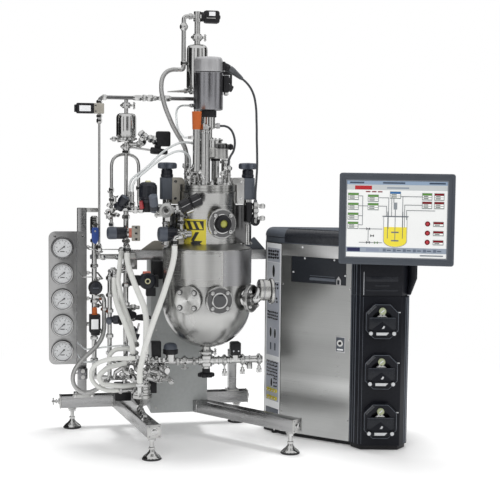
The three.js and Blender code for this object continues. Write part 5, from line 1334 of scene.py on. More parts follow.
def makeScreen():
    s = screen
    turn = Matrix.Rotation(math.radians(console["tiltTurn"]), 4, "Z")
    maker = Maker("monitorHousing", consolePlace @ Matrix.Translation(s["tilt"]) @ turn)
    back, front = -s["stand"], -s["stand"] - s["depth"]
    w, h = s["width"] / 2, s["height"] / 2
    iw, ih = w - s["bezel"], h - s["bezel"]
    # the frame: an outer band, a slope and an inner lip down to the glass
    rings = [(w, h, 8, front + s["rim"]), (w, h, 8, front + 1.6), (w - 1.6, h - 1.6, 7, front),
             (w - 8, h - 8, 5, front),
             (w - 9.2, h - 9.2, 4, front + 1.0), (iw + 3, ih + 3, 3, front + 0.6),
             (iw, ih, 1.5, front + s["lip"])]
    points, faces = [], []
    count = 0
    for a, b, corner, v in rings:
        spots = rectOutline(a, b, corner)
        count = len(spots)
        points += [Vector((x, v, z)) for x, z in spots]
    for one in range(len(rings) - 1):
        for k in range(count):
            n = (k + 1) % count
            faces.append((one * count + k, one * count + n, (one + 1) * count + n, (one + 1) * count + k))
    faces.append(tuple(reversed(range(count))))
    faces.append(tuple((len(rings) - 1) * count + k for k in range(count)))
    maker.add(facingOut(points, faces), screenPaint)
    maker.add(upright(rectOutline(w - 14, h - 14, 16), front + s["rim"] - 1, back, 3), screenPaint)
    for k in range(12):
        z = -60 + k * 9
        maker.add(block((-90, back - 0.5, z), (90, back + 0.8, z + 4), 0.4), blackNylon)
    for x in (-120, 120):
        for z in (-80, 80):
            maker.add(bar((x, back - 1, z), (x, back + 1.2, z), 4, 14), blackNylon)
    for at in (-1, 1):
        near, far = sorted((at * (arm["barrelHalf"] + 0.3), at * arm["earOut"]))
        eye = turned([(arm["earBore"], 0), (arm["ear"], 0), (arm["ear"], far - near),
                      (arm["earBore"], far - near)], 28, closed=True)
        maker.add(moved(eye, pointing((near, 0, 0), (1, 0, 0))), blackNylon)
        maker.add(block((near, back - 1, -arm["ear"]), (far, -arm["earBore"] - 0.6, arm["ear"]), 0.8),
                  blackNylon)
    for at in (-1, 1):
        near, far = sorted((at * (iw + 0.6), at * (iw + 3.2)))
        maker.add(block((near, front + 0.2, -ih - 3), (far, front + 2, ih + 3), 0.6), bezelEdge)
        near, far = sorted((at * (ih + 0.6), at * (ih + 3.2)))
        maker.add(block((-iw - 3, front + 0.2, near), (iw + 3, front + 2, far), 0.6), bezelEdge)
    addDisplay(maker, iw, ih, front + s["lip"])
    return maker.done("monitor", "monitor", "screen_housing", inked=True)


# The process picture on the glass: bars, boxes, a tank with its liquid. It carries no words.
def addDisplay(maker, iw, ih, level):
    def spot(x, y):
        return (-iw + 2 * iw * x, ih - 2 * ih * y)

    layer = [0]

    def patch(x0, y0, x1, y1, colour, lift=None):
        layer[0] += 1
        v = level - (lift or 0.15 + 0.012 * layer[0])
        (a, top), (b, low) = spot(x0, y0), spot(x1, y1)
        maker.add(([Vector((a, v, low)), Vector((b, v, low)), Vector((b, v, top)), Vector((a, v, top))],
                   [(0, 1, 2, 3)], None), screenInk, ink=hexColour(colour))

    def shapePatch(spots, colour):
        layer[0] += 1
        v = level - (0.15 + 0.012 * layer[0])
        placed = [spot(x, y) for x, y in spots]
        face = tuple(range(len(placed)))
        points = [Vector((x, v, z)) for x, z in placed]
        if volumeOf([p + Vector((0, -500, 0)) for p in points], [face]) < 0:
            face = tuple(reversed(face))
        maker.add((points, [face], None), screenInk, ink=hexColour(colour))

    def disc(x, y, radius, colour):
        ratio = iw / ih
        shapePatch([(x + radius * math.cos(2 * math.pi * k / 20),
                     y + radius * ratio * math.sin(2 * math.pi * k / 20))
                    for k in range(20)], colour)

    patch(0, 0, 1, 1, "f4f5f4", 0.1)
    patch(0, 0, 1, 0.05, "93a6bd")
    patch(0, 0.05, 1, 0.12, "c6cacb")
    patch(0.08, 0.064, 0.25, 0.116, "b5262c")
    patch(0.0, 0.87, 1, 0.94, "9aa4b2")
    patch(0.01, 0.88, 0.14, 0.93, "23264f")
    patch(0.2, 0.885, 0.33, 0.925, "8d95a8")
    for x0, x1, y0, y1 in ((0.36, 0.5, 0.015, 0.035), (0.4, 0.62, 0.08, 0.1)):
        patch(x0, y0, x1, y1, "8f98a3")

    def meterBox(x, y, wide, head, rows=2, tall=0.095):
        patch(x, y, x + wide, y + tall, "8a9290")
        patch(x + 0.004, y + 0.004, x + wide - 0.004, y + 0.03, head)
        for k in range(rows):
            top = y + 0.034 + k * 0.028
            patch(x + 0.006, top, x + wide - 0.006, top + 0.02, "fdfdfb")
            patch(x + 0.016, top + 0.004, x + wide * 0.62, top + 0.015, "4c5a52")
    for y in (0.16, 0.29, 0.42, 0.54):
        meterBox(0.01, y, 0.11, "5f8f45")
    for y in (0.18, 0.29):
        meterBox(0.21, y, 0.11, "5f8f45")
    for x in (0.19, 0.25, 0.31):
        patch(x, 0.135, x + 0.045, 0.15, "7e1f26")
    meterBox(0.43, 0.135, 0.11, "3a6ea5")
    for y, head in ((0.15, "5f8f45"), (0.26, "7e1f26")):
        meterBox(0.75, y, 0.1, head)
        meterBox(0.87, y, 0.1, "7e1f26")
    for y in (0.55, 0.67, 0.79):
        disc(0.81, y, 0.026, "6e1d24")
        disc(0.81, y, 0.015, "b9444a")
        meterBox(0.865, y - 0.03, 0.105, "7e1f26", 1, 0.066)
    # tank, shaft and liquid
    lineColour = "5c6268"
    patch(0.468, 0.22, 0.474, 0.28, lineColour)
    patch(0.47, 0.28, 0.505, 0.37, "8d9398")
    patch(0.484, 0.37, 0.491, 0.79, "70757c")
    patch(0.36, 0.455, 0.62, 0.468, "6f747b")
    wall = [(0.372, 0.468), (0.372, 0.78)] + [(0.49 - 0.118 * math.cos(a), 0.78 + 0.085 * math.sin(a))
            for a in (k * math.pi / 14 for k in range(15))] + [(0.608, 0.468)]
    shapePatch(wall, "6f747b")
    shapePatch([(x + (0.49 - x) * 0.035, y + (0.6 - y) * 0.02) for x, y in wall], "f7f8f6")
    liquid = [(0.377, 0.6), (0.377, 0.78)] + [(0.49 - 0.113 * math.cos(a), 0.78 + 0.078 * math.sin(a))
              for a in (k * math.pi / 14 for k in range(15))] + [(0.603, 0.6)]
    shapePatch(liquid, "f1e04a")
    patch(0.484, 0.37, 0.491, 0.79, "70757c")
    for y in (0.66, 0.77):
        patch(0.45, y, 0.525, y + 0.018, "70757c")
    for x in (0.41, 0.56):
        patch(x, 0.4, x + 0.006, 0.75, lineColour)
    for x, y, colour in ((0.22, 0.63, "1c1f22"), (0.22, 0.81, "1c1f22"), (0.30, 0.81, "5f8f45"),
                         (0.26, 0.72, "1c1f22")):
        shapePatch([(x - 0.018, y - 0.018), (x, y), (x - 0.018, y + 0.018)], colour)
        shapePatch([(x + 0.018, y - 0.018), (x, y), (x + 0.018, y + 0.018)], colour)
    # process lines, each from one box to another
    for x, y, toX, toY in ((0.12, 0.2, 0.16, 0.2), (0.16, 0.2, 0.16, 0.58), (0.12, 0.33, 0.16, 0.33),
                           (0.12, 0.46, 0.16, 0.46),
                           (0.12, 0.58, 0.16, 0.58), (0.16, 0.33, 0.21, 0.33), (0.32, 0.22, 0.42, 0.22),
                           (0.32, 0.33, 0.4, 0.33),
                           (0.42, 0.22, 0.42, 0.62), (0.4, 0.33, 0.4, 0.46), (0.45, 0.2, 0.45, 0.46),
                           (0.13, 0.63, 0.36, 0.63),
                           (0.22, 0.63, 0.22, 0.81), (0.13, 0.81, 0.36, 0.81), (0.54, 0.2, 0.75, 0.2),
                           (0.56, 0.2, 0.56, 0.6),
                           (0.58, 0.31, 0.75, 0.31), (0.58, 0.31, 0.58, 0.6), (0.6, 0.38, 0.88, 0.38),
                           (0.6, 0.38, 0.6, 0.5)):
        patch(min(x, toX) - 0.0025, min(y, toY) - 0.0035, max(x, toX) + 0.0025, max(y, toY) + 0.0035,
              lineColour)
    for k in range(6):
        patch(0.37 + k * 0.1, 0.888, 0.4 + k * 0.1, 0.922, "6c7686")
        patch(0.41 + k * 0.1, 0.9, 0.45 + k * 0.1, 0.912, "515b69")
    for x, wide in ((0.03, 0.14), (0.36, 0.22), (0.82, 0.16)):
        patch(x, 0.016, x + wide, 0.034, "3e4a5c")
    patch(0.74, 0.96, 0.97, 0.975, "7c828a")


def makeArm():
    t, s, a = towerSizes, screen, arm
    u, v = t["post"]
    maker = Maker("monitorArm", consolePlace @ Matrix.Translation((u, v, 0)))
    end = Vector((s["tilt"][0] - u, s["tilt"][1] - v, s["tilt"][2]))
    axis = Matrix.Rotation(math.radians(console["tiltTurn"]), 4, "Z") @ Vector((1, 0, 0))
    maker.add(bar((0, 0, t["postTop"] + 0.3), (0, 0, end.z + 12), a["hub"], 32, edge=1.5), blackNylon)
    maker.add(bar((0, 0, end.z + 11.5), (0, 0, end.z + 12.8), 7, 6, edge=0.4), polishedSteel)
    neck = Vector((end.x, end.y))
    across = Vector((-neck.y, neck.x)).normalized() * a["width"] / 2
    outline = [(across.x, across.y), (-across.x, -across.y),
               (neck.x - across.x * 0.7, neck.y - across.y * 0.7),
               (neck.x + across.x * 0.7, neck.y + across.y * 0.7)]
    maker.add(slab(outline, end.z - 7, end.z + 7, 2), blackNylon)
    maker.add(bar(end - axis * a["barrelHalf"], end + axis * a["barrelHalf"], a["barrel"], 28), blackNylon)
    maker.add(bar(end - axis * a["earOut"], end + axis * a["earOut"], a["pin"], 18), polishedSteel)
    return maker.done("monitor_arm", "monitor_arm", "console_black")


makeScreen()
makeArm()
print("screen made")

# ---- vessel ----

vesselSteel = steel("vesselSteel", (0.4, 0.4, 0.39), (0.56, 0.56, 0.545), (3, 3, 420), 0.2, 0.3, 0.015)
bowlSteel = steel("bowlSteel", (0.34, 0.34, 0.335), (0.54, 0.54, 0.53), (26, 26, 5), 0.18, 0.3, 0.012)
signYellow = moulded("signYellow", (0.62, 0.5, 0.02), (0.8, 0.68, 0.06), 900, 0.3, 0.45, 0.08, 0.1)
signBlack = moulded("signBlack", (0.012, 0.012, 0.012), (0.025, 0.025, 0.025), 900, 0.3, 0.45, 0.08, 0)
lensYellow = moulded("lensYellow", (0.2, 0.21, 0.03), (0.46, 0.46, 0.09), 300, 0.15, 0.25, 0.1, 0, coat=0.6)
portSteel = steel("portSteel", (0.06, 0.06, 0.062), (0.2, 0.2, 0.2), (40, 40, 40), 0.12, 0.24, 0.04)
darkGlass = moulded("darkGlass", (0.014, 0.015, 0.017), (0.04, 0.042, 0.046), 200, 0.03, 0.08, 0.02, 0,
                    coat=0.8)
plateSteel = steel("plateSteel", (0.42, 0.42, 0.41), (0.6, 0.6, 0.59), (5, 5, 500), 0.28, 0.4, 0.08)

vessel = {"neck": 88, "top": 801, "dish": 430, "outlet": 14, "outletEnd": 300, "jacket": 138,
          "jacketTop": 624,
          "shoulder": 16, "domeCentre": 448, "band": (516, 622), "seam": 12, "plate": (-44, 9)}
nozzle = {"outer": 24, "flange": 43, "depth": 12, "nut": 7}
ports = {"light": (12, 706, 112, 46), "blank": (-31, 476, 152, 43), "glass": (4, 476, 152, 43),
         "side": (50, 474, 152, 43)}
headTop = 821.6


# Steel faced on a lathe, with a painted sheen: the face is lighter and darker in wedges from the middle of
# the disc.
def facedSteel(name, centre):
    made, nodes, links, shader = newFinish(name)
    spot = put(nodes, "NewGeometry")
    away = put(nodes, "VectorMath", {1: centre}, operation="SUBTRACT")
    across = put(nodes, "VectorMath", operation="CROSS_PRODUCT")
    lines = place(nodes, brushLines, Across=(90, 90, 90), Low=0.2, High=0.3, Depth=0.03)
    mix = tones(nodes, (0.26, 0.26, 0.25), (0.74, 0.74, 0.73))
    # painted sheen: the tone rises and falls in wedges round the middle, by angle
    split = put(nodes, "SeparateXYZ")
    turn = put(nodes, "Math", operation="ARCTAN2")
    paintedSheenWedge = put(nodes, "Math", {1: 2, 2: 0.9}, operation="MULTIPLY_ADD")
    wave = put(nodes, "Math", operation="SINE")
    shade = put(nodes, "Math", {1: 0.4}, operation="MULTIPLY_ADD")
    wire(links, (spot, "Position", away, 0), (away, 0, across, 0), (spot, "Normal", across, 1),
         (across, 0, shader, "Tangent"), (away, 0, split, 0), (split, "Z", turn, 0), (split, "X", turn, 1),
         (turn, 0, paintedSheenWedge, 0), (paintedSheenWedge, 0, wave, 0), (wave, 0, shade, 0), (lines, "Tone", shade, 2),
         (shade, 0, mix, "Factor"))
    dress(links, lines, mix, shader)
    fill(shader, {"Metallic": 1, "Anisotropic": 0.7})
    return made


# Part of a ring about the vessel's axis, between two angles from the front.
def ringPart(inner, outer, low, high, start, end, steps=40):
    rows = []
    for k in range(steps + 1):
        way = radial(start + (end - start) * k / steps)
        rows.append([way * outer + Vector((0, 0, low)), way * outer + Vector((0, 0, high)),
                     way * inner + Vector((0, 0, high)), way * inner + Vector((0, 0, low))])
    points = [point for row in rows for point in row]
    faces = [(4 * i + k, 4 * i + (k + 1) % 4, 4 * i + 4 + (k + 1) % 4,
              4 * i + 4 + k) for i in range(steps) for k in range(4)]
    faces += [(3, 2, 1, 0), tuple(4 * steps + k for k in range(4))]
    return facingOut(points, faces)


def makeShell():
    v = vessel
    maker = Maker("vesselShell")
    profile = [(0, v["outletEnd"]), (v["outlet"], v["outletEnd"]),
               *dish(v["neck"], v["dish"], v["outlet"], 14),
               (v["neck"], v["top"] - 9), (v["neck"] + 0.6, v["top"] - 7), (v["neck"] + 0.6, v["top"] - 1),
               (v["neck"] - 1, v["top"]), (0, v["top"])]
    maker.add(turned(profile, 96), vesselSteel)
    for angle, z, reach, _ in ports.values():
        way = radial(angle)
        start = way * (v["neck"] - 4) + Vector((0, 0, z))
        end = way * reach + Vector((0, 0, z))
        maker.add(bar(start, end, nozzle["outer"], 40), polishedSteel)
        maker.add(collar(end - way * 4, way, nozzle["outer"] + 9, 7, 40), polishedSteel)
    maker.add(bead((0, 0, v["outletEnd"] + 14), (0, 0, 1), v["outlet"]), polishedSteel)
    # the yellow sign, bent round the neck: shapes only, no words
    face = v["neck"]
    maker.add(ringPart(face - 1, face + 0.5, 627, 717, -86, -12, 30), signYellow)
    maker.add(ringPart(face, face + 0.8, 684, 712, -82, -17, 30), signBlack)
    for start in (-80, -66, -50, -36):
        for k in range(6):
            lean = start + 10 - k * 1.2
            maker.add(ringPart(face, face + 1.0, 687 + k * 3.7, 690.74 + k * 3.7, lean, lean + 7, 3),
                      signYellow)
    maker.add(ringPart(face, face + 0.8, 631, 634, -54, -22, 10), signBlack)
    for k in range(14):
        low = 636 + k * 3
        start = -50 + 1.2 * k if k > 4 else -46 + 2.4 * abs(2 - k)
        maker.add(ringPart(face, face + 0.8, low, low + 3.02, start, min(-20, start + (22 if k < 5 else 8)),
                           4), signBlack)
    for k in range(3):
        maker.add(ringPart(face, face + 0.8, 644 + k * 12, 650 + k * 12, -84, -62, 6), signBlack)
    return maker.done("frame", "vessel_shell", "stainless_polished", smooth=30)


def makeJacket():
    v = vessel
    maker = Maker("vesselJacket")
    inner, throat = v["jacket"] - 3, v["neck"] + 0.5
    outside = dish(v["jacket"], v["domeCentre"], v["outlet"] + 0.5, 28)
    profile = [*outside, (v["jacket"], v["jacketTop"] - 3), (v["jacket"] - 2, v["jacketTop"] + 0.8),
               (throat + 5, v["jacketTop"] + v["shoulder"] - 1), (throat, v["jacketTop"] + v["shoulder"]),
               (throat, v["jacketTop"] + v["shoulder"] - 3), (inner, v["jacketTop"] - 1.5),
               *reversed(dish(inner, v["domeCentre"], v["outlet"] + 0.5, 28))]
    maker.add(turned(profile, 120, closed=True), bowlSteel)
    top = v["jacketTop"]
    skin = [(throat + 3, top + v["shoulder"] - 0.8), (throat + 5, top + v["shoulder"] - 0.2),
            (v["jacket"] - 2, top + 1.7),
            (v["jacket"] - 3, top + 0.2)]
    maker.add(turned(skin, 120, closed=True), plateSteel)
    low, high = v["band"]
    face = v["jacket"]
    maker.add(ringPart(face - 0.6, face + 0.9, low, high, v["seam"] - 360, v["seam"], 110), vesselSteel)
    # the lapped sheet right of the seam is a real part; its darker steel is painted shade for the vessel's
    # right side
    maker.add(ringPart(face + 0.5, face + 1.8, low, high + 1, v["seam"] - 1, v["seam"] + 62, 24), bandSteel)
    start, end = v["plate"]
    maker.add(ringPart(face + 0.5, face + 1.9, 536, 614, start, end, 24), plateSteel)
    for angle in (start + 3, end - 3):
        for z in (541, 609):
            way = radial(angle)
            at = way * (face + 1.6) + Vector((0, 0, z))
            maker.add(bar(at, at + way * 1.4, 2.2, 12), polishedSteel)
    for k in range(5):
        way = radial(v["seam"] + 1.5)
        at = way * (face + 1.4) + Vector((0, 0, low + 12 + k * 21))
        maker.add(bar(at, at + way * 1.2, 1.8, 10), polishedSteel)
    for angle, z, _, _ in ports.values():
        if z < v["jacketTop"]:
            way = radial(angle)
            maker.add(aimed([(nozzle["outer"], -3), (nozzle["outer"] + 4, 0), (nozzle["outer"], 7)],
                            way * (face - 4) + Vector((0, 0, z)), way, 40, closed=True), polishedSteel)
    return maker.done("frame", "vessel_jacket", "stainless_brushed", smooth=30)


# A bolted disc on a nozzle; returns the matrix of its outer face.
def addPort(maker, name, finish, dome=0.0):
    angle, z, reach, flange = ports[name]
    way = radial(angle)
    start = way * (reach + 0.3) + Vector((0, 0, z))
    spot = frameAt(start, way, (0, 0, 1))
    d = nozzle["depth"]
    profile = [(0, 0), (flange - 1, 0), (flange, 1), (flange, d - 2), (flange - 1.4, d - 0.3),
               (flange - 2.6, d), (0, d)]
    maker.add(moved(turned(profile, 72), spot), finish)
    # on the polished flanges, a dark ring on the face: painted reflection of dark surroundings
    if finish is bowlSteel:
        ring = [(20, d - 0.6), (flange - 4.6, d - 0.6), (flange - 4.6, d + 0.3), (20, d + 0.3)]
        maker.add(moved(turned(ring, 72, closed=True), spot), portSteel)
    maker.add(grown(boltCircle, polishedSteel, count=4, circle=flange * 0.77, start=math.pi / 4, size=7.0,
                    height=5.5,
                    sides=6, dome=dome), polishedSteel, spot @ Matrix.Translation((0, 0, d)))
    # dark washers under the nuts: painted shade round each nut
    maker.add(grown(boltCircle, portSteel, count=4, circle=flange * 0.77, start=math.pi / 4, size=9.4,
                    height=1.2,
                    sides=24, dome=0.0), portSteel, spot @ Matrix.Translation((0, 0, d)))
    return spot @ Matrix.Translation((0, 0, d))


def makePorts():
    maker = Maker("lightPort")
    face = addPort(maker, "light", bowlSteel, 4.0)
    ring = [(13.5, -0.5), (27, -0.5), (27, 1.5), (25.5, 3), (24, 3.5), (24, 14.5), (22.5, 16), (14.5, 16),
            (12.5, 14.5), (12, 9)]
    maker.add(moved(turned(ring, 48, closed=True), face), blackNylon)
    maker.add(moved(turned([(27, -0.5), (30, -0.5), (30, 0.8), (27.4, 1.4)], 48, closed=True), face),
              polishedSteel)
    maker.add(moved(turned([(0, 0), (12, 0), (12, 9), (8, 11), (0, 12)], 32), face), lensYellow)
    maker.done("frame", "light_port", "black_plastic")

    maker = Maker("blankFlange")
    angle, z, reach, _ = ports["blank"]
    centre = skidPlace @ (radial(angle) * (reach + nozzle["depth"]) + Vector((0, 0, z)))
    addPort(maker, "blank", facedSteel("facedSteel", centre), 4.0)
    maker.done("frame", "blank_flange", "stainless_polished")

    maker = Maker("sightGlass")
    face = addPort(maker, "glass", bowlSteel, 4.6)
    rim = [(20, -0.5), (25, -0.5), (25, 2.2), (23.6, 4), (21.4, 4), (20, 2.6)]
    maker.add(moved(turned(rim, 56, closed=True), face), polishedSteel)
    maker.add(moved(turned([(0, -2), (20.2, -2), (20.2, 1.2), (0, 1.8)], 48), face), darkGlass)
    maker.done("frame", "sight_glass", "stainless_polished")

    maker = Maker("sideNozzle")
    angle, z, reach, _ = ports["side"]
    addPort(maker, "side", bowlSteel, 4.0)
    way = radial(angle)
    level = Vector((0, 0, z))
    outer = reach + 0.3 + nozzle["depth"]
    far = Vector((way.x * outer + 54, way.y * outer + 4, z + 26))
    maker.add(pipe([way * (outer - 1) + level, way * (outer + 14) + level, far + Vector((-30, 0, 0))], 14,
                   20, 28), polishedSteel)
    can = [(0, 0), (30, 0), (33, 2), (33, 10), (31, 11), (31, 15), (33, 16), (33, 27), (31, 28), (31, 33),
           (0, 33)]
    maker.add(aimed(can, far + Vector((-36, 0, 0)), (1, 0, 0), 48), vesselSteel)
    end = [(0, 0), (38, 0), (40, 1.5), (40, 8), (38, 10.5), (30, 11), (0, 11)]
    maker.add(aimed(end, far + Vector((-1, 0, -4)), (1, 0, 0), 56), vesselSteel)
    maker.add(collar(far + Vector((-21, 0, 0)), (1, 0, 0), 33.4, 4, 48), bandSteel)
    maker.done("frame", "side_nozzle", "stainless_polished")


bandSteel = steel("bandSteel", (0.3, 0.3, 0.31), (0.5, 0.5, 0.51), (4, 4, 600), 0.28, 0.4, 0.08)
makeShell()
makeJacket()
makePorts()
print("vessel made")

# ---- head: plate, seal, drive, condenser ----

stubs = [((-62, 26), 64, 8), ((-60, -28), 56, 6), ((24, -62), 24, 8), ((60, -34), 60, 6),
         ((60, 26), 79, 12), ((-48, 36), 30, 7)]
drive = {"seal": 47, "sealBottom": 905, "sealTop": 962, "post": 8, "circle": 34, "column": 13, "neck": 22,
         "neckBottom": 992, "ring": 26, "ringBottom": 1030, "motor": 45.5, "motorBottom": 1051.3,
         "groove": 1169,
         "cap": 42, "top": 1215, "plug": (66, 0, 1182), "reliefEnd": (108, 0, 1150)}


def makeHeadPlate():
    maker = Maker("headPlate")
    low, high, radius = 801.3, 821.3, 86
    profile = [(0, low), (radius - 1, low), (radius, low + 1), (radius, low + 8.4), (radius - 1, low + 9),
               (radius, low + 9.6),
               (radius, high - 1.6), (radius - 1.6, high), (0, high)]
    maker.add(turned(profile, 96), vesselSteel)
    spots = [(x, y) for x, y in ringSpots(8, 77) if abs(x) < 70]
    for x, y in spots:
        maker.add(bar((x, y, high - 0.5), (x, y, high + 1.4), 9, 24), plateSteel)
        maker.add(hexagon((x, y, high + 1), (0, 0, 1), 6.4, 7), polishedSteel)
        maker.add(bar((x, y, high + 7), (x, y, high + 9), 3.4, 16, 2.6), polishedSteel)
    for (x, y), tall, size in stubs:
        top = high + tall
        maker.add(bar((x, y, high - 1), (x, y, top), size, 28), polishedSteel)
        maker.add(bead((x, y, high + 1), (0, 0, 1), size), polishedSteel)
        maker.add(union((x, y, top - 9), (0, 0, 1), size + 5, 10), polishedSteel)
        maker.add(collar((x, y, high + 8), (0, 0, 1), size + 4.4, 7, 28), polishedSteel)
        maker.add(collar((x, y, high + tall * 0.5), (0, 0, 1), size + 1.6, 4, 24), bowlSteel)
    # small valves and blanking caps between the tall fittings
    for x, y, tall, size, finish in ((-34, -58, 14, 6, polishedSteel), (-20, -68, 10, 5, blackNylon),
                                     (2, -70, 16, 5, polishedSteel),
                                     (44, -50, 18, 6, polishedSteel), (-72, -6, 18, 6, polishedSteel),
                                     (40, 52, 20, 7, polishedSteel),
                                     (-14, 62, 16, 6, polishedSteel), (74, -4, 22, 6, polishedSteel)):
        maker.add(bar((x, y, high - 1), (x, y, high + tall * 0.6), size, 24), polishedSteel)
        maker.add(bar((x, y, high + tall * 0.55), (x, y, high + tall), size * 0.8, 20, size * 0.6), finish)
        maker.add(hexagon((x, y, high + 2), (0, 0, 1), size + 3, 5), polishedSteel)
    maker.add(pipe([(-60, -28, high + 40), (-74, -34, high + 44), (-80, -40, high + 58)], 3.4, 8, 14),
              polishedSteel)
    # a nest of elbows and unions at the front left of the plate
    for x, y, z, way, size in ((-50, -56, 30, (1, 0, 0.4), 9), (-66, -48, 44, (0.3, 0, 1), 8),
                               (-36, -66, 42, (0, 1, 0.6), 8),
                               (-52, -62, 58, (1, 0.2, -0.5), 7), (-28, -72, 24, (1, 0, 0.8), 8),
                               (-70, -52, 22, (0.2, -1, 0.2), 8),
                               (-44, -60, 74, (0.2, 0, 1), 6), (34, -64, 36, (1, 0, 1), 7),
                               (46, -58, 52, (1, 0.2, -0.6), 6)):
        maker.add(union((x, y, high + z), way, size, 10), polishedSteel)
    for route in (((-50, -56, 2), (-50, -56, 30), (-66, -50, 44), (-52, -62, 60), (-44, -60, 80)),
                  ((-28, -70, 2), (-28, -72, 26), (-36, -66, 44), (-58, -54, 36), (-72, -52, 14)),
                  ((34, -64, 2), (34, -64, 36), (48, -58, 54), (60, -44, 40))):
        maker.add(pipe([(x, y, high + z) for x, y, z in route], 3.2, 6, 14), polishedSteel)
    maker.add(bar((-80, -40, high + 54), (-80, -40, high + 66), 6, 20, 5), polishedSteel)
    maker.done("frame", "head_plate", "stainless_polished")


def makeSeal():
    d = drive
    maker = Maker("sealHousing")
    low, top, r = d["sealBottom"], d["sealTop"], d["seal"]
    lower = [(0, low), (r - 2, low), (r, low + 2), (r, low + 29), (r - 1.4, low + 31), (r - 3, low + 32),
             (0, low + 32)]
    maker.add(turned(lower, 72), vesselSteel)
    upper = [(0, low + 31), (r - 3, low + 31), (r - 3, top - 5), (r, top - 4), (r, top - 1.4),
             (r - 1.4, top), (0, top)]
    maker.add(turned(upper, 72), polishedSteel)
    maker.add(turned([(r - 9, top - 0.5), (r - 3, top - 0.5), (r - 3, top + 0.3), (r - 9, top + 0.3)], 56,
                     closed=True), bandSteel)
    for x, y in ringSpots(4, d["circle"], math.pi / 4):
        maker.add(bar((x, y, headTop), (x, y, low + 1), d["post"], 28), polishedSteel)
        maker.add(collar((x, y, headTop + 5), (0, 0, 1), d["post"] + 3.4, 8, 28), polishedSteel)
        maker.add(collar((x, y, low - 6), (0, 0, 1), d["post"] + 2.6, 8, 28), blackNylon)
    maker.add(grown(boltCircle, polishedSteel, count=6, circle=38.0, size=4.2, height=4.0, sides=6,
                    dome=0.0), polishedSteel,
              Matrix.Translation((0, 0, top)))
    z = low + 34
    maker.add(bar((r - 5, 0, z), (r + 3, 0, z), 10.5, 28), polishedSteel)
    maker.add(bar((r + 2, 0, z), (r + 32, 0, z), 9, 28, 8), blackNylon)
    maker.add(aimed([(9, 0), (10, 1), (10, 5), (9, 6)], (r + 22, 0, z), (1, 0, 0), 28, closed=True),
              blackNylon)
    drum = Matrix.Translation((30, -14, 0))
    side = [(0, low - 3), (31, low - 3), (32, low - 2), (32, low + 5), (31, low + 6), (31, low + 24),
            (32, low + 25), (32, low + 28),
            (0, low + 28)]
    maker.add(moved(turned(side, 64), drum), plateSteel)
    top = [(0, low + 27.4), (30, low + 27.4), (30, low + 31), (31.6, low + 32), (31.6, low + 40),
           (30, low + 43), (0, low + 43)]
    maker.add(moved(turned(top, 64), drum), portSteel)
    maker.add(collar((30, -14, low + 44), (0, 0, 1), 27, 3, 48), plateSteel)
    maker.add(bar((-38, -16, 948), (-56, -24, 950), 4.4, 18), polishedSteel)
    maker.add(union((-45, -19, 948.7), (-18, -8, 2), 7, 7), polishedSteel)
    maker.done("frame", "seal_housing", "stainless_polished")


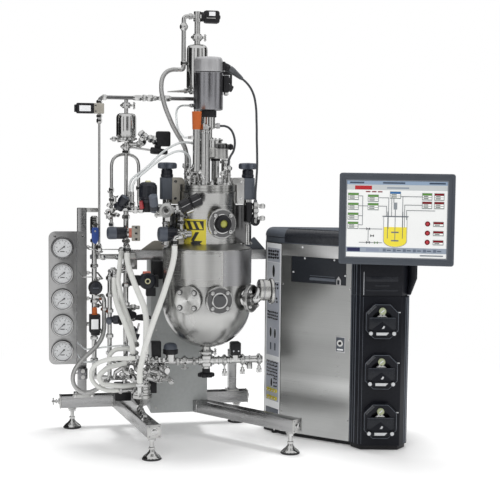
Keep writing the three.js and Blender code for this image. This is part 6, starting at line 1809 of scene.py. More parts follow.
def makeDrive():
    d = drive
    maker = Maker("driveAdapter")
    low = d["sealTop"] + 0.3
    profile = [(0, low), (d["column"] + 5, low), (d["column"] + 5, low + 4), (d["column"], low + 6),
               (d["column"], d["neckBottom"]),
               (d["neck"] - 1, d["neckBottom"] + 4), (d["neck"], d["neckBottom"] + 5),
               (d["neck"], d["ringBottom"]), (0, d["ringBottom"])]
    maker.add(turned(profile, 48), polishedSteel)
    ring = [(0, d["ringBottom"]), (d["ring"] - 1, d["ringBottom"]), (d["ring"], d["ringBottom"] + 1),
            (d["ring"], 1050), (0, 1051)]
    maker.add(turned(ring, 48), blackNylon)
    z = d["neckBottom"] + 12
    maker.add(bar((d["neck"] - 2, 0, z), (d["neck"] + 6, 0, z), 7, 24), polishedSteel)
    maker.add(bar((d["neck"] + 5, 0, z), (d["neck"] + 15, 0, z), 9, 24, 8.4), motorAlloy)
    maker.add(bar((d["neck"] + 14, 0, z), (d["neck"] + 18, 0, z), 5, 20, 3.6), blackNylon)
    for angle in (200, 320):
        way = radial(angle)
        at = way * (d["neck"] - 1) + Vector((0, 0, 1008))
        maker.add(bar(at, at + way * 5, 4, 16), polishedSteel)
    maker.done("frame", "drive_adapter", "stainless_polished")

    maker = Maker("driveMotor")
    low, r, c, g = d["motorBottom"], d["motor"], d["cap"], d["groove"]
    body = [(0, low), (r - 6, low), (r - 1, low + 2), (r, low + 4), (r, g - 3), (r - 1, g - 1.6),
            (r - 3, g - 1), (0, g - 1)]
    maker.add(turned(body, 96), motorSteel)
    maker.add(turned([(0, g - 1.5), (r - 5, g - 1.5), (r - 5, g + 1.5), (0, g + 1.5)], 64), blackNylon)
    cap = [(0, g + 1), (c + 1.5, g + 1), (c + 2, g + 2), (c + 2, g + 30), (c + 1.4, g + 38),
           (c - 1, d["top"] - 3.4),
           (c - 3.5, d["top"] - 1), (c - 8, d["top"]), (0, d["top"])]
    maker.add(turned(cap, 96), motorAlloy)
    for angle in (-30, 60, 150, 240):
        x, y = 30 * math.cos(math.radians(angle)), 30 * math.sin(math.radians(angle))
        maker.add(bar((x, y, d["top"] - 0.6), (x, y, d["top"]), 3, 14), blackNylon)
    plug = Vector(d["plug"])
    maker.add(block((c - 6, -15, plug.z - 8), (c + 9, 15, plug.z + 20), 2.5), blackNylon)
    maker.add(bar((c + 6, 0, plug.z + 7), plug, 12, 28, 10.5), blackNylon)
    maker.add(union(plug + Vector((-8, 0, 2)), (1, 0, -0.25), 13.4, 7), blackNylon)
    end = Vector(d["reliefEnd"])
    relief = [(0, 0), (10, 0), (11, 3), (11, 14)]
    length = (end - plug).length
    for k in range(9):
        h = 16 + k * (length - 20) / 9
        taper = 10.6 - 4.4 * k / 9
        relief += [(taper, h), (taper, h + 2), (taper - 1.4, h + 2.4), (taper - 1.4, h + 3.2)]
    relief += [(5.4, length - 2), (4.2, length), (0, length)]
    maker.add(between(plug, end, turned(relief, 28)), reliefRubber)
    # the black connector block that stands off the motor's side
    maker.add(block((c + 4, -14, 1108), (c + 22, 14, 1160), 3), blackNylon)
    maker.add(bar((c + 20, 0, 1124), (c + 34, 0, 1118), 12, 8, 10), blackNylon)
    maker.add(bar((c + 20, 0, 1146), (c + 30, 0, 1143), 9, 20, 8), blackNylon)
    maker.add(union((c + 14, 0, 1104), (0, 0, 1), 8, 8), polishedSteel)
    maker.done("frame", "drive_motor", "motor_grey")


def makeCondenser():
    maker = Maker("exhaustCondenser")
    y, light, bright, r, top, sleeveTop = -62, -46, -20, 11.5, 990, 1045
    maker.add(bar((light, y, headTop + 40), (light, y, top + 2), r, 36), polishedSteel)
    maker.add(bar((bright, y, headTop), (bright, y, top), r + 2.5, 36), polishedSteel)
    for z in (headTop + 6, top - 8):
        maker.add(collar((bright, y, z), (0, 0, 1), r + 5, 7, 36), polishedSteel)
    maker.add(collar((light, y, headTop + 44), (0, 0, 1), r + 2.4, 6, 32), polishedSteel)
    for z in (headTop + 60, top - 30):
        maker.add(bar((light, y, z), (bright, y, z), 4.4, 18), polishedSteel)
        maker.add(bead((light + r, y, z), (1, 0, 0), 4.6), polishedSteel)
    maker.add(union((bright, y, top + 6), (0, 0, 1), 17, 14), polishedSteel)
    maker.add(bar((light - 4, y, top - 24), (light - 26, y, top - 24), 4.6, 18), polishedSteel)
    maker.add(union((light - 14, y, top - 24), (-1, 0, 0), 7, 8), polishedSteel)
    sleeve = [(0, 0), (r + 1, 0), (r + 1.6, 2), (r + 3, sleeveTop - top - 5),
              (r + 3.4, sleeveTop - top - 3),
              (r + 3.4, sleeveTop - top - 1), (r + 2, sleeveTop - top - 0.4), (0, sleeveTop - top - 0.4)]
    maker.add(shifted(turned(sleeve, 36), (light, y, top + 1)), orangeSilicone)
    maker.done("frame", "exhaust_condenser", "stainless_polished")


motorSteel = steel("motorSteel", (0.19, 0.19, 0.205), (0.4, 0.4, 0.42), (700, 700, 12), 0.22, 0.36, 0.1)
makeHeadPlate()
makeSeal()
makeDrive()
makeCondenser()
print("head and drive made")

# ---- exhaust: filter, lines, coils ----

exhaust = {"x": -22, "y": 84, "radius": 33, "bottom": 1120, "top": 1260, "pipe": 9, "pipeTop": 1331,
           "branch": -65,
           "branchEnd": (-84, 84, 1180), "foot": (-26, 62), "nipple": (-48, 76, 1068)}


def makeExhaust():
    e = exhaust
    x, y, r, bottom, top = e["x"], e["y"], e["radius"], e["bottom"], e["top"]
    maker = Maker("exhaustFilter")
    body = [(0, bottom), (r - 8, bottom), (r - 2, bottom + 2), (r, bottom + 6), (r, top - 16),
            (r - 1.4, top - 10),
            (r - 5, top - 4.4), (r - 10, top - 1.4), (r - 16, top), (0, top)]
    maker.add(shifted(turned(body, 72), (x, y, 0)), polishedSteel)
    maker.add(bead((x, y, bottom + 9), (0, 0, 1), r, 0.9), polishedSteel)
    maker.add(clamp((x, y, bottom - 4), (0, 0, 1), r + 3, (-1, -0.6, 0), 14), polishedSteel)
    lever = [(x - r + 4, y - 5, bottom - 6), (x - r - 62, y - 7, bottom - 10)]
    maker.add(bar(lever[0], lever[1], 6, 20, 1.5), plateSteel)
    maker.add(collar((x - r - 4, y - 5, bottom - 6.4), (-1, 0, -0.06), 8, 9, 24), polishedSteel)
    route = [(*e["foot"], headTop), (*e["foot"], headTop + 190), (x, y, headTop + 240), (x, y, bottom)]
    maker.add(pipe(route, e["pipe"], 40, 28), polishedSteel)
    maker.add(bar((x, y, top - 1), (x, y, e["pipeTop"] - 0.3), e["pipe"], 28), polishedSteel)
    maker.add(clamp((x, y, top + 22), (0, 0, 1), 20, (1, -0.4, 0), 12), polishedSteel)
    maker.add(clamp((*e["foot"], headTop + 9), (0, 0, 1), 17, (-1, 0.2, 0), 13), polishedSteel)
    nipple = Vector(e["nipple"])
    maker.add(bar((x, y, nipple.z), nipple, 4.4, 16), polishedSteel)
    maker.add(union(nipple + Vector((9, 3, 0)), (-1, -0.3, 0), 7, 8), polishedSteel)
    maker.add(bar((x, y, bottom + 20), (x + 78, y, bottom + 20), 5.4, 18), polishedSteel)
    maker.add(bar((x + 84, y, bottom - 8), (x + 84, y, bottom + 10), 8, 24), polishedSteel)
    maker.add(union((x + 84, y, bottom - 1), (0, 0, 1), 11, 7), polishedSteel)
    addCoil(maker, (x + 71, y - 14, bottom + 8), (x + 111, y + 14, bottom + 58))
    maker.done("frame", "exhaust_filter", "stainless_polished")

    maker = Maker("exhaustLine")
    level, p = e["pipeTop"] + 16, e["pipe"]
    maker.add(bar((x, y, e["pipeTop"]), (x, y, e["pipeTop"] + 32), p + 2.4, 28), polishedSteel)
    maker.add(union((x, y, e["pipeTop"] + 5), (0, 0, 1), p + 4, 9), polishedSteel)
    end = Vector(e["branchEnd"])
    side = [(x, y, level), (e["branch"], y, level), (e["branch"], y, end.z), end]
    maker.add(pipe(side, 7, 12, 24), polishedSteel)
    ball = [(0, -12), (8, -12), (9, -9), (12, -6), (13.4, 0), (12, 6), (9, 9), (8, 12), (0, 12)]
    maker.add(shifted(turned(ball, 32), (e["branch"], y, e["pipeTop"] - 17)), polishedSteel)
    maker.add(union((e["branch"], y, end.z + 20), (0, 0, 1), 9.6, 13), polishedSteel)
    maker.add(union((x - 22, y, level), (1, 0, 0), 11, 9), polishedSteel)
    maker.add(bar((x, y, level), (14, y, level), 9.4, 28), polishedSteel)
    addCoil(maker, (-2, y - 14, e["pipeTop"] - 4), (48, y + 14, e["pipeTop"] + 36), (-0.2, 0.2, 0.06, 0.38),
            7)
    maker.add(bar((-10, y, e["pipeTop"] + 16), (0, y, e["pipeTop"] + 16), 15, 28), blackNylon)
    maker.add(block((4, y - 15, e["pipeTop"] + 10), (34, y - 13.6, e["pipeTop"] + 12.6), 0.3), plateSteel)
    maker.add(hexagon((48, y, level), (1, 0, 0), 7, 3), blackNylon)
    maker.done("frame", "exhaust_line", "stainless_polished")


makeExhaust()
print("exhaust made")

# ---- clamp towers, star knobs, drain ----


def makeClampTower(side):
    name = "clampTowerRight" if side > 0 else "clampTowerLeft"
    flip = Matrix.Scale(side, 4, (1, 0, 0))
    maker = Maker(name, skidPlace @ flip if side < 0 else skidPlace)
    x, column, top, bottom = 128, 13, 843, 775
    base = 632.6
    maker.add(bar((x, 0, base), (x, 0, bottom + 1), column, 36), polishedSteel)
    maker.add(collar((x, 0, base + 4), (0, 0, 1), column + 3, 7, 36), polishedSteel)
    maker.add(collar((x, 0, bottom - 74), (0, 0, 1), column + 1.6, 5, 36), bandSteel)
    outline = [(x - 15, -16), (x + 15, -16), (x + 21, -10), (x + 21, 10), (x + 15, 16), (x - 15, 16)]
    maker.add(slab(outline, bottom, top, 2), slateSheet)
    arch = [(74, 822), (76, 836), (84, 843), (x - 14, 843), (x - 14, 761), (92, 761), (89, 770), (89, 822)]
    maker.add(upright(arch, -18, 18, 1.6), plateSteel if side > 0 else tanBody)
    # a block in dark steel between the neck and the column: painted shade for the gap between them
    maker.add(block((84, -12, base + 4), (x - 6, 10, 758), 2), portSteel)
    for z in (779, 831):
        maker.add(bar((x - 24, -17, z), (x - 24, -20, z), 4.6, 18), polishedSteel)
    maker.add(block((x - 8, -30, bottom - 70), (x + 10, 4, bottom - 8), 3),
              blackNylon if side > 0 else polishedSteel)
    if side > 0:
        maker.add(bar((x + 20, -24, bottom - 74), (x + 20, -24, bottom - 9), 7, 24), polishedSteel)
        maker.add(aimed([(7, -4), (15, -4), (16, -2), (16, 2), (15, 4), (7, 4)], (x + 20, -26, bottom - 66),
                        (0.3, -1, 0), 32, closed=True), blackNylon)
        for z, size in ((bottom - 16, 10), (bottom - 34, 12), (bottom - 50, 10)):
            maker.add(union((x + 20, -24, z), (0, 0, 1), size, 11), polishedSteel)
        for z in (bottom - 20, bottom - 58):
            maker.add(bar((x, -22, z), (x + 44, -22, z), 4.4, 18), polishedSteel)
            maker.add(union((x + 43, -22, z), (1, 0, 0), 9, 11), polishedSteel)
            maker.add(union((x + 30, -22, z), (1, 0, 0), 7, 7), polishedSteel)
        maker.add(bar((x + 20, -24, bottom - 9), (x + 20, -24, bottom), 6, 20, 5), reliefRubber)
    else:
        for z in (bottom - 20, bottom - 50):
            maker.add(hexagon((x + 9, -30, z), (0, -1, 0), 6, 4), polishedSteel)
    ending = "right" if side > 0 else "left"
    maker.done("frame", f"clamp_tower_{ending}", "stainless_polished")

    maker = Maker(f"starKnob{ending.capitalize()}",
                  skidPlace @ Matrix.Translation((side * x, 0, top + 0.3)))
    maker.add(turned([(0, 0), (17, 0), (19, 1.5), (19, 9), (17.4, 10.5), (17.4, 22), (15, 25.5), (0, 25.5)],
                     40), knobPlastic)
    maker.add(shifted(lobedKnob(31, 5, 20, 0.42), (0, 0, 26)), slateKnob)
    maker.add(bar((0, 0, 46.6), (0, 0, 47), 7, 24, edge=0.1), silverPaint)
    maker.done(f"star_knob_{ending}", f"star_knob_{ending}", "black_plastic")


def makeDrain():
    maker = Maker("drainValve")
    z, top = 266, 299.7
    maker.add(bar((0, 0, z), (0, 0, top), 14, 32), polishedSteel)
    maker.add(clamp((0, 0, top - 7), (0, 0, 1), 24, (1, -0.4, 0), 12), polishedSteel)
    body = [(0, -18), (18, -18), (20, -16), (20, -6), (17, -4), (17, 4), (20, 6), (20, 16), (18, 18),
            (0, 18)]
    maker.add(shifted(turned(body, 40), (0, 0, z)), polishedSteel)
    maker.add(bar((-26, 0, z), (26, 0, z), 13, 32), polishedSteel)
    for side in (-1, 1):
        maker.add(collar((side * 23.5, 0, z), (1, 0, 0), 14, 4.6, 32), polishedSteel)
    maker.add(bar((0, 29, z + 6), (0, 0, z + 6), 8, 24), polishedSteel)
    maker.add(hexagon((0, 26, z + 6), (0, 1, 0), 9, 4), polishedSteel)
    maker.done("frame", "drain_valve", "stainless_polished")

    depth, sleeve = 14, 20
    maker = Maker("drainHandwheel", skidPlace @ Matrix.Translation((0, 0, 266 - 18 - 0.3 - depth - sleeve)))
    maker.add(lobedKnob(27, 6, depth, 0.26), blackNylon)
    maker.add(turned([(0, depth - 1), (12.6, depth - 1), (12.6, depth + 12), (11, depth + 13),
                      (11, depth + sleeve), (0, depth + sleeve)], 36),
              blackNylon)
    maker.add(turned([(11, depth + 14), (12, depth + 14), (12, depth + sleeve - 1),
                      (11, depth + sleeve - 1)], 36, closed=True),
              polishedSteel)
    maker.done("drain_handwheel", "drain_handwheel", "black_plastic")


for towerSide in (-1, 1):
    makeClampTower(towerSide)
makeDrain()
print("towers and drain made")

# ---- gas line and filter at the left ----

labelRed = moulded("labelRed", (0.42, 0.1, 0.07), (0.62, 0.2, 0.14), 900, 0.35, 0.5, 0.08, 0.2)

inlet = {"x": -246, "y": 80, "radius": 31, "bottom": 964, "top": 1041, "pipe": 6, "lineZ": 1089}
riser = {"x": -330, "y": 80, "radius": 3.6, "bottom": 606, "coilZ": 1054, "coilLeft": -408, "coil": 32}
lines = {"pipe": 8, "clamp": 16, "width": 12, "left": (-344, 100), "middle": (-298, 70), "main": (-246, 80),
         "header": 745, "headerY": -50, "split": 560, "floorHeader": 205, "floorY": 30}
valves = {"dome": (-193, -50, 776, 28, 48), "left": (-249, 40, 668, 19, 60),
          "middle": (-105, -60, 671, 22, 58),
          "ball": (-344, 72, 692), "regulator": (-344, 70, 496, 22, 30),
          "actuator": (-182, 60, 516, 27, 26)}


lineSteel = steel("lineSteel", (0.13, 0.13, 0.135), (0.3, 0.3, 0.3), (60, 60, 60), 0.16, 0.28, 0.04)


def makeInletFilter():
    f = inlet
    x, y, r, bottom, top = f["x"], f["y"], f["radius"], f["bottom"], f["top"]
    maker = Maker("inletFilter")
    body = [(0, bottom), (r - 7, bottom), (r - 1.6, bottom + 3), (r, bottom + 6), (r, top - 14),
            (r - 1.4, top - 8),
            (r - 5, top - 3), (r - 10, top - 0.8), (0, top)]
    maker.add(shifted(turned(body, 72), (x, y, 0)), polishedSteel)
    maker.add(bead((x, y, bottom + 8), (0, 0, 1), r, 0.9), polishedSteel)
    maker.add(bar((x, y, top - 2), (x, y, f["lineZ"] - f["pipe"] - 0.3), f["pipe"], 24), polishedSteel)
    maker.add(clamp((x, y, f["lineZ"] - 24), (0, 0, 1), 19, (1, -0.3, 0), 10, 6), polishedSteel)
    maker.add(clamp((x, y, bottom - 3), (0, 0, 1), r + 3, (-1, -0.5, 0), 12), polishedSteel)
    maker.add(bar((x - r, y - 6, bottom - 4), (x - r - 20, y - 8, bottom - 4), 5, 18, 3), polishedSteel)
    maker.add(union((x - r - 8, y - 6, bottom - 4), (1, 0, 0), 9, 9), polishedSteel)
    maker.done("frame", "inlet_filter", "stainless_polished")


def makeGasLine():
    g = riser
    x, y, bottom, coilZ, half = g["x"], g["y"], g["bottom"], g["coilZ"], g["coil"] / 2
    bore, level = inlet["pipe"], inlet["lineZ"]
    far = exhaust["x"] - exhaust["pipe"] - 0.3
    maker = Maker("gasLine")
    maker.add(pipe([(far, y, level), (x, y, level), (x, y, coilZ)], bore, 16, 20), lineSteel)
    for at, length, radius in ((-209, 22, 10), (-190, 8, 12), (-171, 16, 12), (-156, 8, 9), (-136, 14, 9),
                               (-118, 18, 11)):
        maker.add(union((at, y, level), (1, 0, 0), radius, length), polishedSteel)
    maker.add(union((x + 16, y, level), (1, 0, 0), 10, 11), polishedSteel)
    maker.add(union((x, y, level - 14), (0, 0, 1), 9.5, 8), polishedSteel)
    maker.add(block((x - 18, y - half + 2, coilZ - half), (x + 14, y + half - 2, coilZ + half), 1.6),
              tanBody)
    for z in (-9, 9):
        maker.add(bar((x - 12, y - half + 2.4, coilZ + z), (x - 12, y - half - 0.2, coilZ + z), 2.6, 14),
                  polishedSteel)
    addCoil(maker, (g["coilLeft"] + 8, y - half, coilZ - half), (x - 17, y + half, coilZ + half))
    maker.add(block((g["coilLeft"] + 1, y - 10, coilZ - 12), (g["coilLeft"] + 10, y + 10, coilZ + 11), 1.6),
              blackNylon)
    maker.add(bar((x, y, bottom), (x, y, coilZ), g["radius"], 20), polishedSteel)
    for z, length in ((coilZ - 24, 9), (coilZ - 38, 12), (bottom + 12, 18)):
        maker.add(union((x, y, z), (0, 0, 1), 9, length), polishedSteel)
    maker.done("frame", "gas_line", "stainless_polished")


makeInletFilter()
makeGasLine()
print("gas line made")

# ---- upper manifold ----


# Everything on the filter line: pipe, arch, left valve and the coil beside the filter.
def addFilterLine(maker):
    p = lines
    x, y = p["main"]
    top = inlet["bottom"] - 9.8
    maker.add(bar((x, y, p["split"] + 0.3), (x, y, 742), p["pipe"], 28), polishedSteel)
    maker.add(bar((x, y, 740), (x, y, top), p["pipe"] - 2.5, 28), polishedSteel)
    maker.add(clamp((x, y, p["split"] + 3.5), (0, 0, 1), p["clamp"], (-1, -0.8, 0), 5), polishedSteel)
    maker.add(clamp((x, y, top - 18), (0, 0, 1), p["clamp"] + 2, (-0.4, -1, 0), 11), polishedSteel)
    for z, length in ((920, 9), (716, 12), (640, 10)):
        maker.add(union((x, y, z), (0, 0, 1), 12.5, length), polishedSteel)
    # a nest of small valves where the arch comes down at the left
    for at, z, way, size in ((-290, 770, (0, 0, 1), 9), (-282, 758, (1, 0, 0.3), 8),
                             (-298, 752, (1, 0, -0.4), 8), (-288, 738, (0.2, 0, 1), 10),
                             (-276, 744, (1, 0, 0.8), 8), (-302, 734, (1, 0, 0.4), 7),
                             (-284, 722, (0, 0, 1), 9), (-296, 714, (0.8, 0, 0.6), 8),
                             (-272, 722, (1, 0, -0.6), 7)):
        maker.add(union((at, 88, z), way, size, 10), polishedSteel)
    for at, z in ((-296, 790), (-278, 776), (-306, 722)):
        wing = [(at - 6, z), (at + 6, z), (at + 9, z + 9), (at + 3, z + 5), (at - 3, z + 5),
                (at - 9, z + 9)]
        maker.add(upright(wing, 84, 87, 0.8), polishedSteel)
        maker.add(bar((at, 85.5, z - 12), (at, 85.5, z + 4), 2.4, 12), polishedSteel)
    leftZ = valves["left"][2]
    arch = [(x, 20, p["header"]), (-204, 20, p["header"]), (-204, 100, p["header"]), (-204, 100, 912),
            (-290, 100, 912),
            (-290, 100, leftZ), (x, y, leftZ)]
    maker.add(swept(rounded(arch, 41, 9), 5, 20), polishedSteel)
    for at, z in ((-290, 800), (-290, 690), (-204, 806)):
        maker.add(union((at, 100, z), (0, 0, 1), 8.5, 12), polishedSteel)
    # left valve: body, bonnet, red tag and its arm
    lx, ly, lz = valves["left"][:3]
    maker.add(bar((lx, ly, lz), (-212, ly, lz), 11, 28), polishedSteel)
    maker.add(bar((lx + 1, ly, lz), (lx + 6, ly, lz), 16, 32), polishedSteel)
    maker.add(bar((lx + 7, ly, lz), (-224, ly, lz), 15.4, 32), labelRed)
    maker.add(bar((-223, ly, lz), (-218, ly, lz), 16, 32), polishedSteel)
    maker.add(hexagon((-218, ly, lz), (1, 0, 0), 13, 8), polishedSteel)
    maker.add(block((-234, ly - 20, lz - 24), (-208, ly - 12, lz + 24), 2), tanBody)
    for z in (lz - 18, lz, lz + 18):
        maker.add(bar((-221, ly - 19, z), (-221, ly - 22, z), 4, 16), polishedSteel)
    maker.add(bar((x, y, lz), (-234, ly, lz), p["pipe"], 24), polishedSteel)
    gas = [(riser["x"], riser["y"], riser["bottom"] - 0.3), (riser["x"], riser["y"], riser["bottom"] - 18),
           (x, y, riser["bottom"] - 18)]
    maker.add(pipe(gas, riser["radius"], 12, 18), polishedSteel)
    maker.add(union((-318, y, riser["bottom"] - 18), (1, 0, 0), 9, 12), polishedSteel)
    maker.add(union((-270, y, riser["bottom"] - 18), (1, 0, 0), 9, 14), polishedSteel)
    # the bank of unions that leads up to the coil
    coilPipe = [(x, y, 944), (-190, 74, 944), (-190, 66, 962), (-150, 62, 962)]
    maker.add(pipe(coilPipe, 6.4, 12, 20), polishedSteel)
    for at, way, radius, length in (((-206, 76, 944), (1, 0, 0), 12, 12),
                                    ((-196, 70, 956), (0.8, 0, 0.7), 14, 12),
                                    ((-184, 66, 968), (0.8, 0, 0.6), 15, 9),
                                    ((-172, 63, 962), (1, 0, 0.2), 14, 11),
                                    ((-160, 60, 958), (1, 0, 0), 16, 9),
                                    ((-200, 64, 978), (0.7, 0, 0.7), 9, 14)):
        maker.add(union(at, way, radius, length), polishedSteel)
    addCoil(maker, (-154, 44, 938), (-110, 78, 986), None, 6)
    maker.add(block((-158, 48, 930), (-140, 74, 944), 1.6), blackNylon)
    maker.add(bar((x + 4, y - 4, 936), (-170, 46, 926), 3.6, 18), polishedSteel)
    grip = [(0, 0), (8, 0), (10.5, 3), (11, 14), (10, 26), (9, 40), (8, 50), (5, 54), (0, 55)]
    maker.add(aimed(grip, (-174, 47, 926), (54, -9, -6), 8), blackNylon)
    steam = [(x, y, 628), (-251, 0, 628), (-251, 0, 610)]
    maker.add(pipe(steam, 7, 14, 20), polishedSteel)
    maker.add(union((-251, 0, 619), (0, 0, 1), 12, 13), polishedSteel)
    maker.add(union((-250, 24, 628), (0, 1, 0), 11, 12), polishedSteel)


# Everything on the header across to the neck.
def addHeader(maker):
    p = lines
    x, y = p["main"]
    level, across = p["header"], p["headerY"]
    maker.add(pipe([(x, y, level), (x, across, level), (-60, across, level)], p["pipe"], 24, 24),
              polishedSteel)
    for at, radius, length in ((-232, 13, 10), (-214, 12, 12), (-168, 14, 12), (-120, 12, 12),
                               (-104, 14, 10)):
        maker.add(union((at, across, level), (1, 0, 0), radius, length), polishedSteel)
    maker.add(bar((-143, across, level), (-143, across - 44, level), p["pipe"], 24), polishedSteel)
    # face-on clamp: a ring with two jaws, its hinge and bolt
    face = frameAt((-143, across - 36, level), (0, -1, 0), (1, 0, 0))
    maker.add(turned([(13, -5), (20, -6), (22, -4), (22, 4), (20, 6), (13, 5)], 40, closed=True),
              plateSteel, face)
    maker.add(turned([(0, -7), (12, -7), (12.6, 7), (8, 7.6), (7, 4), (0, 4)], 32), bowlSteel, face)
    for up in (-1, 1):
        low, high = sorted((up * 10, up * 19))
        maker.add(block((-34, low, -4.4), (-12, high, 4.4), 1.6), plateSteel, face)
    maker.add(bar((-28, -22, 0), (-28, 22, 0), 2.4, 14), polishedSteel, face)
    maker.add(bar((-28, 12, 0), (-28, 20, 0), 5, 16, 4), polishedSteel, face)
    maker.add(bar((22, 0, -5), (22, 0, 5), 6, 20), plateSteel, face)
    # valve with the domed knob: black body, slate fin, red flag
    dx, dy, dz = valves["dome"][:3]
    maker.add(bar((dx, dy, level - 6), (dx, dy, dz - 8), 20, 40), blackNylon)
    maker.add(bar((dx, dy, dz - 9), (dx, dy, dz), 23, 40, 24), knobPlastic)
    maker.add(bar((dx - 20, dy - 14, dz - 26), (dx - 24, dy - 20, dz - 4), 7, 12, 6), labelFlag)
    maker.add(bar((-176, across - 24, level - 2), (-184, across - 50, level + 44), 13.4, 36), slateKnob)
    maker.add(bar((-177, across - 27, level + 4), (-179, across - 34, level + 16), 14.6, 36), knobPlastic)
    maker.add(bar((-176, across - 24, level), (-180, across, level), 9, 24), polishedSteel)
    # leaning black knob at the header's left end
    lean = [(0, 0), (15, 0), (16, 2), (16, 14), (13, 16), (13, 20), (15.4, 22), (16, 25), (16, 40),
            (14.6, 44), (11, 45)]
    spot = pointing((x - 34, -6, level + 2), (16, -12, 25))
    maker.add(moved(turned([*lean, (0, 45.6)], 40), spot), knobPlastic)
    maker.add(moved(turned([(0, 45), (12, 45), (10, 46.4), (0, 46.8)], 40), spot), slateKnob)
    maker.add(bar((x - 30, -8, level), (x, -12, level), 7, 24), polishedSteel)
    for nx, ny in ((-246, -18), (-239, -43)):
        maker.add(bar((nx, ny, level), (nx, ny, 800), 4.4, 18), polishedSteel)
        maker.add(union((nx, ny, level + 18), (0, 0, 1), 8.5, 9), polishedSteel)
        maker.add(bar((nx, ny, 786), (nx, ny, 790), 5.8, 18, 4.6), polishedSteel)
    mx, my, mz = valves["middle"][:3]
    maker.add(bar((mx, my, mz), (-60, my, mz), 12, 28), polishedSteel)
    for at, radius, length in ((-101, 18, 6), (-92, 16, 7), (-80, 17, 9)):
        maker.add(collar((at, my, mz), (1, 0, 0), radius, length, 32), polishedSteel)
    maker.add(block((-104, my - 18, mz - 30), (-86, my - 6, mz - 14), 1.6), tanBody)
    maker.add(bar((-90, my, mz), (-90, across, level), 7, 22), polishedSteel)
    maker.add(union((-90, my + 4, mz + 36), (0, 0, 1), 12, 12), polishedSteel)
    maker.add(union((-90, my + 8, mz + 56), (0, 0, 1), 11, 9), polishedSteel)
    # the twin black heads at the end of the header
    maker.add(bar((-84, across, level), (-72, -116, 768), 9, 22), polishedSteel)
    for start, end in (((-104, -122, 754), (-76, -120, 767)), ((-71, -120, 769), (-43, -118, 782))):
        way = (Vector(end) - Vector(start)).normalized()
        maker.add(bar(start, end, 20.6, 8, edge=2), blackNylon)
        # a pale line along each head's front: painted highlight
        maker.add(bar(Vector(start) + Vector((1, -20.4, 2)), Vector(end) + Vector((-1, -20.4, 2)), 0.7, 8,
                      edge=0.2), motorAlloy)
        maker.add(collar(Vector(start) + way * 1.5, way, 16, 5, 24), blackNylon)
    maker.add(bar((-90, -121, 761), (-56, -119, 776), 14, 24), blackNylon)
    maker.add(bar((-84, -112, 742), (-64, -112, 750), 8, 20), polishedSteel)
    steam = [(-88, -62, 668), (-96, -110, 666), (-119, -110, 664), (-119, -110, 640)]
    maker.add(pipe(steam, 7, 10, 20), polishedSteel)
    maker.add(union((-119, -110, 650), (0, 0, 1), 12.5, 14), polishedSteel)
    maker.add(union((-92, -86, 667), (-0.2, -1, 0), 11, 12), polishedSteel)


labelFlag = moulded("labelFlag", (0.24, 0.02, 0.028), (0.38, 0.045, 0.05), 900, 0.3, 0.45, 0.08, 0.1)
upper = Maker("upperManifold")
addFilterLine(upper)
addHeader(upper)
upper.done("frame", "upper_manifold", "stainless_polished")
print("upper manifold made")

# ---- lower manifold ----


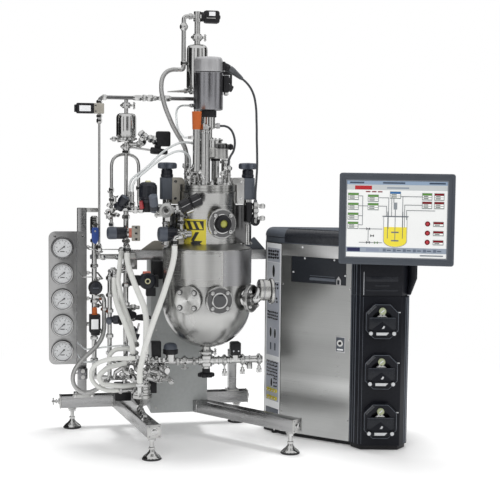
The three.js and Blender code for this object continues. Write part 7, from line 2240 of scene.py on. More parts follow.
def addStandPipes(maker):
    p = lines
    floor = p["floorHeader"]
    lx, ly = p["left"]
    mx, my = p["middle"]
    x, y = p["main"]
    ballZ, regZ = valves["ball"][2], valves["regulator"][2]
    maker.add(bar((lx, ly, floor), (lx, ly, ballZ + 20), p["pipe"], 28), polishedSteel)
    maker.add(bar((lx, ly, ballZ - 22), (lx, ly, ballZ + 18), 13, 6, edge=2), polishedSteel)
    for z in (ballZ - 24, ballZ + 18, 640, 560, 448, 330, 260):
        maker.add(union((lx, ly, z), (0, 0, 1), 12.5, 11), polishedSteel)
    maker.add(bar((lx, ly, ballZ + 18), (lx, ly, ballZ + 20), 10, 24), polishedSteel)
    maker.add(bar((lx, ly, ballZ), (lx, valves["ball"][1], ballZ), 5, 20), polishedSteel)
    maker.add(bar((lx, ly, regZ), (lx, valves["regulator"][1], regZ), 15, 32), polishedSteel)
    maker.add(collar((lx, ly - 26, regZ), (0, 1, 0), 18, 5, 32), tanBody)
    maker.add(hexagon((lx, ly, regZ - 26), (0, 0, 1), 15, 12), polishedSteel)
    # orange cap over the labelled coil
    maker.add(bar((lx, ly - 19, 408), (lx, ly - 19, 430), 8, 24, 7), orangeSilicone)
    maker.add(bar((lx, ly - 19, 404), (lx, ly - 19, 411), 12, 24, 9), orangeSilicone)
    addCoil(maker, (lx - 17, ly - 36, 352), (lx + 17, ly - 2, 408))
    maker.add(bar((lx + 2, ly - 19, 342), (lx + 2, ly - 19, 354), 14, 24, 16), blackNylon)
    middle = [(x, y, 545), (mx, my, 545), (mx, my, floor)]
    maker.add(pipe(middle, p["pipe"] - 1, 16, 22), polishedSteel)
    for z, length in ((524, 12), (470, 10), (420, 12), (340, 12), (286, 10)):
        maker.add(union((mx, my, z), (0, 0, 1), 12, length), polishedSteel)
    # black turn handles on the middle pipe
    knob = [(0, 0), (9, 0), (10, 2), (10, 12), (14, 15), (14.4, 28), (12, 34), (0, 35)]
    maker.add(aimed(knob, (mx, my, 392), (34, -20, 2), 10), knobPlastic)
    maker.add(moved(lobedKnob(17, 3, 9, 0.4), pointing((mx + 30, my - 18, 393), (34, -20, 2))), blackNylon)
    maker.add(bar((mx, my, 392), (mx - 4, my - 24, 388), 11, 24, 9), slateKnob)
    maker.add(bar((x, y, floor), (x, y, p["split"] - 0.3), p["pipe"], 28), polishedSteel)
    maker.add(clamp((x, y, p["split"] - 3.5), (0, 0, 1), p["clamp"], None, 5), polishedSteel)
    for z, length in ((500, 12), (440, 10), (380, 12), (300, 12), (240, 10)):
        maker.add(union((x, y, z), (0, 0, 1), 12.5, length), polishedSteel)
    # arm to the lower actuator, its stub and a second lever valve below it
    ax, ay, az = valves["actuator"][:3]
    maker.add(bar((x, y, az), (ax, y, az), p["pipe"], 24), polishedSteel)
    maker.add(bar((ax, y + 4, az), (ax, ay + 0.3, az), 14, 32), polishedSteel)
    maker.add(union((-216, y, az), (1, 0, 0), 12, 12), polishedSteel)
    for z, reach in ((430, 40), (396, 52)):
        maker.add(bar((x, y, z), (x + reach, y - 20, z), 6, 20), polishedSteel)
        maker.add(union((x + 22, y - 11, z), (1, -0.4, 0), 11, 13), polishedSteel)
    lever = [(0, -6), (24, -9), (52, -4), (50, 6), (20, 12), (0, 8)]
    maker.add(shifted(upright(lever, -4, 3, 1.6), (x + 26, y - 26, 398)), blackNylon)
    maker.add(bar((x + 40, y - 22, 380), (x + 30, y - 24, 342), 3, 14), polishedSteel)
    maker.add(bar((x + 32, y - 24, 348), (x + 28, y - 25, 330), 11, 10, 9), knobPlastic)


def addFloorLines(maker):
    p = lines
    z, ear, floor = 266, 26, p["floorHeader"]
    # elbows, rings and unions that crowd the lower left
    for k in range(11):
        at = -268 + k * 15
        depth = -20 + 26 * math.sin(k * 2.3)
        rise = floor + 26 + 20 * math.sin(k * 1.7)
        maker.add(union((at, depth, rise), (math.cos(k * 1.3), 0.4 * math.sin(k), math.sin(k * 2.1) + 0.3),
                        10 + (k % 3) * 1.6, 11 + (k % 2) * 4), polishedSteel)
    for route in (((-262, 10, 262), (-262, -16, 240), (-232, -34, 232), (-204, -20, 214), (-204, 20, 205)),
                  ((-226, 0, 262), (-226, -30, 250), (-196, -44, 226), (-166, -30, 214), (-150, 30, 210)),
                  ((-186, 0, 262), (-186, -34, 246), (-150, -36, 236), (-128, -10, 222), (-120, 34, 208)),
                  ((-260, 60, 205), (-286, 30, 216), (-286, 4, 236), (-262, -6, 252)),
                  ((-206, 0, 266), (-206, -22, 230), (-214, -30, 196), (-212, 10, 178))):
        maker.add(swept(rounded(route, 12, 6), 6.4, 20), polishedSteel)
    for at, depth, rise, way in ((-240, -24, 238, (1, -0.3, 0)), (-196, -38, 232, (1, 0.2, -0.4)),
                                 (-160, -34, 228, (1, 0.6, 0)),
                                 (-206, -26, 212, (0, 0, 1)), (-130, -14, 240, (0.4, -1, 0))):
        maker.add(clamp((at, depth, rise), way, 15, (0, -1, -0.4), 10), polishedSteel)
    low = [(*p["left"], floor), (*p["middle"], floor), (*p["main"], floor), (-205, 60, floor),
           (-110, p["floorY"], floor)]
    maker.add(pipe(low, p["pipe"], 10, 24), polishedSteel)
    high = [(*p["middle"], z), (-262, 0, z), (-ear - 0.3, 0, z)]
    maker.add(pipe(high, p["pipe"] + 1, 30, 24), polishedSteel)
    for at, radius, length in ((-248, 15, 9), (-226, 14, 12), (-206, 15, 10), (-186, 14, 12), (-150, 16, 8),
                               (-136, 14, 10),
                               (-92, 14, 10), (-40, 14, 9)):
        maker.add(union((at, 0, z), (1, 0, 0), radius, length), polishedSteel)
    for at, length in ((-226, 12), (-180, 12), (-140, 10)):
        share = (at + 205) / 95
        maker.add(union((at, 60 - 30 * max(0, share), floor), (1, -0.2, 0), 12, length), polishedSteel)
    # valve with a black collar and a grey dome
    maker.add(bar((-114, 0, z), (-114, 0, z + 26), 15, 32), polishedSteel)
    maker.add(bar((-114, 0, z + 24), (-114, 0, z + 40), 24, 40, 24, 2), blackNylon)
    dome = [(0, 0), (21, 0), (22, 2), (22, 6), (20.6, 12), (16.6, 17), (10, 20), (0, 21)]
    maker.add(shifted(turned(dome, 40), (-114, 0, z + 39)), slateKnob)
    maker.add(block((-172, 6, z + 12), (-142, 34, z + 62), 2.4), blackNylon)
    maker.add(bar((-157, 10, z), (-157, 14, z + 14), 9, 24), polishedSteel)
    trap = [(0, 116), (12, 116), (13, 118), (18, 124), (27, 136), (32, 142), (32, 152), (30, 154),
            (30, 160), (32, 162), (32, 170),
            (30, 172), (30, 178), (32, 180), (32, 188), (24, 194), (14, 196), (14, 198), (0, 198)]
    maker.add(shifted(turned(trap, 48), (-196, 60, 0)), bowlSteel)
    maker.add(bar((-196, 60, 190), (-196, 58, floor), 9, 24), polishedSteel)
    maker.add(grown(boltCircle, polishedSteel, count=6, circle=24.0, size=3.2, height=4.0, sides=6,
                    dome=0.0), polishedSteel,
              Matrix.Translation((-196, 60, 190)))
    maker.add(pipe([(-196, 60, 130), (-204, 20, 118), (-212, -60, 116), (-212, -140, 116)], 7, 20, 20),
              polishedSteel)
    for depth in (0, -44, -96, -130):
        maker.add(union((-208 - depth * -0.02, depth, 117), (0, 1, 0), 11.5, 13), polishedSteel)
    maker.add(bar((*p["main"], floor), (-250, 112, 165), p["pipe"], 24), polishedSteel)
    maker.add(block((-278, 96, 124), (-226, 140, 180), 3), blackNylon)
    maker.add(block((-272, 94.6, 130), (-232, 96.4, 172), 0.4), blackNylon)
    maker.add(block((-176, 48, 156), (-150, 84, 196), 2.4), blackNylon)
    for at in (-170, -70):
        maker.add(clamp((at, 0, z), (1, 0, 0), p["clamp"] + 2, (0, -1, -0.6), 12), polishedSteel)
    maker.add(bar((-160, 45, floor), (-160, 0, z), p["pipe"] - 2, 22), polishedSteel)
    fittings = [
        [(*p["left"], 462), (-314, 82, 462), (-314, 82, 418)],
        [(*p["middle"], floor), (-314, 60, 188), (-328.5, 60, 179.6)],
        [(-196, 58, 176), (-220, -80, 176), (-220, -80, 216)],
        [(-198, 0, z), (-198, -48, 280), (-198, -48, 300)],
        [(*p["middle"], 545), (-286, 40, 552), (-286, 40, 530)],
        [(-237, 0, z), (-237, -36, 280), (-237, -36, 300)],
        [(-216, 0, z), (-216, -64, 290), (-232, -64, 290)],
        [(-196, 60, 176), (-240, 14, 176), (-275, 14, 176)],
    ]
    for route in fittings:
        maker.add(pipe(route, 7, 14, 20), polishedSteel)
        end, before = Vector(route[-1]), Vector(route[-2])
        way = (end - before).normalized()
        maker.add(union(end - way * 6, way, 11.5, 9), polishedSteel)
        maker.add(union(Vector(route[0]).lerp(before, 0.72), before - Vector(route[0]), 11, 11),
                  polishedSteel)


# Spare hoses tied up with the steam hoses, and the thin lines behind them.
def addHoses(maker):
    for route, radius in ((((-262, 62, 612), (-268, 34, 590), (-276, 26, 520), (-262, 30, 450),
                            (-236, 24, 380), (-222, 10, 320)), 7.6),
                          (((-214, 14, 262), (-250, -4, 266), (-310, -8, 254), (-342, -4, 226),
                            (-326, 4, 198), (-262, 8, 190),
                            (-214, 12, 194)), 8),
                          (((-300, 44, 250), (-304, 34, 282), (-286, 26, 304), (-246, 22, 306),
                            (-222, 22, 292)), 7)):
        maker.add(swept(rounded(route, 26, 8), radius, 18), whiteSilicone)
        for at, after in ((route[0], route[1]), (route[-1], route[-2])):
            maker.add(union(at, Vector(after) - Vector(at), radius + 3, 12), polishedSteel)
    for route in (((-388, 250, 252), (-378, 120, 250), (-330, 44, 262), (-262, 40, 268), (-230, 30, 270)),
                  ((-386, 248, 292), (-372, 120, 290), (-318, 60, 306), (-262, 50, 312), (-224, 34, 306))):
        maker.add(swept(rounded(route, 40, 8), 2.6, 12), clearVinyl)
    maker.add(moved(lobedKnob(21, 3, 11, 0.3), pointing((-238, 44, 409), (0.2, -1, 0.15))), blackNylon)
    maker.add(bar((-244, 74, 409), (-238, 44, 409), 8, 24), polishedSteel)
    maker.add(moved(lobedKnob(12, 4, 9, 0.3), pointing((-226, 38, 362), (0.3, -1, 0.2))), knobPlastic)
    maker.add(bar((-244, 74, 366), (-226, 40, 362), 4, 16), polishedSteel)


lower = Maker("lowerManifold")
addStandPipes(lower)
addFloorLines(lower)
addHoses(lower)
lower.done("frame", "lower_manifold", "stainless_polished")
print("lower manifold made")


def makeCondensate():
    maker = Maker("condensateLine")
    z, ear, right = 266, 26, 176
    maker.add(bar((ear + 0.3, 0, z), (right, 0, z), 11, 32), polishedSteel)
    for i, at in enumerate((58, 116, right - 6)):
        maker.add(clamp((at, 0, z), (1, 0, 0), 18, None, 12), polishedSteel)
        # swing bolt and wing nut, hanging below the band
        foot = z - 50 + i * 4
        maker.add(bar((at, -4, z - 14), (at, -6, foot), 2.6, 14), polishedSteel)
        maker.add(bar((at, -5.4, foot + 22), (at, -5.8, foot + 10), 6, 18, 4.4), polishedSteel)
        for side in (-1, 1):
            wing = [(at + side * 2, foot + 12), (at + side * 8, foot + 16), (at + side * 9, foot + 2),
                    (at + side * 4, foot - 1)]
            maker.add(upright(wing, -8, -4, 1), polishedSteel)
    for at, radius in ((40, 14), (76, 15), (140, 13)):
        maker.add(collar((at, 0, z), (1, 0, 0), radius, 5, 32), polishedSteel)
    maker.add(bar((93, 0, z), (93, 0, z + 18), 13, 28), polishedSteel)
    maker.add(block((77, -16, z + 16), (109, 16, z + 56), 2.4), blackNylon)
    maker.add(block((81, -13, z + 55), (105, 13, z + 58), 1), blackNylon)
    for across in (-8, 8):
        maker.add(bar((93 + across, -15.4, z + 30), (93 + across, -16.9, z + 30), 2.4, 12), silverPaint)
    maker.done("frame", "condensate_line", "stainless_polished")


# ---- knobs and levers that turn ----


def makeKnob(name, place, way, radius, length, finish, cap=None, flutes=12):
    maker = Maker(name, skidPlace @ pointing(place, way))
    maker.add(handKnob(radius, length, flutes), finish)
    if cap:
        crown = [(0, length - 0.5), (radius * 0.8, length - 0.5), (radius * 0.7, length + 0.4),
                 (0, length + 0.4)]
        if cap is slateKnob:
            crown = [(0, length * 0.52), (radius * 1.03, length * 0.52), (radius * 1.05, length - 9),
                     (radius * 0.98, length - 4),
                     (radius * 0.8, length - 0.6), (radius * 0.5, length + 0.8), (0, length + 1.2)]
        maker.add(turned(crown, 48), cap)
    return maker


def makeKnobs():
    x, y, z, r, length = valves["dome"]
    maker = makeKnob("valveKnobTop", (x, y, z + 0.3), (0, 0, 1), r, length, knobPlastic)
    crown = [(0, length - 1), (24, length - 1), (22, length + 2.4), (17, length + 4.6), (10, length + 5.8),
             (0, length + 6)]
    maker.add(turned(crown, 48), knobPlastic)
    maker.add(turned([(0, length + 5), (9, length + 5), (8.6, length + 8.8), (5.6, length + 10),
                      (0, length + 10.4)], 28), yellowCap)
    maker.done("valve_knob_top", "valve_knob_top", "knob_plastic")
    x, y, z, r, length = valves["left"]
    maker = makeKnob("valveKnobLeft", (x - 0.3, y, z), (-1, 0, 0), r, length, knobPlastic, slateKnob)
    maker.done("valve_knob_left", "valve_knob_left", "knob_plastic")
    x, y, z, r, length = valves["middle"]
    maker = makeKnob("valveKnobMiddle", (x - 0.3, y, z), (-1, 0, 0), r, length, knobPlastic, slateKnob)
    maker.done("valve_knob_middle", "valve_knob_middle", "knob_plastic")
    x, y, z, r, length = valves["regulator"]
    maker = makeKnob("regulatorKnob", (x, y - 0.3, z), (0, -1, 0), r, length, blackNylon, knobPlastic, 20)
    maker.add(block((-9, -1.2, length), (9, 1.2, length + 0.9), 0.3), slateKnob)
    maker.done("regulator_knob", "regulator_knob", "black_plastic")

    x, y, z, r, length = valves["actuator"]
    maker = Maker("lowerActuator", skidPlace @ Matrix.Translation((x, y, z)) @ Matrix.Rotation(math.pi / 2,
        4, "X"))
    cup = [(0, 0), (r - 3, 0), (r, 3), (r, length - 7), (r - 2, length - 3), (r - 4, length - 1.4),
           (r - 9, length), (0, length)]
    maker.add(turned(cup, 64), knobPlastic)
    maker.add(turned([(5.4, length - 0.4), (9, length - 0.4), (8.6, length + 0.9), (5.8, length + 0.9)], 32,
                     closed=True), yellowCap)
    maker.add(turned([(0, length - 0.4), (4, length - 0.4), (3.4, length + 0.9), (0, length + 0.9)], 24),
              blackNylon)
    maker.add(block((-4, -48, 2), (26, -r + 6, length - 2), 2.4), blackNylon)
    maker.add(block((-r - 32, -14, 3), (-r + 5, 18, length - 3), 2.4), blackNylon)
    maker.add(block((-14, r - 5, 4), (10, r + 3, length - 5), 2), labelRed)
    maker.add(block((r - 4, -20, 3), (r + 8, 18, length - 6), 2), blackNylon)
    maker.done("frame", "lower_actuator", "knob_plastic")

    x, y, z = valves["ball"]
    maker = Maker("ballLever", skidPlace @ Matrix.Translation((x, y - 0.3, z)))
    maker.add(bar((0, 0, 0), (0, -8, 0), 9.6, 6, edge=1), polishedSteel)
    maker.add(bar((0, -7.6, 0), (0, -9, 0), 5, 20), polishedSteel)
    maker.add(upright([(-6, -16), (6, -16), (6, 3), (-6, 3)], -7, -2, 0.8), plateSteel)
    grip = [(-9, -8), (9, -8), (10.5, -14), (11, -30), (10.5, -46), (7, -56), (2.5, -60), (-2.5, -60),
            (-7, -56), (-10.5, -46),
            (-11, -30), (-10.5, -14)]
    maker.add(upright(grip, -7.6, -1.4, 1.8), bluePlastic)
    maker.add(bar((0, -7.4, -20), (0, -8.2, -20), 3, 16), plateSteel)
    maker.done("ball_valve_lever", "ball_valve_lever", "lever_blue")


makeCondensate()
makeKnobs()
print("valves and knobs made")

# ---- skid: beams, legs, feet, pedestal, yoke ----

padRubber = moulded("padRubber", (0.012, 0.012, 0.013), (0.028, 0.028, 0.03), 600, 0.5, 0.7, 0.15, 0.2)
pedestalSheet = moulded("pedestalSheet", (0.33, 0.345, 0.345), (0.42, 0.435, 0.43), 420, 0.42, 0.56, 0.1,
                        0.3)
dialWhite = moulded("dialWhite", (0.66, 0.67, 0.68), (0.76, 0.77, 0.78), 500, 0.3, 0.4, 0.03, 0)
bezelSteel = steel("bezelSteel", (0.14, 0.14, 0.145), (0.3, 0.3, 0.31), (60, 60, 60), 0.2, 0.34, 0.05)
inkBlack = moulded("inkBlack", (0.01, 0.01, 0.01), (0.02, 0.02, 0.02), 900, 0.4, 0.5, 0.02, 0)

skid = {"tube": 40, "bottom": 70, "beamY": 288, "left": -440, "right": 190, "cap": 4, "bolt": 9, "foot": 30,
        "rearFeet": (-402, 157), "postX": 140, "post": 27, "inset": 24}
pedestal = {"left": -157, "right": 30, "front": 146}
yoke = {"bottom": 572, "top": 604, "front": 150, "back": 190, "left": -232, "saddle": 90, "right": 160.2}
board = {"postX": -370, "post": 30, "top": 734, "left": -479, "plateTop": 658, "plateBottom": 217,
         "plate": 4, "corner": 22,
         "gaugeX": -435, "first": 604, "pitch": 85.5, "count": 5, "bezel": 37, "dial": 31, "depth": 14,
         "can": 24}


def addFoot(maker, x, y):
    place = Matrix.Translation((x, y, 0))
    r = skid["foot"]
    pad = [(0, 0), (r - 1.4, 0), (r - 0.4, 1), (r - 0.4, 4), (r - 2, 5.4), (0, 5.4)]
    cone = [(0, 4), (r - 3, 4), (r - 2, 6), (r - 3, 8), (r - 8, 13), (15, 18), (10.4, 24), (8.6, 28),
            (8, 32), (0, 33)]
    maker.add(moved(turned(pad, 48), place), padRubber)
    maker.add(moved(turned(cone, 56), place), polishedSteel)
    maker.add(moved(turned([(0, 30), (6.4, 30), (6.4, 58), (0, 58)], 28), place), polishedSteel)
    maker.add(hexagon((x, y, 31), (0, 0, 1), 10, 7), polishedSteel)
    maker.add(hexagon((x, y, 56), (0, 0, 1), 12, 8), polishedSteel)
    maker.add(bar((x, y, 63), (x, y, skid["bottom"] + 1), 14, 32), brushedSteel)


# A plan strip of the tube's width between two distances along a line.
def stripOutline(tip, along, start, end, half):
    across = Vector((-along.y, along.x)) * half
    near, far = tip + along * start, tip + along * end
    return [tuple(near + across), tuple(near - across), tuple(far - across), tuple(far + across)]


def makeLeg(name, node, start, end, wall):
    s = skid
    maker = Maker(name)
    tip = Vector(end)
    root = Vector((start, wall))
    along = (tip - root).normalized()
    half, low, high = s["tube"] / 2, s["bottom"], s["bottom"] + s["tube"]
    # mitred where it meets the wall behind it
    corner = Vector((-along.y, along.x)) * half
    left = tip + corner + along * ((wall - (tip + corner).y) / along.y)
    right = tip - corner + along * ((wall - (tip - corner).y) / along.y)
    outline = [tuple(left), tuple(right), tuple(tip - corner), tuple(tip + corner)]
    maker.add(slab(outline, low, high, 2.4), legSteel)
    maker.add(slab(stripOutline(tip, along, -0.6, s["cap"], half + 1), low - 1, high + 1, 1.2), plateSteel)
    middle = Vector((tip.x, tip.y, (low + high) / 2))
    way = Vector((along.x, along.y, 0))
    maker.add(bar(middle + way * (s["cap"] - 0.6), middle + way * (s["cap"] + 2), s["bolt"] + 3, 36),
              polishedSteel)
    maker.add(hexagon(middle + way * (s["cap"] + 1.6), way, s["bolt"], 3.6), polishedSteel)
    for side in (-1, 1):
        for up in (-1, 1):
            at = middle + way * (s["cap"] - 0.2) + Vector((-way.y, way.x, 0)) * side * 15 + Vector((0, 0,
                up * 15))
            maker.add(bar(at, at + way * 1.0, 1.8, 12), bezelSteel)
    foot = tip - along * s["inset"]
    addFoot(maker, foot.x, foot.y)
    # the weld where it joins
    maker.add(slab(stripOutline((left + right) / 2, along, 1.2, 5, half + 1.4), low + 1, high + 0.8, 1),
              polishedSteel)
    maker.done("frame", node, "stainless_brushed")


def makeBeam():
    s = skid
    maker = Maker("baseBeam")
    half, low, high, y = s["tube"] / 2, s["bottom"], s["bottom"] + s["tube"], s["beamY"]
    middle = (low + high) / 2
    maker.add(block((s["left"], y - half, low), (s["right"], y + half, high), 2.4), legSteel)
    for x, out in ((s["left"], -1), (s["right"], 1)):
        near, far = sorted((x - out * 0.6, x + out * s["cap"]))
        maker.add(block((near, y - half - 1, low - 1), (far, y + half + 1, high + 1), 1.2), plateSteel)
        maker.add(bar((x + out * (s["cap"] - 0.5), y, middle), (x + out * (s["cap"] + 1.6), y, middle),
                      s["bolt"] + 2, 32), polishedSteel)
        maker.add(hexagon((x + out * (s["cap"] + 1.4), y, middle), (out, 0, 0), s["bolt"], 3.6),
                  polishedSteel)
    x = s["left"] - s["cap"]
    maker.add(bar((x, y, middle), (s["left"] - 30, y, middle), 3.6, 20), polishedSteel)
    maker.add(bar((s["left"] - 22, y, middle), (s["left"] - 27, y, middle), 12, 32), polishedSteel)
    maker.add(hexagon((s["left"] - 12, y, middle), (-1, 0, 0), 7, 5), polishedSteel)
    # clamp bracket where the gauge post stands on the beam
    maker.add(block((-402, y - half - 5, high - 6), (-330, y - half + 1, high + 6), 1), plateSteel)
    for at in (-394, -338):
        maker.add(hexagon((at, y - half - 4.6, high), (0, -1, 0), 6, 4), polishedSteel)
    px, ph = s["postX"], s["post"] / 2
    top = 266 - 11 - 0.3
    maker.add(block((px - ph, y - ph, high - 1), (px + ph, y + ph, top - 4), 2), legSteel)
    maker.add(block((px - ph - 8, y - ph - 4, high - 0.4), (px + ph + 8, y + ph + 4, high + 5), 1),
              plateSteel)
    maker.add(bar((px, y, top - 12), (px, -4, top - 12), 6, 24), polishedSteel)
    saddle = [(0, top - 18), (9, top - 18), (9, top - 4), (8, top), (0, top)]
    maker.add(shifted(turned(saddle, 32), (px, 0, 0)), polishedSteel)
    for x in s["rearFeet"]:
        addFoot(maker, x, y)
    maker.done("frame", "base_beam", "stainless_brushed")


def makePedestal():
    p = pedestal
    low, high = skid["bottom"], yoke["bottom"] - 0.3
    back = skid["beamY"] - skid["tube"] / 2 - 0.3
    maker = Maker("pedestalColumn")
    maker.add(block((p["left"], p["front"], low), (p["right"], back, high), 3), pedestalSheet)
    # a hinge seam and corner screws on the front sheet
    maker.add(block((p["left"] + 8, p["front"] - 0.6, low + 8), (p["right"] - 8, p["front"] + 2, 330), 0.6),
              pedestalSheet)
    maker.add(block((p["left"] + 8, p["front"] - 0.6, 334), (p["right"] - 8, p["front"] + 2, high - 8),
                    0.6), pedestalSheet)
    for x in (p["left"] + 16, p["right"] - 16):
        for z in (low + 18, 320, 344, high - 18):
            maker.add(bar((x, p["front"] - 0.2, z), (x, p["front"] - 2, z), 3.6, 16, 3), plateSteel)
    maker.done("frame", "pedestal_column", "sheet_grey")


def makeYoke():
    y = yoke
    maker = Maker("supportBeam")
    low, high = y["bottom"], y["top"]
    right = (consolePoint(cabinet["strip"]) - Vector((stirrer.x, stirrer.y, 0)) * 1000).x - 0.3
    maker.add(block((y["left"], y["front"], low), (right, y["back"], high), 2.4), legSteel)
    maker.add(block((-45, 136.5, low), (45, y["front"] + 1, high), 1), plateSteel)
    maker.add(block((y["left"], y["front"], low - 30), (y["left"] + 30, y["back"], low + 1), 1.6),
              plateSteel)
    maker.add(hexagon((y["left"] + 15, y["front"], low - 15), (0, -1, 0), 8, 5), polishedSteel)
    # a junction box hung from the beam
    maker.add(block((-157, 92, low - 56), (-127, y["front"] + 6, low + 2), 2), blackNylon)
    tan = [(-190, high - 1), (-100, high - 1), (-100, high + 24), (-106, high + 30), (-144, high + 30),
           (-152, high + 27)]
    maker.add(upright(tan, 164, 170, 1.4), tanBody)
    dark = [(150, high - 1), (right, high - 1), (188, high + 40), (184, high + 40), (150, high + 8)]
    maker.add(upright(dark, 164, 170, 1.4), slateSheet)
    front = lines["left"][1] + lines["pipe"] + 0.3
    x = lines["left"][0]
    maker.add(block((x - 10, front, low + 8), (y["left"] + 20, front + 8, high - 8), 1), plateSteel)
    maker.add(block((y["left"], front + 7, low + 8), (y["left"] + 20, y["front"] + 1, high - 8), 1),
              plateSteel)
    # pipe clips on the cross bar
    for px, _ in (lines["left"], lines["main"]):
        maker.add(block((px - 13, front - 2, low + 10), (px + 13, front + 0.6, high - 10), 0.6), slateKnob)
        for side in (-1, 1):
            maker.add(hexagon((px + side * 10, front - 1.8, (low + high) / 2), (0, -1, 0), 2.6, 2),
                      polishedSteel)
    maker.done("frame", "support_beam", "stainless_brushed")


# ---- gauge board ----


def addGauge(maker, x, z, front, reading):
    b = board
    turn = Matrix.Translation((x, front, z)) @ Matrix.Rotation(math.pi / 2, 4, "X")
    r, dial, depth = b["bezel"], b["dial"], b["depth"]
    face = depth - 5
    case = [(0, -b["plate"] - b["can"]), (dial - 1, -b["plate"] - b["can"]),
            (dial, -b["plate"] - b["can"] + 1), (dial, -1), (r - 0.6, -1),
            (r, -0.4), (r, 3), (r - 1.2, 5), (r - 1.2, depth - 4), (r - 2.2, depth - 1), (r - 4, depth),
            (dial + 0.6, depth),
            (dial, depth - 1), (dial - 0.4, face), (0, face)]
    maker.add(turned(case, 72), bezelSteel, turn)
    maker.add(turned([(r - 3.6, depth - 0.4), (r - 2.6, depth + 0.3), (dial + 1.4, depth + 0.3),
                      (dial + 0.8, depth - 0.4)], 72, closed=True),
              polishedSteel, turn)
    maker.add(turned([(0, face - 0.2), (dial - 0.8, face - 0.2), (dial - 0.8, face + 0.5), (0, face + 0.5)],
                     56), dialWhite, turn)
    marks = turn @ Matrix.Translation((0, 0, face + 0.6))
    maker.add(grown(tickArc, inkBlack, count=11, circle=24.5, begin=-math.pi / 4, sweep=1.5 * math.pi,
                    length=5.0, width=1.0),
              inkBlack, marks)
    maker.add(grown(tickArc, inkBlack, count=51, circle=26.0, begin=-math.pi / 4, sweep=1.5 * math.pi,
                    length=2.2, width=0.45),
              inkBlack, marks)
    maker.add(grown(tickArc, inkBlack, count=6, circle=18.0, begin=-math.pi / 4, sweep=1.5 * math.pi,
                    length=3.0, width=2.2),
              inkBlack, marks)
    swing = marks @ Matrix.Rotation(reading, 4, "Z")
    maker.add(slab([(-20, -0.3), (-20, 0.3), (8, 1.1), (8, -1.1)], 1.2, 1.9), inkBlack, swing)
    maker.add(bar((7, 0, 1), (7, 0, 2.6), 2.8, 20, 2.4), inkBlack, swing)
    maker.add(bar((0, 0, 0), (0, 0, 3), 1.6, 20, 1.2), inkBlack, marks)
    maker.add(slab([(-7, -13), (7, -13), (7, -10.4), (-7, -10.4)], 0, 0.25), inkBlack, marks)
    maker.add(bar((0, r - 3.4, depth - 2), (0, r - 3.4, depth + 0.8), 1.6, 10), polishedSteel, turn)
    back = Vector((x, front + b["plate"] + b["can"], z))
    maker.add(bar(back - Vector((0, 2, 0)), back + Vector((0, 8, 0)), 8, 20), polishedSteel)


def makeBoard():
    b = board
    half = b["post"] / 2
    left, right = b["postX"] - half, b["postX"] + half
    y = skid["beamY"]
    front, back = y - half, y + half
    top = skid["bottom"] + skid["tube"]
    maker = Maker("gaugePanel")
    maker.add(block((left, front, top + 0.3), (right, back, b["top"]), 2), legSteel)
    maker.add(block((left - 12, front - 4, top + 0.3), (right + 12, back + 4, top + 8), 1.2), plateSteel)
    for x in (left - 6, right + 6):
        maker.add(hexagon((x, front + 2, top + 7), (0, 0, 1), 6, 5), polishedSteel)
    maker.add(block((right - 1, y - 6, b["top"] - 14), (right + 42, y + 6, b["top"]), 1.4), plateSteel)
    maker.add(block((left + 1, front + 1, b["top"] - 0.4), (right - 1, back - 1, b["top"]), 0.1),
              blackNylon)
    c = b["corner"]
    first = [math.pi / 2 + k * math.pi / 16 for k in range(9)]
    second = [math.pi + k * math.pi / 16 for k in range(9)]
    high = [(b["left"] + c + c * math.cos(a), b["plateTop"] - c + c * math.sin(a)) for a in first]
    low = [(b["left"] + c + c * math.cos(a), b["plateBottom"] + c + c * math.sin(a)) for a in second]
    outline = [(right, b["plateTop"]), *high, *low, (right, b["plateBottom"])]
    maker.add(upright(outline, front - b["plate"], front + 1, 0.9), boardSteel)
    maker.add(block((right - 34, front - b["plate"] - 0.5, b["plateBottom"] + 1),
                    (right - 32, front - b["plate"] + 0.4, b["plateTop"] - 1), 0.2), bezelSteel)
    for z in (b["plateTop"] - 16, b["plateBottom"] + 16):
        for x in (b["left"] + 20, right - 12):
            at = Vector((x, front - b["plate"], z))
            maker.add(bar(at, at + Vector((0, -2.2, 0)), 4, 20, 3.2), polishedSteel)
    readings = (0.62, 0.66, 0.6, 0.72, 0.8)
    for i in range(b["count"]):
        z = b["first"] - i * b["pitch"]
        addGauge(maker, b["gaugeX"], z, front - b["plate"], readings[i])
        if i < b["count"] - 1:
            px, py = lines["left"]
            lineX, end = px + 26, px + lines["pipe"] + 0.3
            route = [(right - 2, y, z), (lineX, y, z), (lineX, py, z), (end, py, z)]
            maker.add(pipe(route, 3, 14, 16), polishedSteel)
            maker.add(union((right + 5, y, z), (1, 0, 0), 7, 8), polishedSteel)
            maker.add(union((end + 4, py, z), (1, 0, 0), 7, 7), polishedSteel)
    # two signal lines that leave the board and run to the pipes
    mx, my = lines["main"]
    px, py = lines["left"]
    for route in (((right - 6, front - b["plate"] + 1, 613), (right - 6, my + 4, 613),
                   (mx - 6, my + 4, 613)),
                  ((right - 26, front - b["plate"] + 1, 525), (right - 26, py - 4, 525),
                   (px, py - 4, 525))):
        maker.add(pipe(route, 1.7, 14, 12), polishedSteel)
    # a two-bolt clamp low on the post
    foot = b["plateBottom"] - 30
    maker.add(block((right - 30, front - 20, foot - 20), (right + 2, front + 0.5, foot + 18), 4),
              bezelSteel)
    for up in (-11, 9):
        maker.add(bar((right - 14, front - 19, foot + up), (right - 14, front - 24, foot + up), 7, 20),
                  plateSteel)
    maker.add(bar((right - 48, front - 10, foot), (right - 28, front - 10, foot), 2.6, 14), polishedSteel)
    maker.add(collar((right - 46, front - 10, foot), (1, 0, 0), 7, 5, 20), polishedSteel)
    maker.done("frame", "gauge_panel", "stainless_brushed")


def consolePoint(spot):
    return consolePlace @ Vector((*spot, 0)) * 1000


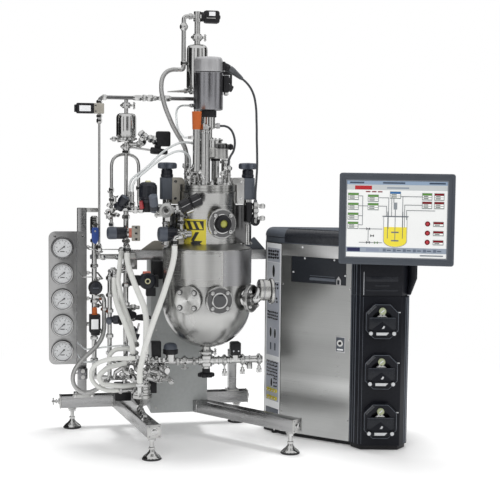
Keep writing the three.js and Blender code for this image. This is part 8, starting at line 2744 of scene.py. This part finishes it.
legSteel = steel("legSteel", (0.28, 0.28, 0.285), (0.46, 0.46, 0.46), (16, 16, 300), 0.22, 0.34, 0.08)
boardSteel = steel("boardSteel", (0.34, 0.34, 0.34), (0.5, 0.5, 0.5), (5, 5, 500), 0.3, 0.42, 0.15)
makeBeam()
makeLeg("frontLegLeft", "front_leg_left", -252, (-190, -190), skid["beamY"] - skid["tube"] / 2 - 0.3)
makeLeg("frontLegRight", "front_leg_right", 6, (250, -185), pedestal["front"] - 0.3)
makePedestal()
makeYoke()
makeBoard()
print("skid made")

# ---- solids that keep their own shape ----

for nodeName in ("agitator", "sparger"):
    for holder in cadNodes[nodeName].material_slots:
        holder.material = polishedSteel
print("solids finished")

# ---- light, floor and sizes ----

studio = {"reach": 14, "near": 0.9, "far": 1.9, "base": 0.9, "glow": 0.1, "sky": 0.62, "flagAway": 2.5,
          "flagTop": 2.7}


def makeFloor():
    s = studio
    low, high = cadBox
    centre = (low + high) / 2
    reach = s["reach"]
    mesh = bpy.data.meshes.new("floor")
    spots = [(centre.x + x * reach, centre.y + y * reach, low.z) for x,
             y in ((-1, -1), (1, -1), (1, 1), (-1, 1))]
    mesh.from_pydata(spots, [], [(0, 1, 2, 3)])
    floor = bpy.data.objects.new("floor", mesh)
    bpy.context.scene.collection.objects.link(floor)
    tint, nodes, links, shader = newFinish("paleFloor")
    fill(shader, {"Base Color": (s["base"], s["base"], s["base"], 1), "Roughness": 0.9,
                  "Specular IOR Level": 0.1,
                  "Emission Color": (1, 1, 1, 1), "Emission Strength": s["glow"]})
    # plain white from a little way out, so that the floor has no visible end
    where = put(nodes, "TexCoord")
    offset = put(nodes, "VectorMath", {1: (centre.x, centre.y, low.z)}, operation="DISTANCE")
    fade = put(nodes, "MapRange", {"From Min": s["near"], "From Max": s["far"]},
               interpolation_type="SMOOTHSTEP")
    white = put(nodes, "Emission")
    both = put(nodes, "MixShader")
    wire(links, (where, "Object", offset, 0), (offset, "Value", fade, "Value"), (fade, "Result", both, 0),
         (shader, 0, both, 1), (white, 0, both, 2), (both, 0, nodes["Material Output"], "Surface"))
    mesh.materials.append(tint)


def makeRoom():
    world = bpy.data.worlds.new("room")
    bpy.context.scene.world = world
    world.use_nodes = True
    nodes = world.node_tree.nodes
    sky = fill(nodes["Background"], {"Color": (1, 1, 1, 1)})
    paths = put(nodes, "LightPath")
    first = put(nodes, "Math", operation="MAXIMUM")
    second = put(nodes, "Math", operation="MAXIMUM")
    level = put(nodes, "MapRange", {"To Min": studio["sky"], "To Max": 1})
    wire(world.node_tree.links, (paths, "Is Camera Ray", first, 0), (paths, "Is Glossy Ray", first, 1),
         (first, 0, second, 0), (paths, "Is Transmission Ray", second, 1), (second, 0, level, "Value"),
         (level, "Result", sky, "Strength"))
    aimHeight = 0.7
    for name, spot, size, power in (("key", (-2.0, -3.5, 3.5), (2.6, 2.6), 54),
                                    ("fill", (3.4, -2.4, 2.2), (2.0, 2.6), 46),
                                    ("top", (0.25, 0.7, 3.9), (1.5, 1.5), 90)):
        data = bpy.data.lights.new(name, "AREA")
        data.shape = "RECTANGLE"
        data.size, data.size_y = size
        data.energy = power
        lamp = bpy.data.objects.new(name, data)
        bpy.context.scene.collection.objects.link(lamp)
        spot = Vector(spot)
        aim = (Vector((0, 0, aimHeight)) - spot).to_track_quat("-Z", "Y").to_matrix().to_4x4()
        lamp.matrix_world = Matrix.Translation(spot) @ aim
        lamp.visible_glossy = False


# Dark cards that only polished surfaces see: they give steel its dark bands.
def addFlag(start, end, low, tone):
    steps, away, top = 8, studio["flagAway"], studio["flagTop"]
    centre = Vector((stirrer.x + 0.12, stirrer.y, 0))
    spots = []
    for i in range(steps + 1):
        angle = math.radians(start + (end - start) * i / steps)
        out = centre + Vector((math.sin(angle), -math.cos(angle), 0)) * away
        spots += [(out.x, out.y, low), (out.x, out.y, top)]
    faces = [(2 * i, 2 * i + 2, 2 * i + 3, 2 * i + 1) for i in range(steps)]
    mesh = bpy.data.meshes.new("flag")
    mesh.from_pydata(spots, [], faces)
    cloth, _, _, shader = newFinish("flagCloth")
    fill(shader, {"Base Color": (tone, tone, tone, 1), "Roughness": 1, "Specular IOR Level": 0})
    mesh.materials.append(cloth)
    flag = bpy.data.objects.new("flag", mesh)
    bpy.context.scene.collection.objects.link(flag)
    for way in ("camera", "diffuse", "shadow", "transmission", "volume_scatter"):
        setattr(flag, f"visible_{way}", False)


makeFloor()
makeRoom()
for given in ((-176, -72, 0.02, 0.02), (-50, -42, 0.3, 0.1), (-14, 6, 0.3, 0.05), (14, 20, 0.3, 0.02),
              (38, 56, 0.1, 0.2),
              (84, 128, 0.02, 0.03), (146, 174, 0.02, 0.03)):
    addFlag(*given)
bpy.context.scene.view_settings.view_transform = "Standard"
print("studio lit")
